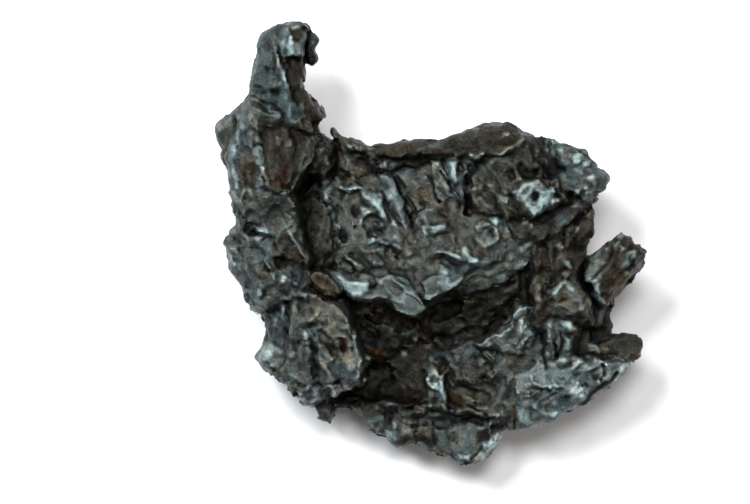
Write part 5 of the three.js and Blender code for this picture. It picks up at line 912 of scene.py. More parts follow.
# The large faces, each with its name, its kind, its own rise and its corners.
# The dark faces under folds, ledges and edges, and in grooves, are painted shade.
FACES = [
    ("mauve plate", "olive", 0.5, [
        (-21.6, 22.2), (-19.8, 21.6), (-18.3, 19.8), (-16.5, 17.7), (-15, 16.5), (-14.7, 15),
        (-17.1, 15), (-19.2, 16.5), (-20.7, 18.6), (-21.9, 21),
    ]),
    ("green rim patch", "blue", 0.1, [(-0.6, 27.9), (3, 27.9), (3.6, 26.4), (0, 25.8)]),
    ("blue flat", "blue", 0.1, [(-7.5, 20.1), (-2.7, 21), (-2.4, 18.6), (-4.8, 18), (-7.5, 18.6)]),
    ("first bar", "grey", 0.9, [
        (-13.8, 18.6), (-10.2, 18.6), (-9, 15), (-7.8, 12.6), (-6.6, 9.9), (-5.4, 6), (-5.1, 2.4),
        (-7.2, 4.2), (-8.4, 7.8), (-10.5, 11.4), (-12, 12.9), (-13.2, 15),
    ]),
    ("tan flat", "olive", -0.3, [
        (-5.4, 15.6), (-1.2, 16.2), (0.3, 14.4), (0, 12), (-1.2, 10.8), (-4.8, 10.8), (-6.6, 12.6),
    ]),
    ("second bar", "pink", 0.8, [
        (0.6, 23.1), (3.3, 23.1), (3.6, 20.4), (5.1, 17.1), (5.7, 13.5), (3.6, 11.1), (2.4, 11.4),
        (1.2, 14.4), (0.3, 17.7),
    ]),
    ("left ridge flake", "bright", 0.5, [
        (-30, 16.5), (-28.8, 17.7), (-27.6, 17.4), (-27.3, 15.9), (-27.6, 14.4), (-28.2, 12),
        (-28.8, 12.6), (-29.4, 15),
    ]),
    ("upper left flake", "bright", 0.7, [
        (-25.5, 15.6), (-24.3, 15.9), (-21.6, 15.6), (-18.6, 15.6), (-18.3, 15), (-19.8, 14.4),
        (-22.2, 13.8), (-23.7, 14.7), (-25.2, 15),
    ]),
    ("arch flake", "pale blue", 0.8, [
        (-18.3, 13.5), (-16.5, 14.1), (-13.8, 14.1), (-12.6, 12.6), (-12.9, 11.1), (-12, 8.1),
        (-12.3, 6), (-13.5, 7.2), (-15, 9.3), (-16.2, 10.5), (-17.1, 11.1), (-18.6, 12),
    ]),
    ("wavy ridge", "pale blue", 0.9, [
        (-16.8, 1.5), (-15.3, 1.8), (-14.7, 0.9), (-12, 0.6), (-9.9, 0), (-8.1, -0.9),
        (-7.5, -2.1), (-8.7, -2.4), (-10.5, -1.2), (-12, -0.6), (-13.8, -0.3), (-15.6, -0.9),
        (-16.8, 0),
    ]),
    ("green flake", "grey", 0.5, [
        (-16.5, -3.6), (-14.4, -3.3), (-12.9, -3.9), (-12.6, -6.3), (-14.4, -6.9), (-16.2, -6.3),
        (-16.8, -4.8),
    ]),
    ("long lump", "bright", 1, [
        (-23.1, -3.3), (-22.5, -3), (-21, -4.2), (-18.9, -5.7), (-17.7, -6.9), (-18.3, -7.5),
        (-19.5, -7.5), (-21, -6.3), (-22.5, -4.8),
    ]),
    ("tan slab", "tan", 0.3, [
        (-8.1, 0), (-5.4, 0), (-3.6, -1.8), (-3.9, -3.9), (-6, -3.9), (-7.8, -3), (-8.7, -1.5),
    ]),
    ("oval lump", "pale blue", 1, [
        (-2.4, 4.8), (-0.3, 5.4), (1.8, 5.4), (4.5, 5.4), (5.4, 4.2), (4.8, 3), (3, 2.4),
        (0.6, 2.1), (-1.5, 2.7),
    ]),
    ("olive hollow", "brown", -0.3, [(2.1, 9.6), (3.9, 10.5), (6, 9.6), (5.7, 7.5), (3.9, 6.3), (2.1, 7.5)]),
    ("lip crest left", "bright", 0.4, [
        (-27.3, -7.8), (-26.1, -7.5), (-24.9, -8.7), (-22.8, -9.9), (-21.3, -10.5), (-19.2, -10.8),
        (-17.1, -10.5), (-15.6, -11.4), (-16.8, -13.2), (-19.2, -15), (-21.6, -14.4),
        (-23.7, -12.3), (-26.1, -10.2),
    ]),
    ("lip plate", "grey", 0.2, [
        (-11.7, -10.8), (-7.2, -9.9), (-5.1, -12.6), (-3.9, -15), (-0.9, -17.7), (-3, -20.4),
        (-5.4, -20.1), (-9.3, -18.3), (-12.3, -15.3),
    ]),
    ("lip plate's white part", "pale blue", 0.1, [
        (-8.4, -12.9), (-6.3, -13.2), (-5.1, -15.3), (-4.5, -17.4), (-7.2, -17.1), (-8.7, -15.6),
    ]),
    ("wedge block", "olive", 0, [
        (-33.6, -10.5), (-31.5, -7.8), (-29.4, -7.8), (-26.7, -10.2), (-24.6, -13.8), (-26.1, -15),
        (-27.6, -15.3), (-30.3, -13.2), (-33.3, -12),
    ]),
    ("pale concave", "bright", 0, [
        (2.1, -9), (4.8, -7.8), (6.3, -9.6), (5.7, -11.4), (3.3, -12), (1.8, -11.4),
    ]),
    ("first wedge", "white", 0.6, [
        (4.5, 23.1), (8.1, 23.1), (7.5, 21), (6.9, 18.6), (7.5, 16.5), (6.3, 15.9), (5.4, 18.3),
        (4.8, 21),
    ]),
    ("strip of the second bar", "pale blue", 0.5, [
        (3.3, 21.6), (4.8, 18.9), (6, 16.5), (7.2, 14.4), (8.1, 12), (7.2, 11.4), (5.4, 13.8),
        (3.9, 16.8), (3, 19.2),
    ]),
    ("second wedge", "white", 0.7, [
        (9, 23.1), (10.8, 24.3), (11.4, 24.6), (13.2, 23.4), (14.4, 24), (15, 24.6), (14.7, 23.1),
        (12.6, 22.5), (12, 20.4), (11.4, 20.1), (11.4, 21.9), (9.9, 22.5),
    ]),
    ("third bar", "grey", 0.6, [(8.4, 19.8), (10.5, 19.8), (10.2, 17.1), (9, 15.3), (7.8, 17.1)]),
    ("third bar's foot", "grey", 0.5, [(7.2, 15.3), (9.6, 15), (9.6, 11.1), (7.8, 11.4)]),
    ("lobe rust strip", "olive", 0.1, [(11.4, 13.5), (13.5, 12.9), (13.5, 7.8), (12, 8.1)]),
    ("crater", "white", 0.5, [
        (23.7, 14.1), (25.2, 15.3), (26.7, 16.2), (28.2, 16.5), (29.7, 15.6), (30.9, 14.4),
        (33, 15), (34.2, 15), (33.6, 12.6), (32.1, 10.2), (30.3, 8.4), (28.5, 7.5), (27, 8.7),
        (26.4, 10.8), (25.5, 12.9),
    ]),
    ("lobe hole", "pit", -1.2, [
        (25.2, 19.8), (27.3, 20.7), (29.4, 19.8), (29.4, 18.3), (27.3, 17.4), (25.5, 18.3),
    ]),
    ("ringed lump middle", "grey", 0.5, [
        (15, 5.4), (16.5, 6), (18, 4.8), (18, 2.7), (16.8, 0.9), (15.3, 1.5), (15, 3.6),
    ]),
    ("chain 3", "white", 0.6, [(5.4, -3.6), (7.2, -3.3), (8.7, -3.6), (9.6, -5.1), (8.4, -5.1), (6.9, -4.2)]),
    ("chain 5", "bright", 0.7, [
        (9.6, -4.5), (11.4, -3.3), (12.9, -3.6), (14.1, -4.5), (14.1, -6.3), (12.3, -6.6),
        (10.8, -5.7),
    ]),
    ("concave face", "grey", 0, [(4.5, -5.1), (9, -6.3), (9.9, -8.7), (9, -11.1), (6.3, -11.4), (5.1, -9)]),
    ("red patch of the trough", "brown", 0.1, [
        (3.9, -13.8), (7.8, -12.9), (9.3, -14.1), (5.7, -15.3), (3.6, -15.3),
    ]),
    ("column stripe", "olive", 0.2, [
        (29.1, -11.4), (30.6, -11.4), (31.2, -15.6), (30.9, -18.6), (29.4, -18.6),
    ]),
    ("mass white strip", "pale blue", 0.2, [(-21.6, -24), (-20.7, -24), (-19.5, -27.9), (-20.1, -28.5)]),
    ("mass lower cheek", "grey", 0.1, [
        (-22.2, -33.9), (-20.1, -33.6), (-19.5, -35.7), (-19.8, -37.8), (-21.3, -39.6),
        (-22.5, -40.5), (-23.1, -39.6), (-22.5, -36.9),
    ]),
    ("brown under the lip", "rust", 0, [(-8.1, -20.1), (-3.6, -20.1), (-2.7, -22.2), (-7.2, -22.2)]),
    ("blade head", "bright", 0.3, [
        (-0.6, -36), (0.3, -35.1), (1.8, -35.4), (3, -36.9), (3.3, -37.8), (1.8, -38.4),
        (0.3, -39.6), (-0.6, -38.4), (-1.2, -37.5),
    ]),
    ("lavender plate", "grey", 0.3, [
        (22.5, -20.1), (24, -20.1), (24.9, -21.9), (24.6, -24.6), (23.1, -25.8), (22.5, -24),
    ]),
    ("edge crest flake", "pale blue", 0.4, [
        (12.6, -27.9), (14.7, -27), (16.8, -26.4), (18.6, -25.2), (19.2, -26.4), (16.8, -26.7),
        (14.7, -27.6), (12.9, -28.2),
    ]),
    ("plate shoulder", "bright", 0.5, [
        (33.3, -22.8), (35.1, -22.5), (37.2, -21.9), (38.7, -21.9), (39.9, -23.4), (40.5, -24.3),
        (38.4, -24.3), (36.3, -23.7), (33.9, -23.7),
    ]),
    ("bar right end", "pale blue", 0.4, [
        (54.6, -2.4), (56.4, -1.8), (57.3, -2.4), (57, -3.9), (55.8, -5.1), (54.9, -6.9),
        (53.4, -7.5), (52.8, -6.3), (54.3, -4.5),
    ]),
    ("bar brown middle", "brown", 0, [(50.1, -3), (51.9, -3), (52.2, -9), (50.4, -9)]),
    ("spire pale facet", "pale blue", 0.3, [
        (-39.3, 57), (-38.1, 57.3), (-37.8, 53.7), (-37.8, 51.6), (-38.4, 51.6), (-39.3, 52.8),
        (-40.5, 53.1), (-41.4, 54.3), (-41.4, 56.1),
    ]),
    ("spire white facet", "white", 0.2, [
        (-39, 56.7), (-38.1, 57), (-37.8, 53.7), (-37.8, 51.6), (-38.7, 51.9), (-39, 53.7),
    ]),
    ("spire olive facet", "brown", -0.2, [
        (-37.8, 59.1), (-35.4, 59.1), (-34.8, 56.4), (-36, 54.9), (-37.5, 55.5),
    ]),
    ("hook plate", "dark", 0.2, [
        (-34.5, 58.2), (-32.7, 57.9), (-31.5, 57), (-31.2, 54.9), (-31.2, 51.6), (-31.8, 49.2),
        (-33, 48.9), (-34.2, 50.4),
    ]),
    ("spire streak 1", "bright", 0.5, [
        (-42.6, 52.5), (-41.7, 51.6), (-41.4, 49.8), (-41.1, 48.3), (-41.4, 48), (-42.3, 49.8),
    ]),
    ("spire streak 3", "grey", 0.4, [
        (-40.5, 43.2), (-39.3, 43.2), (-38.4, 39.9), (-38.7, 38.7), (-39.9, 39.3), (-40.8, 41.4),
    ]),
    ("shoulder strip pale", "grey", 0.2, [
        (-51.9, 38.1), (-49.8, 37.5), (-48.9, 35.1), (-49.8, 33.9), (-51.6, 34.8),
    ]),
    ("spire foot blue face", "blue", 0.2, [
        (-38.4, 38.7), (-35.1, 38.7), (-34.5, 35.4), (-36.6, 33.6), (-38.4, 34.8),
    ]),
    ("tower pale 1", "grey", 0.2, [
        (-53.7, 34.8), (-51.9, 35.7), (-49.8, 34.2), (-49.8, 32.1), (-51.9, 31.5), (-53.4, 32.7),
    ]),
    ("tower bright strip", "pale blue", 0.3, [
        (-48, 25.5), (-47.1, 25.5), (-46.8, 23.1), (-45.9, 22.5), (-46.8, 21), (-48, 21.6),
        (-48.6, 22.8),
    ]),
    ("tower chain", "pale blue", 0.4, [
        (-47.1, 18.6), (-45.3, 18.3), (-45, 15.9), (-45.3, 14.4), (-47.1, 15), (-47.7, 15.9),
    ]),
    ("tower purple face", "olive", 0, [
        (-52.5, 23.7), (-48.6, 23.7), (-48.3, 18.6), (-48.6, 12), (-51.9, 12.6), (-52.5, 18.3),
    ]),
    ("facet red patch", "rust", 0, [(-41.4, 21), (-39.3, 21.6), (-39.6, 15), (-41.7, 15.9)]),
    ("valley knob plate", "grey", 0.4, [
        (-32.4, 25.5), (-30.6, 26.4), (-29.7, 26.1), (-30, 23.7), (-30.6, 22.2), (-32.1, 23.1),
    ]),
    ("left strip lavender", "grey", 0.3, [
        (-48, 6.9), (-45, 6), (-43.8, 4.2), (-42.9, 3), (-44.4, 3), (-46.5, 4.8), (-48, 5.7),
    ]),
    ("left strip pale", "pale blue", 0.5, [
        (-48, 4.2), (-46.5, 3.9), (-44.1, 3.3), (-42.6, 3), (-43.8, 2.4), (-45.9, 2.7), (-47.4, 3),
    ]),
    ("middle facet", "olive", 0, [
        (-42.9, 0.3), (-38.7, 2.4), (-37.2, 0.9), (-35.1, -2.4), (-33.6, -4.5), (-37.2, -5.7),
        (-40.5, -3.9), (-43.2, -1.8),
    ]),
    ("blue grey face", "blue", 0.2, [
        (-38.4, -5.1), (-35.1, -5.7), (-35.1, -7.8), (-35.4, -11.4), (-37.5, -12.3),
        (-38.7, -10.2),
    ]),
    ("tan plate", "tan", 0.2, [
        (-32.7, -13.8), (-27.6, -15.9), (-24, -16.2), (-22.5, -19.8), (-22.5, -23.4), (-25.5, -24),
        (-30.3, -21.3), (-32.7, -18.9),
    ]),
    ("rust pocket", "rust", -0.35, [
        (-25.8, -26.1), (-24, -25.8), (-22.5, -26.7), (-23.1, -28.8), (-24.3, -30), (-25.5, -29.4),
        (-25.2, -27.6),
    ]),
    ("cheek plate", "tan", 0.1, [(-24.6, -30), (-20.4, -29.7), (-19.8, -33.6), (-23.1, -33.9)]),
    ("rib plate", "pink", 0.4, [
        (-30.3, -33.3), (-28.8, -33.6), (-26.7, -35.7), (-26.7, -37.5), (-28.5, -37.5),
        (-30, -35.1),
    ]),
    ("foot knob blue core", "blue", 0, [(-34.8, -40.8), (-30.9, -40.5), (-30.6, -42.6), (-33.9, -42.9)]),
    ("crest teal strip", "grey", 0.2, [(-20.4, -32.7), (-18.9, -32.7), (-18.9, -36.9), (-19.8, -37.2)]),
    ("mass lavender plate", "blue", 0.1, [
        (-25.5, -33.3), (-23.1, -33), (-23.1, -37.5), (-22.2, -39), (-24, -39), (-25.5, -36.9),
    ]),
    ("mass pale plate", "grey", 0.2, [
        (-22.8, -33.6), (-20.4, -33.6), (-19.8, -36.9), (-21.6, -37.8), (-23.1, -36.9),
    ]),
    ("mass blue groove", "dark", -0.5, [(-32.7, -27.3), (-31.2, -27.3), (-31.2, -36.9), (-32.4, -36.9)]),
    ("shoulder white plate", "white", 0.4, [
        (36.3, -23.1), (38.1, -22.5), (39.6, -23.1), (40.5, -24.3), (38.4, -24.3), (36.6, -24),
    ]),
    ("first fold face", "grey", 0.1, [(32.1, -23.7), (33.9, -23.7), (33.9, -31.2), (32.4, -31.8)]),
    ("first fold foot", "grey", 0.1, [(32.4, -31.5), (34.2, -31.5), (33.9, -38.1), (32.1, -37.8)]),
    ("second fold face", "blue", 0.1, [(34.2, -24), (36.3, -24), (36.3, -31.8), (34.5, -32.4)]),
    ("dark band under the folds", "dark", -0.4, [
        (35.4, -33.6), (37.5, -33.6), (39.6, -32.7), (39.9, -33.9), (37.8, -34.8), (35.7, -34.8),
    ]),
    ("low blue plate", "grey", 0.1, [(32.1, -41.1), (38.4, -40.5), (39.6, -42.6), (39, -45), (33, -44.7)]),
    ("low dark band", "blue", -0.1, [(32.1, -45), (36.6, -44.7), (36.9, -46.5), (32.7, -46.8)]),
    ("low teal plate", "blue", 0.1, [
        (27.6, -41.4), (31.8, -41.4), (32.1, -45.9), (30.9, -48.9), (27.9, -49.2),
    ]),
    ("wave green patch", "pink", 0.1, [(44.1, -37.5), (46.2, -38.7), (46.5, -41.4), (44.7, -41.7)]),
    ("rim white line", "white", 0.4, [
        (49.8, -39.3), (51.9, -37.5), (52.8, -35.4), (53.4, -35.4), (52.5, -37.5), (50.4, -39.6),
    ]),
    ("rim dark groove", "dark", -0.8, [
        (48.9, -38.7), (50.4, -36.9), (52.5, -35.4), (52.5, -36), (50.7, -37.8), (49.2, -39.6),
    ]),
    ("blade left rim", "bright", 0.6, [
        (-0.9, -36.6), (0, -35.7), (0.3, -36.9), (0.3, -38.7), (1.2, -40.8), (0, -39.9),
        (-0.9, -38.1),
    ]),
    ("blade foot face", "grey", 0.2, [(-0.6, -41.4), (3.3, -41.4), (3.3, -45.9), (0, -45.9)]),
    ("blade strip", "white", 0.6, [
        (3.6, -41.7), (4.5, -41.7), (4.8, -44.7), (5.1, -46.8), (3.6, -46.5), (3.6, -44.1),
    ]),
    ("ledge tan", "brown", 0.1, [(-8.4, -44.1), (-2.7, -44.1), (-2.4, -45.9), (-7.8, -45.9)]),
    ("left lobe face", "grey", 0.1, [
        (-16.5, -48), (-13.2, -47.7), (-12.6, -51.3), (-15, -51.9), (-16.5, -50.1),
    ]),
    ("lobe grey face", "pink", 0.1, [(-8.1, -49.2), (-5.4, -48.9), (-5.1, -52.8), (-7.8, -53.1)]),
    ("lobe olive face", "olive", 0, [(-4.8, -50.1), (0.6, -50.4), (0.9, -53.7), (-4.2, -54)]),
    ("lobe green foot", "dark", -0.2, [(-8.1, -54), (0.9, -54.3), (1.2, -56.4), (-7.5, -56.1)]),
    ("lobe teal face", "blue", 0.1, [(2.1, -51.9), (4.8, -51.6), (5.4, -57.3), (2.7, -56.4)]),
    ("under the ledge", "dark", -0.15, [
        (5.4, -48), (11.4, -47.7), (15.6, -48.9), (15, -50.7), (9, -50.1), (5.7, -49.5),
    ]),
    ("green band of the lobe", "pit", -0.3, [(12.9, -52.5), (16.5, -51.6), (16.5, -54.6), (13.5, -55.8)]),
    ("bottom dark edge", "dark", -0.4, [(9.6, -60.3), (14.4, -60.3), (14.1, -61.5), (10.2, -61.5)]),
    ("olive slope", "olive", 0, [
        (9.6, -43.2), (14.1, -42.6), (17.4, -43.5), (17.4, -46.2), (13.5, -45.6), (10.2, -45),
    ]),
    ("slope dark seam", "brown", -0.2, [(23.1, -44.7), (24, -44.7), (24.3, -51.9), (23.4, -51.9)]),
]
# The small flakes, by their kind: the corners of each.
FLAKES = {
    "white": [
        [(-19.3, 26.5), (-18.8, 26.7), (-18.3, 26.1), (-18.8, 25.6), (-19.3, 25.7)],
        [(-17.9, 26.2), (-16.5, 26), (-15.1, 24.9), (-15.4, 24), (-16.2, 23.5), (-16.8, 24.3), (-17.6, 25.1)],
        [(-16.5, 12.1), (-15.7, 11.8), (-15.1, 9.9), (-16, 9.9)],
        [(-14.6, 12.1), (-13.5, 12.1), (-14, 10.1), (-14, 8.5), (-14.9, 9.3)],
        [(-18.8, 9.9), (-17.1, 9.6), (-16.5, 8.5), (-17.4, 7.6), (-18.2, 8.8)],
        [(-25.8, 5.3), (-25.1, 5.6), (-24.6, 4.9), (-25, 4.2), (-25.7, 4.3)],
        [(-10.3, 6.5), (-9.3, 6.5), (-9, 5.4), (-9.6, 4.7), (-10.4, 5.1)],
        [(-8.6, 2.2), (-7.8, 2.1), (-7.9, 1.2), (-8.6, 1.4)],
        [(-23.1, -3.2), (-22.4, -3.2), (-22.1, -4), (-22.8, -4.3)],
        [(-1.8, 3.5), (1.2, 2.9), (1.2, 2.1), (-1.5, 2.4)],
        [(-21.5, -11), (-19.3, -11), (-19.9, -12.1), (-21.2, -12.1)],
        [(-27.1, -7.9), (-26, -7.9), (-26, -9), (-26.8, -8.8)],
        [(3.2, -10.1), (4.9, -9.9), (5.1, -11.2), (3.5, -11.5)],
        [(5.1, 23.2), (7.4, 23.2), (7.1, 20.4), (5.7, 20.4)],
        [(10.7, 24.3), (12.1, 24.3), (12.6, 22.9), (11, 22.9)],
        [(33.5, 11.8), (34.6, 12.4), (36.2, 12.4), (35.1, 11.5), (34, 11)],
        [(39.9, 24), (40.7, 25.1), (42.4, 25.1), (42.6, 23.8), (41.8, 22.4), (40.1, 22.4)],
        [(42.6, 22.6), (44, 22.6), (44.3, 21.5), (42.9, 21.2)],
        [(42.9, 15.7), (44, 16), (44.3, 14.9), (43.2, 14.6)],
        [(40.4, 14.6), (41.5, 14.6), (41.5, 13.5), (40.4, 13.5)],
        [(10.7, -4.3), (12.1, -4.6), (12.4, -5.7), (11, -5.4)],
        [(12.9, -4.9), (14, -4.9), (14, -6), (12.9, -6)],
        [(-19, -31), (-17.1, -31.5), (-16.8, -32.1), (-18.8, -32.1)],
        [(24.9, -21.8), (26, -21.2), (26.8, -22.4), (26.8, -24), (25.4, -24.9), (24.6, -23.5)],
        [(36.8, -22.9), (39.3, -23.2), (39.9, -24), (37.1, -23.8)],
        [(27.9, -36.5), (28.8, -36.5), (28.8, -37.9), (27.9, -37.9)],
        [(47.4, -14.9), (48.2, -15.1), (48.8, -16.5), (47.6, -16.2)],
        [(55.4, -2.1), (56.5, -2.1), (56.5, -4), (55.7, -4.3)],
        [(-47.9, 1.2), (-46.5, 1.2), (-46.8, 0.4), (-47.6, 0.4)],
        [(-42.6, 2.1), (-41.5, 2.1), (-41.5, 1.2), (-42.4, 1)],
        [(-41, -9.3), (-39.9, -9.3), (-39.9, -10.7), (-40.7, -10.7)],
        [(-46.2, -29.6), (-43.8, -29.3), (-43.5, -31.5), (-44.3, -32.4), (-46, -32.1)],
        [(-33.8, -39), (-32.9, -39), (-32.9, -39.9), (-33.8, -39.9)],
        [(-27.9, -39), (-26.8, -39), (-26.8, -39.9), (-27.6, -39.9)],
        [(-27.4, -40.4), (-26.5, -40.7), (-25.7, -42.4), (-26.5, -42.6)],
        [(-36, -43.2), (-34.3, -42.9), (-33.8, -43.5), (-35.1, -43.8)],
        [(-32.6, -43.2), (-31, -42.9), (-31.2, -43.8), (-32.6, -44)],
        [(-18.6, -37.9), (-17.6, -37.6), (-16.9, -38.2), (-17.9, -38.6)],
        [(-18.8, -31.5), (-16.8, -31.7), (-16.8, -32.2), (-18.5, -32.2)],
        [(37.2, -28.6), (38.6, -28.6), (38.6, -29.6), (37.4, -29.6)],
        [(35.7, -31), (37.4, -30.1), (38.8, -30.1), (38.8, -31.5), (37.1, -32.9), (35.7, -32.6)],
        [(40.1, -33.5), (41.5, -32.5), (42.6, -32.9), (42.4, -34), (41, -34.6), (40.1, -34.3)],
        [(39.6, -40.1), (41, -39), (42.4, -39.3), (42.4, -40.7), (41, -41.8), (39.6, -41.5)],
        [(40.7, -38.5), (41.8, -38.5), (41.8, -39.3), (41, -39.6)],
        [(41.8, -41.8), (42.9, -41.8), (42.6, -42.9), (41.8, -42.9)],
        [(31, -39.6), (32.4, -39), (33.8, -39), (33.5, -40.1), (31.5, -40.7)],
        [(34.9, -39), (36.8, -39), (37.1, -39.9), (35.7, -40.3), (34.9, -39.9)],
        [(47.9, -32.5), (49, -32.1), (49.6, -33.2), (50.4, -34.6), (49.6, -35), (48.8, -33.5)],
        [(53.2, -34), (54.3, -33.2), (55.4, -33.5), (54.6, -34.6), (53.2, -35.4)],
        [(1, -36), (2.1, -36), (2.9, -37.4), (2.6, -38.2), (1.8, -36.8)],
        [(1, -39), (2.4, -38.2), (3.8, -38.8), (4.2, -40.1), (3.8, -41.5), (2.4, -41.2), (1, -40.4)],
        [(-11.2, -52.6), (-10.4, -52.6), (-10.3, -53.5), (-11.1, -53.6)],
        [(18.8, -47.8), (19.9, -47.6), (19.9, -48.8), (18.8, -49)],
        [(7.4, -59), (8.5, -58.5), (9.4, -59), (9.3, -60.4), (7.6, -59.9)],
        [(9.6, -59.3), (11.2, -59), (11.2, -59.9), (9.9, -60.1)],
        [(12.6, -59.6), (14.3, -57.9), (16.5, -57.1), (16.5, -58.8), (15.4, -60.4), (13.2, -60.4)],
        [(15.1, -55.7), (16.5, -55.7), (16.8, -57.6), (15.1, -57.9)],
        [(20.1, -53.2), (21.2, -53.2), (21.5, -54.3), (20.4, -54.9)],
        [(17.9, -53.8), (20.1, -52.9), (20.4, -54.6), (18.5, -55.4)],
        [(16.8, -55.1), (19.3, -54.6), (19.3, -55.7), (18.2, -57.1), (16.8, -57.4)],
    ],
    "bright": [
        [(-22.6, 27.9), (-21.5, 27.9), (-19.9, 26.5), (-20.1, 26), (-21.2, 26.2), (-22.6, 27.1)],
        [(-12.4, 14.9), (-11, 14.3), (-10.4, 12.4), (-11.5, 12.4), (-12.4, 13.5)],
        [(1.5, 16.9), (2.4, 16.8), (2.4, 16), (1.5, 16)],
        [(-19.3, 6.5), (-18.5, 6.8), (-18.2, 5.7), (-19, 5.4)],
        [(-10, 1.8), (-9.3, 1.8), (-9.3, 1), (-10, 1)],
        [(-16.5, 1.5), (-15.4, 1.5), (-15.4, 0.4), (-16.5, 0.4)],
        [(-9, -1), (-7.9, -1.2), (-7.9, -2.1), (-8.8, -2.1)],
        [(-19.3, -6.2), (-18.2, -6.5), (-18.2, -7.4), (-19, -7.4)],
        [(3.8, 5.1), (5.1, 4.6), (4.9, 3.2), (3.8, 2.9)],
        [(-13.9, -10.7), (-13.1, -10.8), (-13.2, -11.8), (-13.9, -11.5)],
        [(23.5, 26.8), (24.6, 28.8), (26, 29), (25.4, 27.6)],
        [(16.5, 7.1), (18.2, 7.4), (19.3, 6), (18.5, 5.1)],
        [(35.7, 26), (36.8, 26.2), (37.6, 25.1), (36.5, 24.3), (35.7, 24.6)],
        [(43.5, 18.5), (45.1, 18.8), (46.2, 17.4), (46, 15.4), (44.9, 15.7), (44.6, 17.4)],
        [(43.2, 14.6), (45.1, 14.6), (44.6, 13.2), (43.2, 13.5)],
        [(18.2, 4.3), (19.3, 4), (19.6, 2.9), (18.5, 3.2)],
        [(9, -1.5), (10.1, -1.2), (11.2, -2.4), (11.8, -3.5), (10.4, -4), (9.3, -2.9)],
        [(-20.1, -27.4), (-19.6, -27.4), (-18.8, -29.6), (-19.3, -29.9)],
        [(-23.2, -39.3), (-22.1, -39.3), (-22.1, -40.4), (-22.9, -40.4)],
        [(24.9, -24.6), (26, -25.1), (24.6, -27.4), (23.5, -28.5), (22.9, -27.4), (24, -26)],
        [(26.2, -25.7), (27.6, -25.4), (28.8, -26.5), (28.5, -27.6), (27.6, -28.8), (25.1, -28.8),
            (24.9, -27.9), (26, -27.1)],
        [(23.8, -30.1), (25.1, -29.6), (25.4, -30.7), (24, -31.2)],
        [(20.7, -28.8), (21.8, -28.8), (22.1, -29.6), (21, -29.6)],
        [(34.6, -0.7), (36.2, -0.1), (37.1, -0.7), (36, -1.5), (34.9, -1.2)],
        [(47.4, -5.7), (48.2, -5.1), (49, -5.4), (48.2, -6.2)],
        [(43.8, -9.9), (44.9, -9.3), (46, -10.4), (45.4, -11.2)],
        [(46, -11.2), (46.8, -11.2), (46.8, -12.6), (46.2, -12.6)],
        [(45.7, -13.2), (47.1, -12.9), (48.2, -15.1), (48.8, -16.5), (47.1, -16.5), (46.2, -14.9)],
        [(52.6, -1), (53.5, -0.7), (53.8, -1.8), (52.9, -2.1)],
        [(51.5, 2.6), (53.5, 2.6), (53.5, 1.8), (51.8, 1.5)],
        [(-41, 47.6), (-40.1, 46.8), (-39.6, 45.7), (-39.9, 44.6), (-40.7, 45.1), (-41.2, 46.5)],
        [(-44.6, 37.9), (-43.8, 38.2), (-43.5, 36.5), (-44.3, 36.2)],
        [(-46.8, 20.7), (-45.7, 20.4), (-45.4, 19), (-46.2, 18.5)],
        [(-52.6, 11.8), (-51.2, 11.8), (-51.5, 10.4), (-52.4, 10.4)],
        [(-54, 12.4), (-52.9, 12.1), (-52.9, 10.7), (-53.8, 10.7)],
        [(-51.8, 1.5), (-51, 1.8), (-51, -0.1), (-51.8, -1)],
        [(-47.6, -12.9), (-46.8, -12.9), (-46.8, -14.6), (-47.6, -14.6)],
        [(-41, -16.5), (-40.4, -16.5), (-40.1, -19), (-40.7, -20.1), (-41, -18.5)],
        [(-37.9, -16.8), (-37.1, -17.1), (-37.4, -18.8), (-37.9, -18.8)],
        [(-34.9, -23.8), (-34, -24.6), (-33.5, -26.2), (-34.3, -26.5), (-34.9, -25.1)],
        [(-29.6, -34), (-28.5, -34.3), (-28.5, -35.1), (-29.3, -35.1)],
        [(-31.8, -41.2), (-30.7, -41.5), (-31, -42.4), (-31.8, -42.4)],
        [(-36, -41), (-34.9, -41), (-34.9, -42.1), (-36, -42.4)],
        [(-20.4, -36.5), (-19.6, -36.2), (-19.6, -37.4), (-20.1, -37.6)],
        [(34, -33.2), (35.1, -33.5), (35.1, -34.6), (34.3, -34.3)],
        [(42.4, -34.6), (44.6, -34.3), (45.7, -33.8), (46, -34.6), (44.3, -35.4), (42.6, -35.7)],
        [(40, -44.7), (41, -44.7), (41, -45.4), (40.1, -45.4)],
        [(27.6, -36.2), (29, -36.5), (29, -38.5), (27.9, -38.5)],
        [(33.5, -48.2), (35.1, -47.1), (35.7, -47.2), (34.3, -48.5)],
        [(46.4, -38.1), (47.2, -38.1), (47.1, -39.2), (46.5, -39.2)],
        [(46, -27.8), (46.8, -28.5), (47.4, -30.4), (46.5, -29.9)],
        [(58.2, -30.4), (59, -30.4), (59, -31.2), (58.2, -31.2)],
        [(-10.4, -50.1), (-9.7, -50.1), (-9.6, -51.8), (-10.3, -51.8)],
        [(-16.8, -49), (-16, -49), (-15.4, -51), (-16.2, -51)],
    ],
    "pale blue": [
        [(-11.5, 21.8), (-10.1, 22.4), (-9, 21.8), (-10.4, 20.7), (-11.5, 21)],
        [(-11, 18.2), (-9.3, 17.6), (-8.8, 14.6), (-9.9, 15.4)],
        [(-8.8, 11), (-7.1, 10.4), (-6.5, 7.1), (-7.9, 8.2)],
        [(-16.5, 6), (-14.9, 6.2), (-13.8, 4.9), (-14.3, 3.8), (-16.5, 4)],
        [(-15.1, -1.8), (-14, -1.2), (-12.4, -1.8), (-12.4, -3.2), (-13.8, -3.5), (-14.9, -2.6)],
        [(35.7, 23.5), (38.5, 23.5), (39, 22.1), (36.2, 21.8)],
        [(32.9, 28.5), (36.2, 28.2), (36.8, 27.4), (34, 27.4)],
        [(12.6, 4.6), (14, 5.1), (15.1, 4.3), (14.9, 2.9), (13.5, 3.2)],
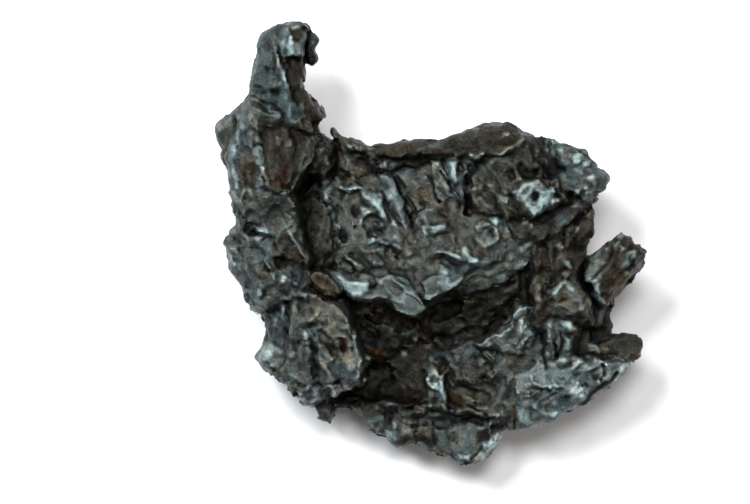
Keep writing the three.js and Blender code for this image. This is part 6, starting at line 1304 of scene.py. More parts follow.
        [(16.2, 0.4), (18.5, 0.7), (18.8, -1.2), (17.6, -1.8), (16.5, -1)],
        [(14.3, -5.1), (16, -4.6), (17.1, -5.7), (16.8, -7.1), (15.1, -7.1), (14.3, -6.2)],
        [(25.4, -17.1), (26.5, -16.8), (27.4, -17.6), (26.5, -18.5), (25.4, -18.2)],
        [(37.1, -4.6), (38.5, -4.9), (39.6, -6.2), (39.6, -7.4), (38.5, -6.8), (37.4, -5.7)],
        [(-59, 32.9), (-57.6, 32.6), (-57.1, 31.5), (-58.8, 30.7)],
        [(-55.1, 27.1), (-53.5, 26.8), (-53.2, 23.8), (-54.9, 23.2)],
        [(-48.8, 28.8), (-46.8, 28.5), (-46, 27.9), (-47.6, 27.6)],
        [(-49.9, 14.6), (-49, 14.6), (-49, 12.9), (-49.9, 12.9)],
        [(-44.9, -0.1), (-44, -0.7), (-43.8, -2.4), (-44.6, -2.4)],
        [(-51.8, -5.7), (-50.7, -6.2), (-51, -7.4), (-51.8, -7.4)],
        [(-53.2, -6), (-52.4, -6.2), (-52.4, -7.4), (-53.2, -7.1)],
        [(-39.3, -10.1), (-38.5, -10.1), (-38.5, -11.5), (-39.3, -11.2)],
        [(-47.1, -11.2), (-46, -11), (-46, -12.4), (-46.8, -12.4)],
        [(-35.1, -14), (-33.8, -13.8), (-33.5, -15.7), (-34.6, -16)],
        [(-38.5, -36), (-37.1, -35.7), (-37.1, -37.1), (-38.2, -37.6)],
        [(-19.3, -33.8), (-18.2, -33.8), (-18.5, -34.9), (-19.3, -35.1)],
        [(-23.2, -39), (-21.8, -38.8), (-22.1, -40.4), (-22.9, -40.4)],
        [(37.4, -26.5), (39.3, -26.2), (39, -29.6), (37.4, -29.6)],
        [(38.8, -34.9), (40.4, -34.6), (40.7, -36), (39, -36.5)],
        [(41.8, -42.9), (44.3, -42.1), (44.6, -43.2), (43.5, -44.9), (41.8, -44.3)],
        [(28.5, -45.1), (30.1, -44.6), (29.6, -46), (28.5, -46.2)],
        [(48.8, -34.9), (49.9, -35.1), (49.6, -37.4), (48.8, -37.9)],
        [(-12.1, -52.4), (-9.6, -52.1), (-8.8, -54.9), (-9.9, -55.4), (-11.5, -54)],
        [(10.7, -50.1), (12.4, -50.1), (12.4, -51.8), (10.7, -51.8)],
        [(9.3, -52.9), (11, -52.9), (11.2, -55.1), (9.6, -55.1)],
    ],
    "pale warm": [
        [(-3.8, 16.8), (-2.6, 17.1), (-2.4, 16), (-3.5, 15.7)],
        [(-5.7, -4.9), (-4.9, -5.1), (-4.3, -6), (-5.1, -6)],
        [(18.8, 13.2), (21.2, 14), (21.8, 12.1), (21, 10.7), (19, 11.2)],
        [(22.9, 12.9), (24.6, 12.6), (24.6, 10.4), (23.5, 10.4), (22.6, 11.8)],
        [(22.8, 16.2), (23.8, 16.2), (23.8, 15.1), (22.8, 15.1)],
        [(34, 18.2), (35.1, 18.5), (35.7, 17.6), (34.6, 17.4)],
        [(13.2, 1), (14.9, 1), (16, -0.4), (15.7, -1.5), (14.3, -0.7)],
        [(2.1, -2.4), (3.2, -2.1), (3.8, -3.5), (2.4, -3.8)],
        [(4.3, -2.4), (6, -2.1), (6.5, -3.2), (4.9, -3.8)],
        [(14.3, -7.6), (16.5, -7.6), (16.8, -8.5), (15.1, -9)],
        [(9.9, -8.5), (11.2, -7.9), (11.5, -9.9), (10.1, -10.1)],
        [(-4.6, -26.5), (-3.5, -26.5), (-3.5, -27.9), (-4.3, -27.9)],
        [(-8.2, -30.1), (-6.8, -30.1), (-6.5, -31.5), (-7.6, -31.8)],
        [(-1.2, -19), (0.1, -18.5), (0.1, -19.2), (-1, -19.6)],
        [(14, -32.6), (15.4, -32.9), (15.4, -34), (14, -34)],
        [(40.7, -15.7), (42.1, -15.4), (42.6, -16.8), (42.9, -18.2), (41.5, -17.9)],
        [(-37.6, 60.1), (-36.5, 60.1), (-36.2, 59.3), (-37.4, 59.3)],
        [(-45.4, 13.8), (-44, 13.8), (-44.3, 12.6), (-45.4, 12.4)],
        [(-35.4, 22.4), (-33.8, 23.2), (-33.8, 22.4), (-34.9, 20.4), (-36, 19.3), (-36.2, 20.1)],
        [(-54.9, -1.5), (-53.5, -1.5), (-53.5, -2.6), (-54.6, -2.6)],
        [(35.7, -46.8), (37.1, -46.5), (36.8, -47.6), (36, -47.6)],
        [(44.9, -31.8), (46, -31.8), (46.2, -34), (45.1, -34)],
        [(-11.8, -44.6), (-10.4, -44.6), (-10.4, -46), (-11.8, -46)],
        [(20.6, -43.9), (21.8, -44), (21.8, -45.1), (20.7, -45.1)],
    ],
    "grey": [
        [(-27.4, 17.4), (-26, 17.1), (-26, 15.1), (-27.1, 15.1)],
        [(-27.4, 9.3), (-25.7, 8.8), (-26, 6.5), (-27.4, 6.8)],
        [(-9.9, 4.6), (-8.8, 4.9), (-7.4, 2.9), (-7.6, 1), (-8.8, 1), (-9.9, 2.1)],
        [(12.1, -8.2), (14.3, -8.2), (14.6, -9.9), (12.6, -10.7)],
        [(-19, -29.9), (-17.6, -29.9), (-17.1, -31), (-18.8, -31)],
        [(-7.9, -24), (-6, -23.8), (-5.7, -25.7), (-7.1, -26.2)],
        [(0.4, -32.1), (1.8, -32.1), (2.1, -34), (0.7, -34)],
        [(6.8, -31.8), (7.9, -31.8), (8.2, -33.5), (7.1, -33.5)],
        [(14.3, -29.6), (16.8, -29.6), (16.8, -31.2), (14.6, -31.2)],
        [(32.4, -24), (33.8, -24), (34, -26.2), (32.6, -26.2)],
        [(35.1, -24), (36.2, -24), (36.2, -26), (35.1, -26)],
        [(45.4, -8.5), (46.8, -7.6), (47.4, -9), (46.2, -10.4)],
        [(-41.2, 59.3), (-38.8, 59.9), (-38.2, 58.2), (-39.3, 57.1), (-41.2, 57.4)],
        [(-37.6, 54), (-36, 54.9), (-35.1, 53.8), (-35.1, 52.1), (-36.2, 51), (-37.6, 51.5)],
        [(-43.2, 44.3), (-41.5, 44.3), (-41.5, 42.9), (-43.2, 42.9)],
        [(-51.2, 28.5), (-50.1, 29), (-50.1, 27.1), (-51, 26.5)],
        [(-48.2, 26.5), (-46.5, 26.5), (-46.8, 25.7), (-47.9, 26)],
        [(-32.1, 22.1), (-31, 22.1), (-31.2, 21), (-32.1, 21)],
        [(-46.8, 0.1), (-45.1, 0.4), (-44.9, -1.5), (-46.5, -1.8)],
        [(-43.2, -12.4), (-42.4, -12.6), (-42.6, -14.3), (-43.2, -14)],
        [(-43.5, -21), (-42.4, -21), (-42.4, -23.5), (-43.5, -23.2)],
        [(-32.9, -24.6), (-31.2, -24.6), (-31.2, -26), (-32.9, -26)],
        [(-27.4, -31.2), (-26, -31.2), (-26.2, -32.9), (-27.4, -32.9)],
        [(-46.5, -32.4), (-43.8, -32.4), (-43.8, -34), (-46.2, -34)],
        [(-30.4, -46.2), (-27.9, -46.5), (-27.4, -48.2), (-29.9, -48.5)],
        [(34, -22.9), (36.5, -22.4), (36.2, -23.8), (34.3, -24)],
        [(50.1, -32.6), (52.6, -32.4), (52.4, -34.3), (50.7, -35.4)],
        [(44.3, -27.6), (46.5, -27.6), (47.4, -30.4), (44.9, -30.1)],
        [(52.1, -31.2), (53.2, -31.2), (53.2, -32.2), (52.1, -32.1)],
        [(41.8, -31.2), (44.6, -31), (44.6, -32.6), (42.4, -32.6)],
        [(45.7, -42.4), (47.4, -41.8), (47.4, -43.2), (46, -43.5)],
        [(-14.6, -45), (-13.5, -45.1), (-13.5, -46.1), (-14.6, -46)],
        [(25.4, -50.4), (27.9, -50.1), (27.6, -51.5), (25.7, -51.8)],
    ],
    "tan": [
        [(-6, 3.8), (-4.6, 3.8), (-3.8, 2.1), (-4, -0.1), (-6, 0.1), (-6.5, 2.1)],
        [(2.1, 1.2), (3.2, 1.2), (3.5, 0.1), (2.4, -0.1)],
        [(12.1, 15.4), (14, 15.4), (14, 14), (12.4, 14)],
        [(29.9, -14), (30.7, -14), (30.7, -16), (29.9, -16)],
        [(-16.2, -16.5), (-14.9, -16.5), (-15.1, -17.6), (-16.2, -17.6)],
        [(-1.5, -28.2), (0.1, -27.4), (1, -28.2), (0.1, -29.3), (-1.2, -29.3)],
        [(6, -35.1), (8.2, -34.6), (8.2, -36.2), (6.5, -36.8)],
        [(36.5, -8.5), (37.9, -7.9), (38.8, -9), (37.9, -9.9), (36.8, -9.3)],
        [(34.6, -16.8), (37.1, -16.8), (37.6, -17.4), (35.1, -17.6)],
        [(58.5, -6.2), (59.6, -5.7), (59.6, -7.9), (58.8, -7.9)],
        [(-42.6, 29.3), (-41.2, 29.3), (-41.2, 27.1), (-42.4, 27.4)],
        [(-38.8, 28.2), (-37.9, 28.5), (-37.6, 26.8), (-38.5, 26.8)],
        [(-34.9, 26), (-33.5, 26.2), (-33.5, 24), (-34.3, 23.8)],
        [(-38.8, 16.5), (-37.1, 17.6), (-37.9, 15.7), (-38.8, 15.4)],
        [(-27.9, -27.9), (-26.5, -28.5), (-26.2, -30.1), (-27.4, -29.6)],
        [(-38.8, -30.1), (-36.5, -30.1), (-36.5, -32.1), (-38.8, -32.1)],
        [(-35.7, -35.4), (-34.3, -35.4), (-34.3, -36.8), (-35.4, -36.8)],
        [(48.5, -29), (50.4, -29.2), (50.1, -29.9), (48.5, -29.7)],
        [(-4, -46.8), (-2.4, -46.2), (-1.2, -46.8), (-2.4, -47.9), (-3.8, -48.2)],
        [(-9.6, -47.6), (-8.2, -47.9), (-8.2, -49.9), (-9.6, -49.9)],
        [(5.7, -51.5), (7.4, -51.5), (7.4, -53.8), (5.7, -53.8)],
        [(13.8, -45.4), (16, -45.7), (16.5, -46.8), (14.3, -46.5)],
    ],
    "pink": [
        [(20.4, 30.7), (21.8, 31), (21.8, 29.6), (20.4, 29.3)],
        [(28.8, -30.1), (30.1, -28.8), (32.1, -27.9), (32.1, -28.8), (30.7, -30.1), (29.3, -30.7)],
        [(57.1, -4), (59, -3.5), (59, -5.7), (57.4, -6.2)],
        [(-48.8, 41.2), (-46, 41), (-46, 39.6), (-47.9, 39.3)],
        [(-49.3, 38.5), (-47.9, 38.8), (-47.4, 37.4), (-48.8, 36.8)],
        [(-56.5, 34.3), (-54.9, 34.6), (-54.3, 32.4), (-55.4, 30.7), (-57.1, 31.5)],
        [(-42.4, -30.1), (-40.7, -30.1), (-40.7, -31.8), (-42.4, -31.8)],
        [(-27.9, -47.1), (-27.1, -47.6), (-26.5, -48.8), (-27.6, -48.8)],
        [(53.5, -32.1), (55.7, -31.5), (55.7, -33.2), (54, -33.2)],
        [(12.5, -50.1), (14.3, -50.1), (14.3, -51.5), (12.6, -51.5)],
        [(24.6, -42.1), (26.8, -41.4), (27.9, -42.1), (27.6, -42.9), (25.4, -42.6)],
    ],
    "blue": [
        [(34.6, 7.4), (36.8, 7.9), (37.6, 6.5), (36.2, 4.6), (34.3, 4.9)],
        [(-14.6, -27.4), (-13.2, -27.1), (-12.9, -28.5), (-14.3, -28.8)],
        [(0.7, -36.5), (2.1, -36.5), (2.4, -37.9), (1, -37.9)],
        [(2.1, -30.1), (3.8, -30.1), (3.8, -31.8), (2.4, -31.8)],
        [(10.1, -29.9), (14, -29.6), (14, -31), (10.4, -31.5)],
        [(34, -17.9), (36.2, -17.9), (36.8, -20.1), (34.6, -19.9)],
        [(-33.2, 56.2), (-31.5, 56.2), (-31.5, 55.1), (-32.9, 55.1)],
        [(-47.1, 49.9), (-44.3, 50.4), (-43.8, 48.2), (-46.5, 47.6)],
        [(-36.2, -31.8), (-34.3, -31.5), (-34, -34.6), (-36, -34.9)],
        [(40.4, -35.7), (42.1, -35.7), (42.4, -37.4), (40.7, -37.4)],
        [(37.4, -43.5), (39.3, -43.5), (39.3, -44.9), (37.6, -44.9)],
        [(44, -43.8), (46, -43.2), (45.7, -45.1), (44, -45.7)],
        [(0.4, -37.1), (1.5, -36.8), (2.4, -37.9), (1.2, -38.8), (0.4, -38.5)],
        [(9, -56.8), (12.4, -56.5), (12.4, -58.5), (9.3, -58.8)],
    ],
    "olive": [
        [(10.7, -10.4), (12.6, -10.1), (13.2, -11.8), (11.2, -11.8)],
        [(21.2, -31.8), (23.8, -31.8), (24.3, -34), (21.8, -34.6)],
        [(-57.9, 28.2), (-56, 28.5), (-55.7, 25.4), (-57.6, 25.4)],
        [(-48.8, -7.9), (-47.1, -7.9), (-47.1, -11.8), (-48.8, -11.8)],
        [(-26.5, -46.5), (-23.2, -46), (-22.6, -47.9), (-26, -48.8)],
        [(-22.1, -46), (-19.9, -46), (-19.6, -47.6), (-21.8, -47.9)],
        [(54.6, -26.4), (55.4, -26.4), (55.4, -27.4), (54.6, -27.2)],
        [(56.4, -26.5), (57.1, -26.5), (57.1, -27.2), (56.4, -27.2)],
        [(-8.5, -39.3), (-7.6, -39.3), (-6.2, -40.7), (-6.8, -41)],
        [(20.7, -46.5), (22.9, -46.5), (22.9, -50.1), (21, -50.1)],
    ],
    "brown": [
        [(-40.1, 51.5), (-37.9, 51.2), (-38.2, 48.2), (-39.6, 48.2)],
        [(-32.9, -9.3), (-31.2, -8.5), (-29.9, -9.9), (-30.4, -11.5), (-32.1, -11.2)],
        [(-29, -28.2), (-27.9, -26.8), (-26.5, -27.4), (-26, -28.8), (-26.8, -30.4), (-28.2, -29.9)],
        [(-43.8, -34.3), (-40.7, -34.6), (-40.4, -37.1), (-43.2, -36.5)],
    ],
    "rust": [
        [(-15.1, -29.9), (-13.8, -29.3), (-12.6, -30.1), (-12.9, -31.2), (-14.3, -31)],
        [(36.2, -14.6), (38.5, -14.6), (38.2, -15.7), (36.5, -16)],
        [(-16.2, -29), (-13.8, -29), (-13.5, -31.8), (-15.7, -31.8)],
        [(5.7, -42.1), (9.3, -42.4), (9.3, -44.6), (6, -44.3)],
    ],
    "dark": [
        [(-22.1, 25.7), (-20.4, 25.7), (-20.1, 24.6), (-21.5, 24.3)],
        [(-21.5, 10.4), (-19.3, 10.4), (-19, 8.5), (-20.1, 7.4), (-21.5, 7.9)],
        [(-24.9, 14.3), (-23.2, 14), (-23.5, 12.1), (-24.9, 12.4)],
        [(-16.5, -10.7), (-14.6, -11), (-14.9, -12.4), (-16.5, -12.4)],
        [(28.2, 14.9), (29.3, 14.9), (30.1, 13.2), (29.9, 11.2), (28.8, 11.2), (28.2, 12.9)],
        [(34, 21.5), (37.9, 21), (37.9, 20.1), (34.3, 20.4)],
        [(52.9, 1.2), (54.3, 1), (54, -1), (52.9, -0.7)],
        [(-44, 41.8), (-42.9, 42.4), (-41.8, 41.8), (-41.8, 40.7), (-43.2, 40.7)],
        [(37.6, -24.3), (39.3, -24.9), (39.3, -26.2), (37.6, -26.2)],
        [(45.1, -36.2), (47.1, -36.2), (47.4, -37.9), (45.7, -37.9)],
        [(1, -43.2), (2.1, -43.2), (2.1, -44.9), (1, -45.7)],
        [(-12.6, -46), (-9.3, -45.7), (-9, -47.4), (-12.4, -47.4)],
        [(-15.1, -50), (-14.4, -50), (-14.4, -50.7), (-15.1, -50.7)],
        [(6.4, -52.6), (6.9, -52.6), (6.9, -53.2), (6.4, -53.2)],
        [(16.8, -49.9), (20.7, -49.6), (20.7, -52.1), (17.4, -52.1)],
    ],
    "pit": [
        [(-24.3, 1.8), (-23.2, 2.1), (-22.6, 1.2), (-23.2, 0.1), (-24, 0.4)],
        [(34.3, 14.9), (35.7, 14.9), (37.1, 13.2), (36.2, 12.4), (34.3, 12.9)],
        [(-49.9, 3.8), (-48.2, 3.8), (-47.4, 2.1), (-49.3, 1.5)],
        [(-42.9, -3.8), (-40.4, -4), (-39.3, -6.2), (-41, -7.6), (-42.6, -6.8)],
        [(-41, -12.6), (-38.5, -12.9), (-38.8, -14.6), (-40.7, -14.3)],
    ],
}
FLAKE_EDGE = 0.45
FLAKE_SPREAD = 0.1
FLAKE_SUNK = 0.6
FLAKE_LEAN = 0.30
FLAKE_COVERS = 0.6
FLAKE_ROUGH = 1.0
FLAKE_PATCHY = 0.32
LEVEL_SHINE = 0.35
LEAN_REACH = 2.5

flake_sheet = np.zeros(plan_x.shape)


def lay_flake(part, share, middle, kind, rise):
    """Raises or sinks one flake and gives it its own finish, painted light or shade included."""
    shine, brown = KINDS[kind][:2]
    rise = rise if rise > 0 else FLAKE_SUNK * rise
    along = RUBBED_SIDE[0] * (plan_x[part] - middle[0]) + RUBBED_SIDE[1] * (plan_y[part] - middle[1])
    lean = FLAKE_LEAN * (shine - LEVEL_SHINE) * np.clip(along, -LEAN_REACH, LEAN_REACH)
    flake_sheet[part] += share * (rise - lean - FLAKE_COVERS * flake_sheet[part])
    blend(bare_and_lit_sheet, part, share, shine * (1.0 + FLAKE_PATCHY * patchy[part]))
    blend(brown_sheet, part, share, brown)
    blend(rough_sheet, part, share, FLAKE_ROUGH)


small_flakes = [("flake", kind, KINDS[kind][2], corners) for kind in FLAKES for corners in FLAKES[kind]]
for name, kind, rise, corners in FACES + small_flakes:
    part = window(corners, SPARE)
    inside = FLAKE_SPREAD + inside_distance(corners, ragged_x[part], ragged_y[part])
    share = smooth_step((inside + FLAKE_EDGE) / (2 * FLAKE_EDGE))
    lay_flake(part, share, middle_of(corners), kind, rise)

# ---------------------------------------------------------------------------------------------
# Fine lines: rubbed edges with painted highlights, dull creases, and painted shade in the seams between the
# flakes.
# Every kind is how bare and lit it looks, how brown, and how far it stands up or sinks.
LINE_KINDS = {
    "bright": (0.7, 0.1, 0.26),
    "pale": (0.55, 0.08, 0.26),
    "warm": (0.5, 0.5, 0.2),
    "dull": (0.36, 0.3, 0.15),
    "dark": (0.1, 0.3, -0.35),
    "deep": (0.05, 0.4, -0.4),
}
# The lines, by their kind: half the width and the path of each.
LINES = {
    "bright": [
        (0.4, [(-1.5, -15.1), (0.7, -14.3), (3.2, -12.9), (5.7, -11.8), (9, -10.1)]),
        (0.5, [(17.1, 22.6), (18.8, 24), (20.7, 25.1)]),
        (0.4, [(20.1, 6.8), (21.2, 5.7), (22.1, 4)]),
        (0.6, [(34, -14), (34.9, -12.6), (36.2, -11.5), (37.6, -10.7), (38.8, -11.8), (39.6, -12.9)]),
        (0.4, [(37.4, -11.2), (38.2, -10.7)]), (0.4, [(38.5, -12.4), (39.3, -12.9)]),
        (0.5, [(-54.3, 22.6), (-54, 19.9), (-53.5, 17.1), (-52.9, 14.9)]),
        (0.4, [(-55.4, -3.2), (-54.9, -4.9), (-53.8, -6.5)]),
        (0.4, [(-47.1, -30.4), (-46.8, -32.4)]), (0.4, [(-38.8, -38.2), (-38.2, -39)]),
        (0.4, [(-20.7, -25.1), (-19.9, -27.4), (-19.3, -29.9)]),
    ],
    "pale": [
        (0.4, [(-24, 26), (-23.2, 24.3), (-22.9, 21.8), (-23.2, 20.4)]),
        (0.5, [(-14.6, 23.2), (-13.2, 21.2)]), (0.5, [(-12.9, 23.5), (-11.8, 21.2)]),
        (0.5, [(-21.2, 11.2), (-20.1, 11.8)]), (0.6, [(-1.8, 7.9), (-0.4, 6)]),
        (0.4, [(-0.7, 9), (0.7, 9.3)]), (0.4, [(22.1, 15.1), (22.6, 14.6)]),
        (0.4, [(24.3, 17.6), (26, 16.5)]), (0.5, [(40.1, 20.7), (42.1, 19.6)]),
        (0.4, [(32.4, 27.9), (32.9, 25.4)]), (0.4, [(34, 27.1), (34.6, 24.3)]),
        (0.4, [(19, 3.2), (19.6, 1.8), (18.8, 0.7)]),
        (0.4, [(-22.6, -20.4), (-22.1, -22.6), (-21, -24.9), (-20.1, -27.1)]),
        (0.4, [(-19.6, -32.9), (-19, -35.1), (-19.9, -37.6)]),
        (0.4, [(-10.7, -27.9), (-9.9, -28.8), (-9, -29.3)]),
        (0.4, [(6.5, -25.1), (7.9, -24.3), (9.6, -24.3)]), (0.4, [(17.4, -27.1), (18.5, -28.2)]),
        (0.4, [(21, -23.8), (22.1, -26)]), (0.5, [(33.5, -26.2), (33.2, -29.6), (32.6, -32.9)]),
        (0.4, [(34.3, 1), (35.4, 1.2), (36.8, 1.5)]), (0.4, [(40.4, 3.2), (41.2, 4.3)]),
        (0.4, [(35.1, -13.8), (36, -14)]), (0.4, [(50.7, -1), (52.1, 0.4)]),
        (0.4, [(-39.9, 44.3), (-39.3, 42.1)]),
        (0.4, [(-38.8, 34.9), (-38.2, 33.5), (-36.8, 33.2), (-35.4, 34.3), (-34, 35.1)]),
        (0.4, [(-39.3, 38.8), (-39, 36.5), (-39, 34.9)]), (0.5, [(-53.8, 13.8), (-53.2, 11.5)]),
        (0.4, [(-49.3, 29.6), (-48.5, 30.4), (-47.6, 29.9)]), (0.6, [(-53.2, 31), (-53.2, 27.1)]),
        (0.4, [(-38.2, 2.4), (-36.8, 0.1)]), (0.4, [(-38.5, 7.1), (-38.2, 6.2)]),
        (0.4, [(-52.4, -0.7), (-51.8, -2.4)]), (0.4, [(-44.9, -5.1), (-43.8, -7.1)]),
        (0.4, [(-46.2, -5.7), (-45.4, -6)]), (0.4, [(-48.5, -3.8), (-47.9, -4.3)]),
        (0.4, [(-43.8, -8.2), (-42.9, -9), (-42.9, -10.7)]),
        (0.5, [(-50.4, -12.6), (-49.3, -13.8)]), (0.4, [(-33.8, -27.4), (-33.8, -29.6)]),
        (0.4, [(-29, -30.7), (-27.9, -31.8), (-26.8, -32.6)]),
        (0.4, [(-28.2, -37.9), (-27.6, -38.5)]), (0.6, [(-35.1, -41), (-33.8, -40.4)]),
        (0.6, [(-32.4, -40.1), (-31.2, -41)]),
        (0.4, [(-30.1, -29.6), (-28.8, -30.7), (-27.6, -31.5)]),
        (0.4, [(-19, -30.1), (-18.2, -31.5)]),
        (0.4, [(29.6, -29.3), (31.5, -28.2), (32.4, -27.6)]),
        (0.4, [(33.5, -34), (35.1, -35.4), (37.1, -35.7), (39, -34.9)]),
        (0.4, [(37.1, -37.6), (39, -37.1), (41, -37.6), (42.6, -36.8)]),
        (0.4, [(36.8, -39), (38.8, -38.2), (40.1, -38.5)]),
        (0.4, [(25.4, -43.2), (27.9, -42.6), (30.1, -41.5), (32.1, -40.7)]),
        (0.4, [(32.4, -42.4), (35.1, -41.5), (37.9, -42.1)]),
        (0.4, [(16.8, -50.1), (18.2, -49.3), (20.4, -47.5)]),
    ],
    "warm": [
        (0.6, [(-22.6, 23.2), (-22.1, 20.4), (-21.5, 18.2)]),
        (0.6, [(-10.7, -2.4), (-9.9, -4.3), (-8.5, -6), (-7.1, -7.4)]),
        (0.4, [(-8.2, -3.5), (-5.7, -3.8)]), (0.4, [(20.7, 25.1), (22.9, 26.8), (24.6, 27.9)]),
        (0.4, [(16, 16), (17.4, 15.7)]), (0.4, [(17.9, 17.6), (17.9, 17.1)]),
        (0.4, [(18.8, 16.2), (18.8, 15.4)]), (0.4, [(20.7, 16), (21, 15.1)]),
        (0.4, [(13.8, 16), (14.3, 15.1)]), (0.5, [(14, 12.1), (15.7, 10.7), (17.4, 9.9)]),
        (0.5, [(29.3, 25.4), (30.1, 23.2), (29.9, 21.5)]),
        (0.4, [(36, 16.5), (37.1, 15.4), (37.6, 13.5), (38.2, 12.4)]),
        (0.4, [(22.1, -4.6), (22.9, -4.6)]), (0.4, [(26, 6.8), (26.2, 5.4)]),
        (0.4, [(27.1, 7.1), (27.1, 5.4)]), (0.4, [(28.2, 5.4), (28.5, 3.8)]),
        (0.4, [(-1.2, -22.1), (-1, -22.9)]),
        (0.4, [(19.6, -34), (19, -35.4), (17.4, -36.2), (16.2, -36)]),
        (0.4, [(16.2, -38.2), (17.6, -37.4)]), (0.4, [(16.5, -31), (17.9, -32.4)]),
        (0.4, [(9.3, -35.7), (10.1, -37.6)]), (0.4, [(54.3, -7.9), (54.9, -7.9)]),
        (0.4, [(-42.6, 37.6), (-42.6, 36.2)]), (0.4, [(-48.5, 34.9), (-47.4, 33.2), (-46, 31.5)]),
        (0.4, [(-51, 14.3), (-51.8, 12.6)]), (0.4, [(-40.1, 6), (-38.8, 2.9)]),
        (0.4, [(-35.7, -0.7), (-34.6, -2.9), (-33.5, -4.6)]),
        (0.4, [(-40.7, -7.4), (-39.3, -8.8)]),
        (0.4, [(-34.9, -22.1), (-33.2, -21.2), (-31.8, -19.9)]),
        (0.4, [(-31, -19.9), (-29.6, -21)]),
        (0.4, [(-29.9, -27.9), (-30.7, -29), (-31, -30.4), (-30.1, -31.5)]),
        (0.4, [(-26.2, -25.7), (-23.5, -25.7)]),
        (0.4, [(-36.8, -37.6), (-35.4, -38.5), (-34, -37.6)]),
        (0.4, [(-26.5, -39.3), (-25.1, -38.8), (-24.3, -39.9), (-24.6, -41.5)]),
        (0.4, [(-30.1, -32.4), (-29, -34), (-27.9, -35.7), (-27.1, -37.6)]),
        (0.4, [(-14.6, -45.4), (-13.8, -45.7)]), (0.4, [(44.9, -27.4), (46, -27.6)]),
        (0.4, [(5.4, -46.9), (7.4, -47.5), (9, -47.1), (10.7, -46.7), (12.1, -46.9)]),
        (0.4, [(-0.4, -49.3), (0.7, -50.1), (1.2, -51.5)]),
        (0.4, [(11.2, -44.9), (13.8, -46), (16.2, -46.8)]),
    ],
    "dull": [
        (0.7, [(-26.2, 31.5), (-26, 29.9), (-25.4, 28.2)]), (0.6, [(-24.6, 24.6), (-24, 21)]),
        (0.4, [(-16.5, 21.8), (-15.7, 19.6), (-14.9, 18.2)]),
        (0.4, [(-7.1, 24.6), (-5.4, 24.3), (-3.8, 24.9), (-1.5, 26)]),
        (0.4, [(-6.8, 17.6), (-6, 15.4)]), (0.4, [(0.7, 16.5), (1.2, 15.6), (2.4, 15.4)]),
        (0.4, [(-24.6, 0.7), (-24, -0.7), (-22.6, -0.7), (-22.1, 0.7)]),
        (0.4, [(3.2, 8.5), (4.9, 7.6)]), (0.4, [(16.2, 21.5), (16.2, 20.4)]),
        (0.4, [(18.2, 20.4), (18.5, 18.8)]), (0.4, [(24, 19.6), (24.3, 18.8)]),
        (0.4, [(32.4, 23.2), (32.6, 22.1)]), (0.4, [(39.6, 10.4), (41.2, 11)]),
        (0.5, [(19, -6.8), (20.7, -6.2)]), (0.4, [(14, -18.2), (15.4, -17.4)]),
        (0.4, [(7.1, -18.5), (7.9, -18.5)]), (0.4, [(18.8, -11.5), (19.3, -11.8)]),
        (0.4, [(12.1, -21), (13.8, -20.4), (14.6, -19.6)]), (0.4, [(13.2, -23.5), (13.8, -22.1)]),
        (0.4, [(10.4, -15.1), (11.5, -15.4)]), (0.4, [(16, -14.9), (17.4, -14.3)]),
        (0.4, [(20.4, -15.7), (21.5, -14.9)]), (0.4, [(31, 6.8), (32.1, 7.4)]),
        (0.5, [(-8.8, -21.2), (-9.6, -23.5), (-10.4, -25.4)]),
        (0.4, [(-17.4, -14.6), (-16.2, -15.1)]), (0.4, [(1.5, -24.6), (2.1, -25.1)]),
        (0.4, [(-7.9, -39.3), (-6.8, -40.4)]), (0.4, [(-21.5, -15.1), (-19.9, -15.4)]),
        (0.4, [(-13.5, -17.1), (-14.3, -19.9), (-15.1, -21.8)]),
        (0.4, [(-11.2, -19.3), (-12.1, -21.8)]), (0.4, [(10.7, -32.4), (11.2, -33.5)]),
        (0.4, [(15.7, -39.6), (16.2, -41)]), (0.4, [(19, -39.6), (19.6, -41)]),
        (0.4, [(35.1, -4.3), (36.2, -3.2)]), (0.4, [(41.8, -18.8), (42.9, -19.3)]),
        (0.5, [(47.1, -16.5), (47.1, -20.7)]), (0.6, [(45.1, -22.4), (46.8, -22.9)]),
        (0.4, [(-52.6, 26.8), (-52.1, 26.2), (-51.2, 26.5)]), (0.4, [(-39.6, 27.6), (-39, 26.5)]),
        (0.4, [(-34.6, 30.1), (-34, 28.5)]), (0.5, [(-28.8, 24), (-27.9, 21.8)]),
        (0.4, [(-31.8, 16.5), (-31.2, 14.6)]), (0.4, [(-37.1, 6), (-35.4, 2.4)]),
        (0.4, [(-42.6, -11.5), (-41.8, -12.4)]), (0.4, [(-23.8, -16.5), (-22.6, -19.6)]),
        (0.4, [(-40.1, -20.7), (-39, -22.6)]), (0.4, [(-41.2, -32.9), (-40.4, -35.1)]),
        (0.4, [(12.1, -47.1), (14, -47.9), (15.4, -48.6), (16.2, -48.2)]),
        (0.4, [(-4.9, -53.8), (-3.5, -51.8), (-1.8, -51.2)]),
    ],
    "dark": [
        (0.4, [(-23.5, -4.6), (-20.7, -7.1)]), (0.4, [(35.1, -26.8), (35.1, -31.2)]),
        (0.4, [(-48.5, 43.8), (-46.5, 43.2)]), (0.6, [(-45.4, -6.2), (-44.3, -7.1)]),
        (0.5, [(-46.5, -15.1), (-45.4, -13.2)]), (0.4, [(-39.3, -16.5), (-39.3, -19.3)]),
        (0.7, [(-32.9, -27.4), (-32.4, -30.1), (-32.6, -32.9)]),
        (0.4, [(35.4, -25.4), (35.1, -28.2), (35.4, -30.7), (34.6, -32.9)]),
        (0.4, [(36.5, -24.6), (36.8, -27.4), (36.2, -29.6)]),
        (0.4, [(42.4, -39.3), (43.5, -38.5), (44, -39.6)]),
        (0.4, [(48.2, -33.2), (48.5, -35.1), (48.5, -36.8), (47.6, -38.5)]),
        (0.4, [(31, -40.7), (32.4, -40.4), (33.5, -41.2)]),
        (0.4, [(1.2, -50.4), (1.8, -52.9), (1.8, -55.7)]),
        (0.4, [(-12.6, -51.2), (-11, -50.1), (-10.7, -47.9)]),
        (0.4, [(11.8, -59.9), (13.5, -58.2), (14.6, -56.5)]),
    ],
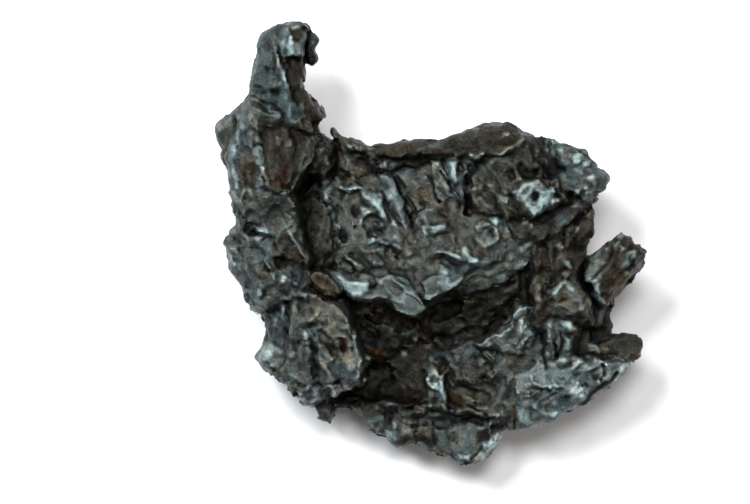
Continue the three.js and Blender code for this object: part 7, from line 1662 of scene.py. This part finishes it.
    "deep": [
        (0.5, [(-9.6, 18.2), (-8.5, 14.9), (-7.1, 12.1), (-5.7, 8.8), (-4.9, 4.9)]),
        (0.5, [(-13.5, 14.3), (-11.8, 11), (-10.1, 7.9), (-8.5, 4.9)]),
        (0.4, [(2.9, 20.4), (4.6, 17.1), (6.2, 14.3), (8.5, 10.4)]),
        (0.4, [(0.1, 18.2), (1, 14.3), (2.4, 11)]),
        (0.6, [(15.4, 23.2), (12.4, 21.5), (10.7, 18.2), (10.1, 13.5), (10.4, 8.2)]),
        (0.5, [(-41.8, 53.2), (-40.7, 51), (-39.9, 48.2), (-39.3, 44.9)]),
        (0.4, [(-48.5, 27.1), (-46.2, 27.1)]), (0.4, [(-46.2, 17.9), (-45.7, 17.4)]),
        (0.4, [(-46, 16), (-45.7, 15.4)]),
        (0.5, [(-32.6, -12.4), (-30.7, -13.8), (-29, -15.1), (-27.1, -15.7)]),
        (0.6, [(-34.9, -22.9), (-32.9, -22.6)]),
        (0.4, [(-35.4, -44), (-33.8, -44.6), (-31.8, -44.6)]),
        (0.4, [(31, -25.1), (32.1, -28.2), (31.8, -31.2), (32.4, -34.6)]),
        (0.5, [(41.2, -45.4), (43.5, -44), (45.1, -41.8), (47.4, -40.1), (49, -39)]),
        (0.4, [(41.2, -31.2), (44.6, -30.7), (47.4, -31.5), (50.7, -31.8)]),
        (0.4, [(5.1, -47.9), (8.5, -48.2), (11.8, -47.6), (15.1, -49.3), (16.5, -49)]),
        (0.4, [(-3.5, -48.5), (-2.9, -50.1), (-3.5, -52.9)]),
        (0.4, [(9.9, -44.3), (12.1, -45.7), (14.9, -47.1), (16.5, -48.2)]),
        (0.6, [(4.6, -36.8), (5.1, -40.1), (5.6, -43.5), (5.6, -46.5)]),
        (0.4, [(-1.5, -36.2), (-1.2, -39), (-0.7, -41.8)]),
    ],
}
LINE_FULL = 1.5
LINE_FADE = 1.1
LINE_CREST = 1.2
LINE_BREADTH = 1.2
LINE_RUBBED = 0.5

for kind, paths in LINES.items():
    shine, brown, rise = LINE_KINDS[kind]
    for half_width, path in paths:
        part = window(path, SPARE)
        off, side = path_distance(path, ragged_x[part], ragged_y[part])
        share = smooth_step(LINE_FULL - LINE_FADE * off / half_width)
        reach = half_width * (LINE_BREADTH + LINE_RUBBED * side)
        flake_sheet[part] += rise * np.clip(LINE_CREST - off / reach, 0.0, 1.0)
        blend(bare_and_lit_sheet, part, share, shine)
        blend(brown_sheet, part, share, brown)

# ---------------------------------------------------------------------------------------------
# The solid: face and back meet in rounded walls. Hollows are worn into the walls, and long undercuts
# run beneath the lip of the dish, the lower left mass and the foot of the spire.
# A scoop is its name, its middle, its reach across and its reach in height.
SCOOPS = [
    ("under the tower's outer edge", (-60.5, 22, 14), 8, 7),
    ("under the shoulder", (-57.5, 35, 13), 6, 6),
    ("behind the spire", (-49.5, 48, 13), 7, 6),
    ("under the spire tip", (-36, 60.5, 11), 6, 6),
    ("spire inner wall", (-31, 45.5, 19), 4.5, 6),
    ("under the hip", (-54, -11.5, 10), 8, 7),
    ("under the flank", (-49, -24, 12), 6, 6),
    ("under the mass foot", (-39, -44.5, 12), 7, 6),
    ("under the bottom lobe", (-8, -60.5, 4), 9, 5),
    ("bottom right edge", (19.5, -59, 6), 7, 5),
    ("under the right plate", (46, -50.5, 10), 10, 7),
    ("under the horn", (62.5, -29.5, 10), 6, 6),
    ("between bar and horn", (54.5, -20.5, 12), 5, 7),
    ("under the bar", (61, -11.5, 16), 6, 7),
    ("column wall", (47, -2, 10), 5, 6),
    ("under the corner", (52.5, 10.5, 13), 8, 7),
    ("above the corner", (47.5, 29, 18), 7, 7),
    ("under the rim", (3, 34.5, 16), 10, 6),
    ("under the rim end", (-16.5, 31.5, 15), 7, 6),
    ("rim gap wall", (-28, 26, 10), 4, 4),
]
# A cut is its name, its two ends and its radius.
CUTS = [
    ("under the dish lip", (-22.5, -15.5, 14), (-7, -22, 14), 3.4),
    ("under the lip crest", (2, -19.5, 15), (21, -11, 15), 2.6),
    ("under the mass edge", (-17.5, -24, 17), (-19, -40, 16), 4.2),
    ("under the mass toe", (-22, -42.5, 14), (-31, -46, 12), 3.4),
    ("tower inner wall", (-31.5, 26, 21), (-37.5, 13, 20), 3),
    ("spire foot shadow", (-40.5, 32.5, 34), (-31, 32.5, 32.4), 1.2),
]
UPPER_ROUND = 2.6
LOWER_ROUND = 7.0
SWAY_BROAD = 0.3
SWAY_FINE = 0.2
LAST_CELL = 1.001


def looked_up(sheet, x, y):
    """The sheet's values at any points, blended between its own."""
    u = np.clip((x + REACH_X) / SHEET_STEP, 0, sheet.shape[0] - LAST_CELL)
    v = np.clip((y + REACH_Y) / SHEET_STEP, 0, sheet.shape[1] - LAST_CELL)
    i, j = u.astype(int), v.astype(int)
    u, v = u - i, v - j
    near = sheet[i, j] * (1 - v) + sheet[i, j + 1] * v
    far = sheet[i + 1, j] * (1 - v) + sheet[i + 1, j + 1] * v
    return near * (1 - u) + far * u


def swayed(x, y, z):
    """Slow irregular sway that takes the straightness out of edges and walls: waves of 5 to 11 mm."""
    broad_x = np.sin(0.61 * y + 1.7 * np.sin(0.23 * x) + 0.33 * z)
    broad_y = np.sin(0.57 * x + 1.9 * np.sin(0.29 * y) + 0.41 * z)
    fine_x = np.sin(1.13 * y - 0.5 * x + 0.7 * z)
    fine_y = np.sin(1.21 * x + 0.4 * y - 0.6 * z)
    return x + SWAY_BROAD * broad_x + SWAY_FINE * fine_x, y + SWAY_BROAD * broad_y + SWAY_FINE * fine_y


def rounded_meet(a, b, radius):
    """The lesser of two depths, with a rounded edge where they meet."""
    short = np.hypot(np.maximum(radius - a, 0), np.maximum(radius - b, 0))
    return radius - short + np.maximum(np.minimum(a, b) - radius, 0)


def plain_depth(x, y, z, sx, sy, fx, fy):
    """Depth inside the metal, negative outside. Plates and walls are read at s, flakes at f."""
    wall = looked_up(wall_sheet, sx, sy)
    top = looked_up(upper_sheet, sx, sy) + looked_up(flake_sheet, fx, fy)
    depth = np.minimum(
        rounded_meet(top - z, wall, UPPER_ROUND),
        rounded_meet(z - looked_up(back_sheet, sx, sy), wall, LOWER_ROUND),
    )
    for name, at, across, high in SCOOPS:
        off = np.sqrt(((x - at[0]) / across) ** 2 + ((y - at[1]) / across) ** 2 + ((z - at[2]) / high) ** 2)
        depth = np.minimum(depth, (off - 1.0) * min(across, high))
    for name, start, end, radius in CUTS:
        run = [b - a for a, b in zip(start, end)]
        reach = [x - start[0], y - start[1], z - start[2]]
        along = sum(r * d for r, d in zip(run, reach)) / sum(r * r for r in run)
        t = np.clip(along, 0.0, 1.0)
        gap = np.sqrt(sum((d - t * r) ** 2 for r, d in zip(run, reach)))
        depth = np.minimum(depth, gap - radius)
    return depth


# ---------------------------------------------------------------------------------------------
# The broken skin: edges torn out sideways, faces chipped along their grain, crumpled and gritty.
# Each layer is how deep it goes, how long its bumps are, and its seed.
TEARS = [(0.55, 4.4, 11), (0.20, 2.0, 12)]
CHIPS = [(0.34, 3.6, 21), (0.20, 1.8, 22)]
CRUMPLES = [(0.26, 5.0, 43), (0.22, 2.8, 41), (0.11, 1.7, 42)]
GRIT = [(0.09, 1.1, 31)]
CROSS_SEED = 50
FLAKE_TEAR = 0.3
STRETCH = 1.9


def broken_depth(x, y, z):
    """The same depth with torn edges and broken faces."""
    sx, sy = swayed(x, y, z)
    fx, fy = x, y
    points = (x, y, z)
    grain = looked_up(grain_sheet, sx, sy)
    along, across = x * np.cos(grain) + y * np.sin(grain), y * np.cos(grain) - x * np.sin(grain)
    drawn_out = (along / STRETCH, across, z)
    rough = looked_up(rough_sheet, sx, sy)
    for amount, length, seed in TEARS:
        tear_x = amount * chips(points, length, seed)
        tear_y = amount * chips(points, length, seed + CROSS_SEED)
        sx, sy = sx + tear_x, sy + tear_y
        fx, fy = fx + FLAKE_TEAR * tear_x, fy + FLAKE_TEAR * tear_y
    depth = plain_depth(x, y, z, sx, sy, fx, fy)
    breaks = ((CHIPS, chips, drawn_out), (CRUMPLES, creases, drawn_out), (GRIT, billows, points))
    for layers, pattern, spots in breaks:
        for amount, length, seed in layers:
            depth = depth + amount * rough * pattern(spots, length, seed)
    return depth


# The whole solid is sampled on a fine grid, plainly everywhere and then broken close to its surface.
FINE_GRID = 0.45
GRID = FINE_GRID
NEAR = 1.8

axes = [np.arange(low, high, GRID) for low, high in zip(LOW, HIGH)]
grid_x, grid_y, grid_z = np.meshgrid(*axes, indexing="ij")
depth = np.empty(grid_x.shape)
for i in range(len(axes[0])):
    layer = grid_x[i], grid_y[i], grid_z[i]
    depth[i] = plain_depth(*layer, *swayed(*layer), *layer[:2])
near = np.abs(depth) < NEAR
depth[near] = broken_depth(grid_x[near], grid_y[near], grid_z[near])

# ---------------------------------------------------------------------------------------------
# The skin of the solid as one closed mesh of iron, without the crumbs that hang loose in the air.
# The underside lies on the card and is seldom seen, so it is thinned the most.
MM = 0.001
MOST_TRIANGLES = 196000
UNDER_THINNING = 4.0
UPPER_SHARE = 0.2
FACES_DOWN = -0.1
LOW_DOWN = 6.0


def surface_net(values):
    """One vertex in each grid cell that the surface crosses, one quad across each crossed grid edge."""
    solid = values > 0
    corners = list(product((0, 1), repeat=3))
    n = [size - 1 for size in values.shape]
    count = sum(
        solid[a : a + n[0], b : b + n[1], c : c + n[2]].astype(np.int8) for a, b, c in corners
    )
    cells = np.argwhere((count > 0) & (count < 8))
    number = np.full(n, -1)
    number[tuple(cells.T)] = np.arange(len(cells))
    total = np.zeros((len(cells), 3))
    hits = np.zeros(len(cells))
    for a, b in product(corners, repeat=2):
        if sum(p != q for p, q in zip(a, b)) != 1 or a > b:
            continue
        va = values[tuple((cells + a).T)]
        vb = values[tuple((cells + b).T)]
        crossed = (va > 0) != (vb > 0)
        share = np.where(crossed, va / np.where(crossed, va - vb, 1.0), 0.0)
        spot = np.array(a) + share[:, None] * (np.array(b) - np.array(a))
        total += np.where(crossed[:, None], spot, 0.0)
        hits += crossed
    places = np.array(LOW) + GRID * (cells + total / hits[:, None])
    quads = []
    for axis in range(3):
        here = np.moveaxis(solid, axis, 0)[:-1]
        there = np.moveaxis(solid, axis, 0)[1:]
        edges = np.argwhere(np.moveaxis(here != there, 0, axis))
        step_u = np.eye(3, dtype=int)[(axis + 1) % 3]
        step_v = np.eye(3, dtype=int)[(axis + 2) % 3]
        ring = [edges, edges - step_u, edges - step_u - step_v, edges - step_v]
        quad = np.stack([number[tuple(corner.T)] for corner in ring], axis=1)
        inside = solid[tuple(edges.T)]
        quad[~inside] = quad[~inside][:, ::-1]
        quads.append(quad)
    return places, np.concatenate(quads)


def main_part(places, quads):
    """Drops crumbs and bubbles that are not joined to the solid's own skin."""
    label = np.arange(len(places))
    while True:
        lowest = label[quads].min(axis=1)
        joined = label.copy()
        for k in range(4):
            np.minimum.at(joined, quads[:, k], lowest)
        joined = joined[joined]
        if (joined == label).all():
            break
        label = joined
    names, sizes = np.unique(label, return_counts=True)
    kept = label == names[sizes.argmax()]
    number = np.cumsum(kept) - 1
    return places[kept], number[quads[kept[quads[:, 0]]]]


places, quads = main_part(*surface_net(depth))
places[:, 2] = np.maximum(places[:, 2], 0.0)

raw_mesh = bpy.data.meshes.new("raw_skin")
raw_mesh.from_pydata((places * MM).tolist(), [], quads.tolist())
raw_skin = placed("raw_skin", raw_mesh)
raw_normals = np.empty(3 * len(places))
raw_mesh.vertex_normals.foreach_get("vector", raw_normals)
under = raw_skin.vertex_groups.new(name="under")
faces_down = (raw_normals[2::3] < FACES_DOWN) | (places[:, 2] < LOW_DOWN)
under.add(np.flatnonzero(faces_down).tolist(), 1.0, "REPLACE")
under.add(np.flatnonzero(~faces_down).tolist(), UPPER_SHARE, "REPLACE")
thinning = raw_skin.modifiers.new("thinning", "DECIMATE")
thinning.ratio = min(1.0, MOST_TRIANGLES / (2 * len(quads)))
thinning.vertex_group = "under"
thinning.vertex_group_factor = UNDER_THINNING
thinning.use_collapse_triangulate = True
skin_mesh = bpy.data.meshes.new_from_object(raw_skin.evaluated_get(bpy.context.evaluated_depsgraph_get()))
bpy.data.objects.remove(raw_skin)
skin_mesh.name = "meteorite_skin"
piece = placed("meteorite_skin", skin_mesh)

# Thinning may push a corner of a foot below the card, so the feet are made flat again.
spots = np.empty(len(skin_mesh.vertices) * 3)
skin_mesh.vertices.foreach_get("co", spots)
spots = spots.reshape(-1, 3) / MM
spots[:, 2] = np.maximum(spots[:, 2], 0.0)
skin_mesh.vertices.foreach_set("co", (spots * MM).ravel())

# ---------------------------------------------------------------------------------------------
# Edges are rubbed bare and painted bright; creases and hollows keep a dark crust and get painted shade.
# How bare and lit and how brown the metal looks stays with each point of the skin.
CLOSE_LOOK = 1.1
WIDE_LOOK = 8.0
UNDER_SHINE = 0.28
UNDER_BROWN = 0.45
UP_STARTS = 0.6
UP_GAIN = 2.0
FLAT_SHARE = 0.50
EDGE_RANGE = 0.14
CREASE_FROM = 0.52
CREASE_RANGE = 0.12
HOLLOW_FROM = 0.52
HOLLOW_RANGE = 0.30
EDGE_WEAR_AND_HIGHLIGHT = 0.14
STROKE_BARE = 0.06
CREASE_CRUST_AND_SHADE = 0.16
HOLLOW_CRUST_AND_SHADE = 0.09
CLOUDY = 0.10


def blurred(values, radius):
    """The grid averaged over that many millimetres each way."""
    reach = max(int(round(radius / GRID)), 1)
    for axis in range(3):
        moved = np.moveaxis(values, axis, 0)
        first = np.repeat(moved[:1], reach + 1, axis=0)
        last = np.repeat(moved[-1:], reach, axis=0)
        sums = np.cumsum(np.concatenate([first, moved, last]), axis=0, dtype=np.float64)
        moved = (sums[2 * reach + 1 :] - sums[: -2 * reach - 1]) / (2 * reach + 1)
        values = np.moveaxis(moved, 0, axis)
    return values


def grid_values(values, spots):
    """The grid's values at any points, blended between its own."""
    cell = np.clip((spots - np.array(LOW)) / GRID, 0, np.array(values.shape) - LAST_CELL)
    low = cell.astype(int)
    part = cell - low
    total = 0.0
    for corner in product((0, 1), repeat=3):
        side = np.array(corner)
        weight = np.prod(np.where(side, part, 1 - part), axis=1)
        total = total + weight * values[tuple((low + side).T)]
    return total


solid = (depth > 0).astype(np.float32)
close = grid_values(blurred(solid, CLOSE_LOOK), spots)
wide = grid_values(blurred(solid, WIDE_LOOK), spots)
normals = np.empty(len(skin_mesh.vertices) * 3)
skin_mesh.vertex_normals.foreach_get("vector", normals)
facing = smooth_step(UP_GAIN * normals[2::3] + UP_STARTS)
x, y, z = spots.T
shine = looked_up(bare_and_lit_sheet, x, y) * facing + UNDER_SHINE * (1 - facing)
brown = looked_up(brown_sheet, x, y) * facing + UNDER_BROWN * (1 - facing)
stroke = looked_up(stroke_sheet, x, y) * facing
# Edge is where the skin is convex: rubbed wear with a painted highlight.
edge = smooth_step((FLAT_SHARE - close) / EDGE_RANGE)
hollow = smooth_step((wide - HOLLOW_FROM) / HOLLOW_RANGE)
crease = smooth_step((close - CREASE_FROM) / CREASE_RANGE)
cloud = billows(spots.T, 2.4, 61)
# Painted light and shade on top of the finish: edges and raised strokes lighter, creases, grooves and hollows
# darker.
bare_and_lit = shine + EDGE_WEAR_AND_HIGHLIGHT * edge + STROKE_BARE * stroke - CREASE_CRUST_AND_SHADE * crease - HOLLOW_CRUST_AND_SHADE * hollow
bare_and_lit = bare_and_lit + CLOUDY * cloud
for name, values in (("bare_and_lit", np.clip(bare_and_lit, 0, 1)), ("brown", np.clip(brown, 0, 2))):
    layer = skin_mesh.attributes.new(name, "FLOAT", "POINT")
    layer.data.foreach_set("value", values.astype(np.float32))

# ---------------------------------------------------------------------------------------------
# The finish: nickel-iron, silvery where it is rubbed bare or painted bright, under a thin dark crust or
# painted shade elsewhere, with olive, brown and rusty stains where damp air has got at it, and a painted warm
# or cool reflection.
GRAIN_SHADE = 0.7
GRAIN_HEIGHT = 0.0004
GRAIN_BUMP = 0.9
MOTTLE_SHADE = 0.45
STAIN_FROM_BROWN = 0.5
STAIN_DRIFT = 0.9
METAL_SHARE = 0.9
DARK_ROUGHNESS = 0.40
BARE_ROUGHNESS = 0.38
SHARP_EDGE = 38
# Each noise is its scale, its detail and its roughness.
GRAIN = (1700, 6, 0.7)
MOTTLE = (520, 5, 0.65)
STAIN = (260, 4, 0.6)
# A mix node has several sockets of the same name, so its colour sockets are known by their place.
MIX_FACTOR, MIX_FIRST, MIX_SECOND, MIX_COLOUR = 0, 6, 7, 2
# Darkness of the metal from crust and painted shade to bare metal and painted highlight.
TONES = (
    (0.0, (0.004, 0.004, 0.004)),
    (0.12, (0.011, 0.011, 0.011)),
    (0.30, (0.034, 0.034, 0.034)),
    (0.45, (0.066, 0.066, 0.066)),
    (0.60, (0.11, 0.11, 0.11)),
    (0.80, (0.21, 0.21, 0.21)),
    (1.0, (0.36, 0.36, 0.36)),
)
# Tint of the metal from cool and clean to rust; the cool and warm ends also paint reflected light.
TINTS = (
    (0.0, (0.78, 1.02, 1.03)),
    (0.13, (0.92, 1.04, 0.95)),
    (0.35, (1.06, 1.01, 0.79)),
    (0.60, (1.36, 0.98, 0.58)),
    (1.0, (2.0, 0.90, 0.35)),
)

iron = bpy.data.materials.new("weathered_iron")
iron.use_nodes = True
nodes = iron.node_tree.nodes
links = iron.node_tree.links
shader = nodes["Principled BSDF"]
place = nodes.new("ShaderNodeTexCoord")


def value_of(name):
    """A value kept with each point of the skin."""
    reader = nodes.new("ShaderNodeAttribute")
    reader.attribute_name = name
    return reader.outputs["Fac"]


def noise(scale, detail, rough):
    """Even noise about 0.5 that stays with the object."""
    texture = nodes.new("ShaderNodeTexNoise")
    dial(texture, Scale=scale, Detail=detail, Roughness=rough)
    links.new(place.outputs["Object"], texture.inputs["Vector"])
    return texture.outputs["Fac"]


def ranged(value, to_low, to_high):
    """A value from 0 to 1 carried over to another range."""
    ranger = nodes.new("ShaderNodeMapRange")
    links.new(value, ranger.inputs["Value"])
    dial(ranger, To_Min=to_low, To_Max=to_high)
    return ranger.outputs["Result"]


def stops(value, colours):
    """Colours at places along a value, blended between them."""
    ramp = nodes.new("ShaderNodeValToRGB")
    links.new(value, ramp.inputs["Fac"])
    stop = ramp.color_ramp.elements
    stop.remove(stop[1])
    stop[0].color = (*colours[0][1], 1.0)
    for at, colour in colours[1:]:
        stop.new(at).color = (*colour, 1.0)
    return ramp.outputs["Color"]


def reckoned(kind, first, second):
    """One sum on two values, each a socket or a number."""
    node = nodes.new("ShaderNodeMath")
    node.operation = kind
    for socket, value in zip(node.inputs, (first, second)):
        if isinstance(value, bpy.types.NodeSocket):
            links.new(value, socket)
        else:
            socket.default_value = value
    return node.outputs["Value"]


def swing(value, amount):
    """Noise about 0.5 turned into a swing about 0."""
    return reckoned("MULTIPLY", reckoned("SUBTRACT", value, 0.5), amount)


def multiplied(first, second):
    """Two colours multiplied."""
    mix = nodes.new("ShaderNodeMix")
    mix.data_type = "RGBA"
    mix.blend_type = "MULTIPLY"
    mix.inputs[MIX_FACTOR].default_value = 1.0
    links.new(first, mix.inputs[MIX_FIRST])
    links.new(second, mix.inputs[MIX_SECOND])
    return mix.outputs[MIX_COLOUR]


grain = noise(*GRAIN)
speckle = swing(grain, GRAIN_SHADE)
blotch = swing(noise(*MOTTLE), MOTTLE_SHADE)
tone = reckoned("ADD", value_of("bare_and_lit"), reckoned("ADD", speckle, blotch))
stain_and_light_tint = reckoned("MULTIPLY", value_of("brown"), STAIN_FROM_BROWN)
hue = reckoned("ADD", stain_and_light_tint, swing(noise(*STAIN), STAIN_DRIFT))
links.new(multiplied(stops(tone, TONES), stops(hue, TINTS)), shader.inputs["Base Color"])
dial(shader, Metallic=METAL_SHARE)
links.new(ranged(tone, DARK_ROUGHNESS, BARE_ROUGHNESS), shader.inputs["Roughness"])
bump = nodes.new("ShaderNodeBump")
dial(bump, Distance=GRAIN_HEIGHT, Strength=GRAIN_BUMP)
links.new(grain, bump.inputs["Height"])
links.new(bump.outputs["Normal"], shader.inputs["Normal"])
skin_mesh.materials.append(iron)
skin_mesh.shade_smooth()
skin_mesh.set_sharp_from_angle(angle=math.radians(SHARP_EDGE))

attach(piece, "root")
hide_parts("meteorite")
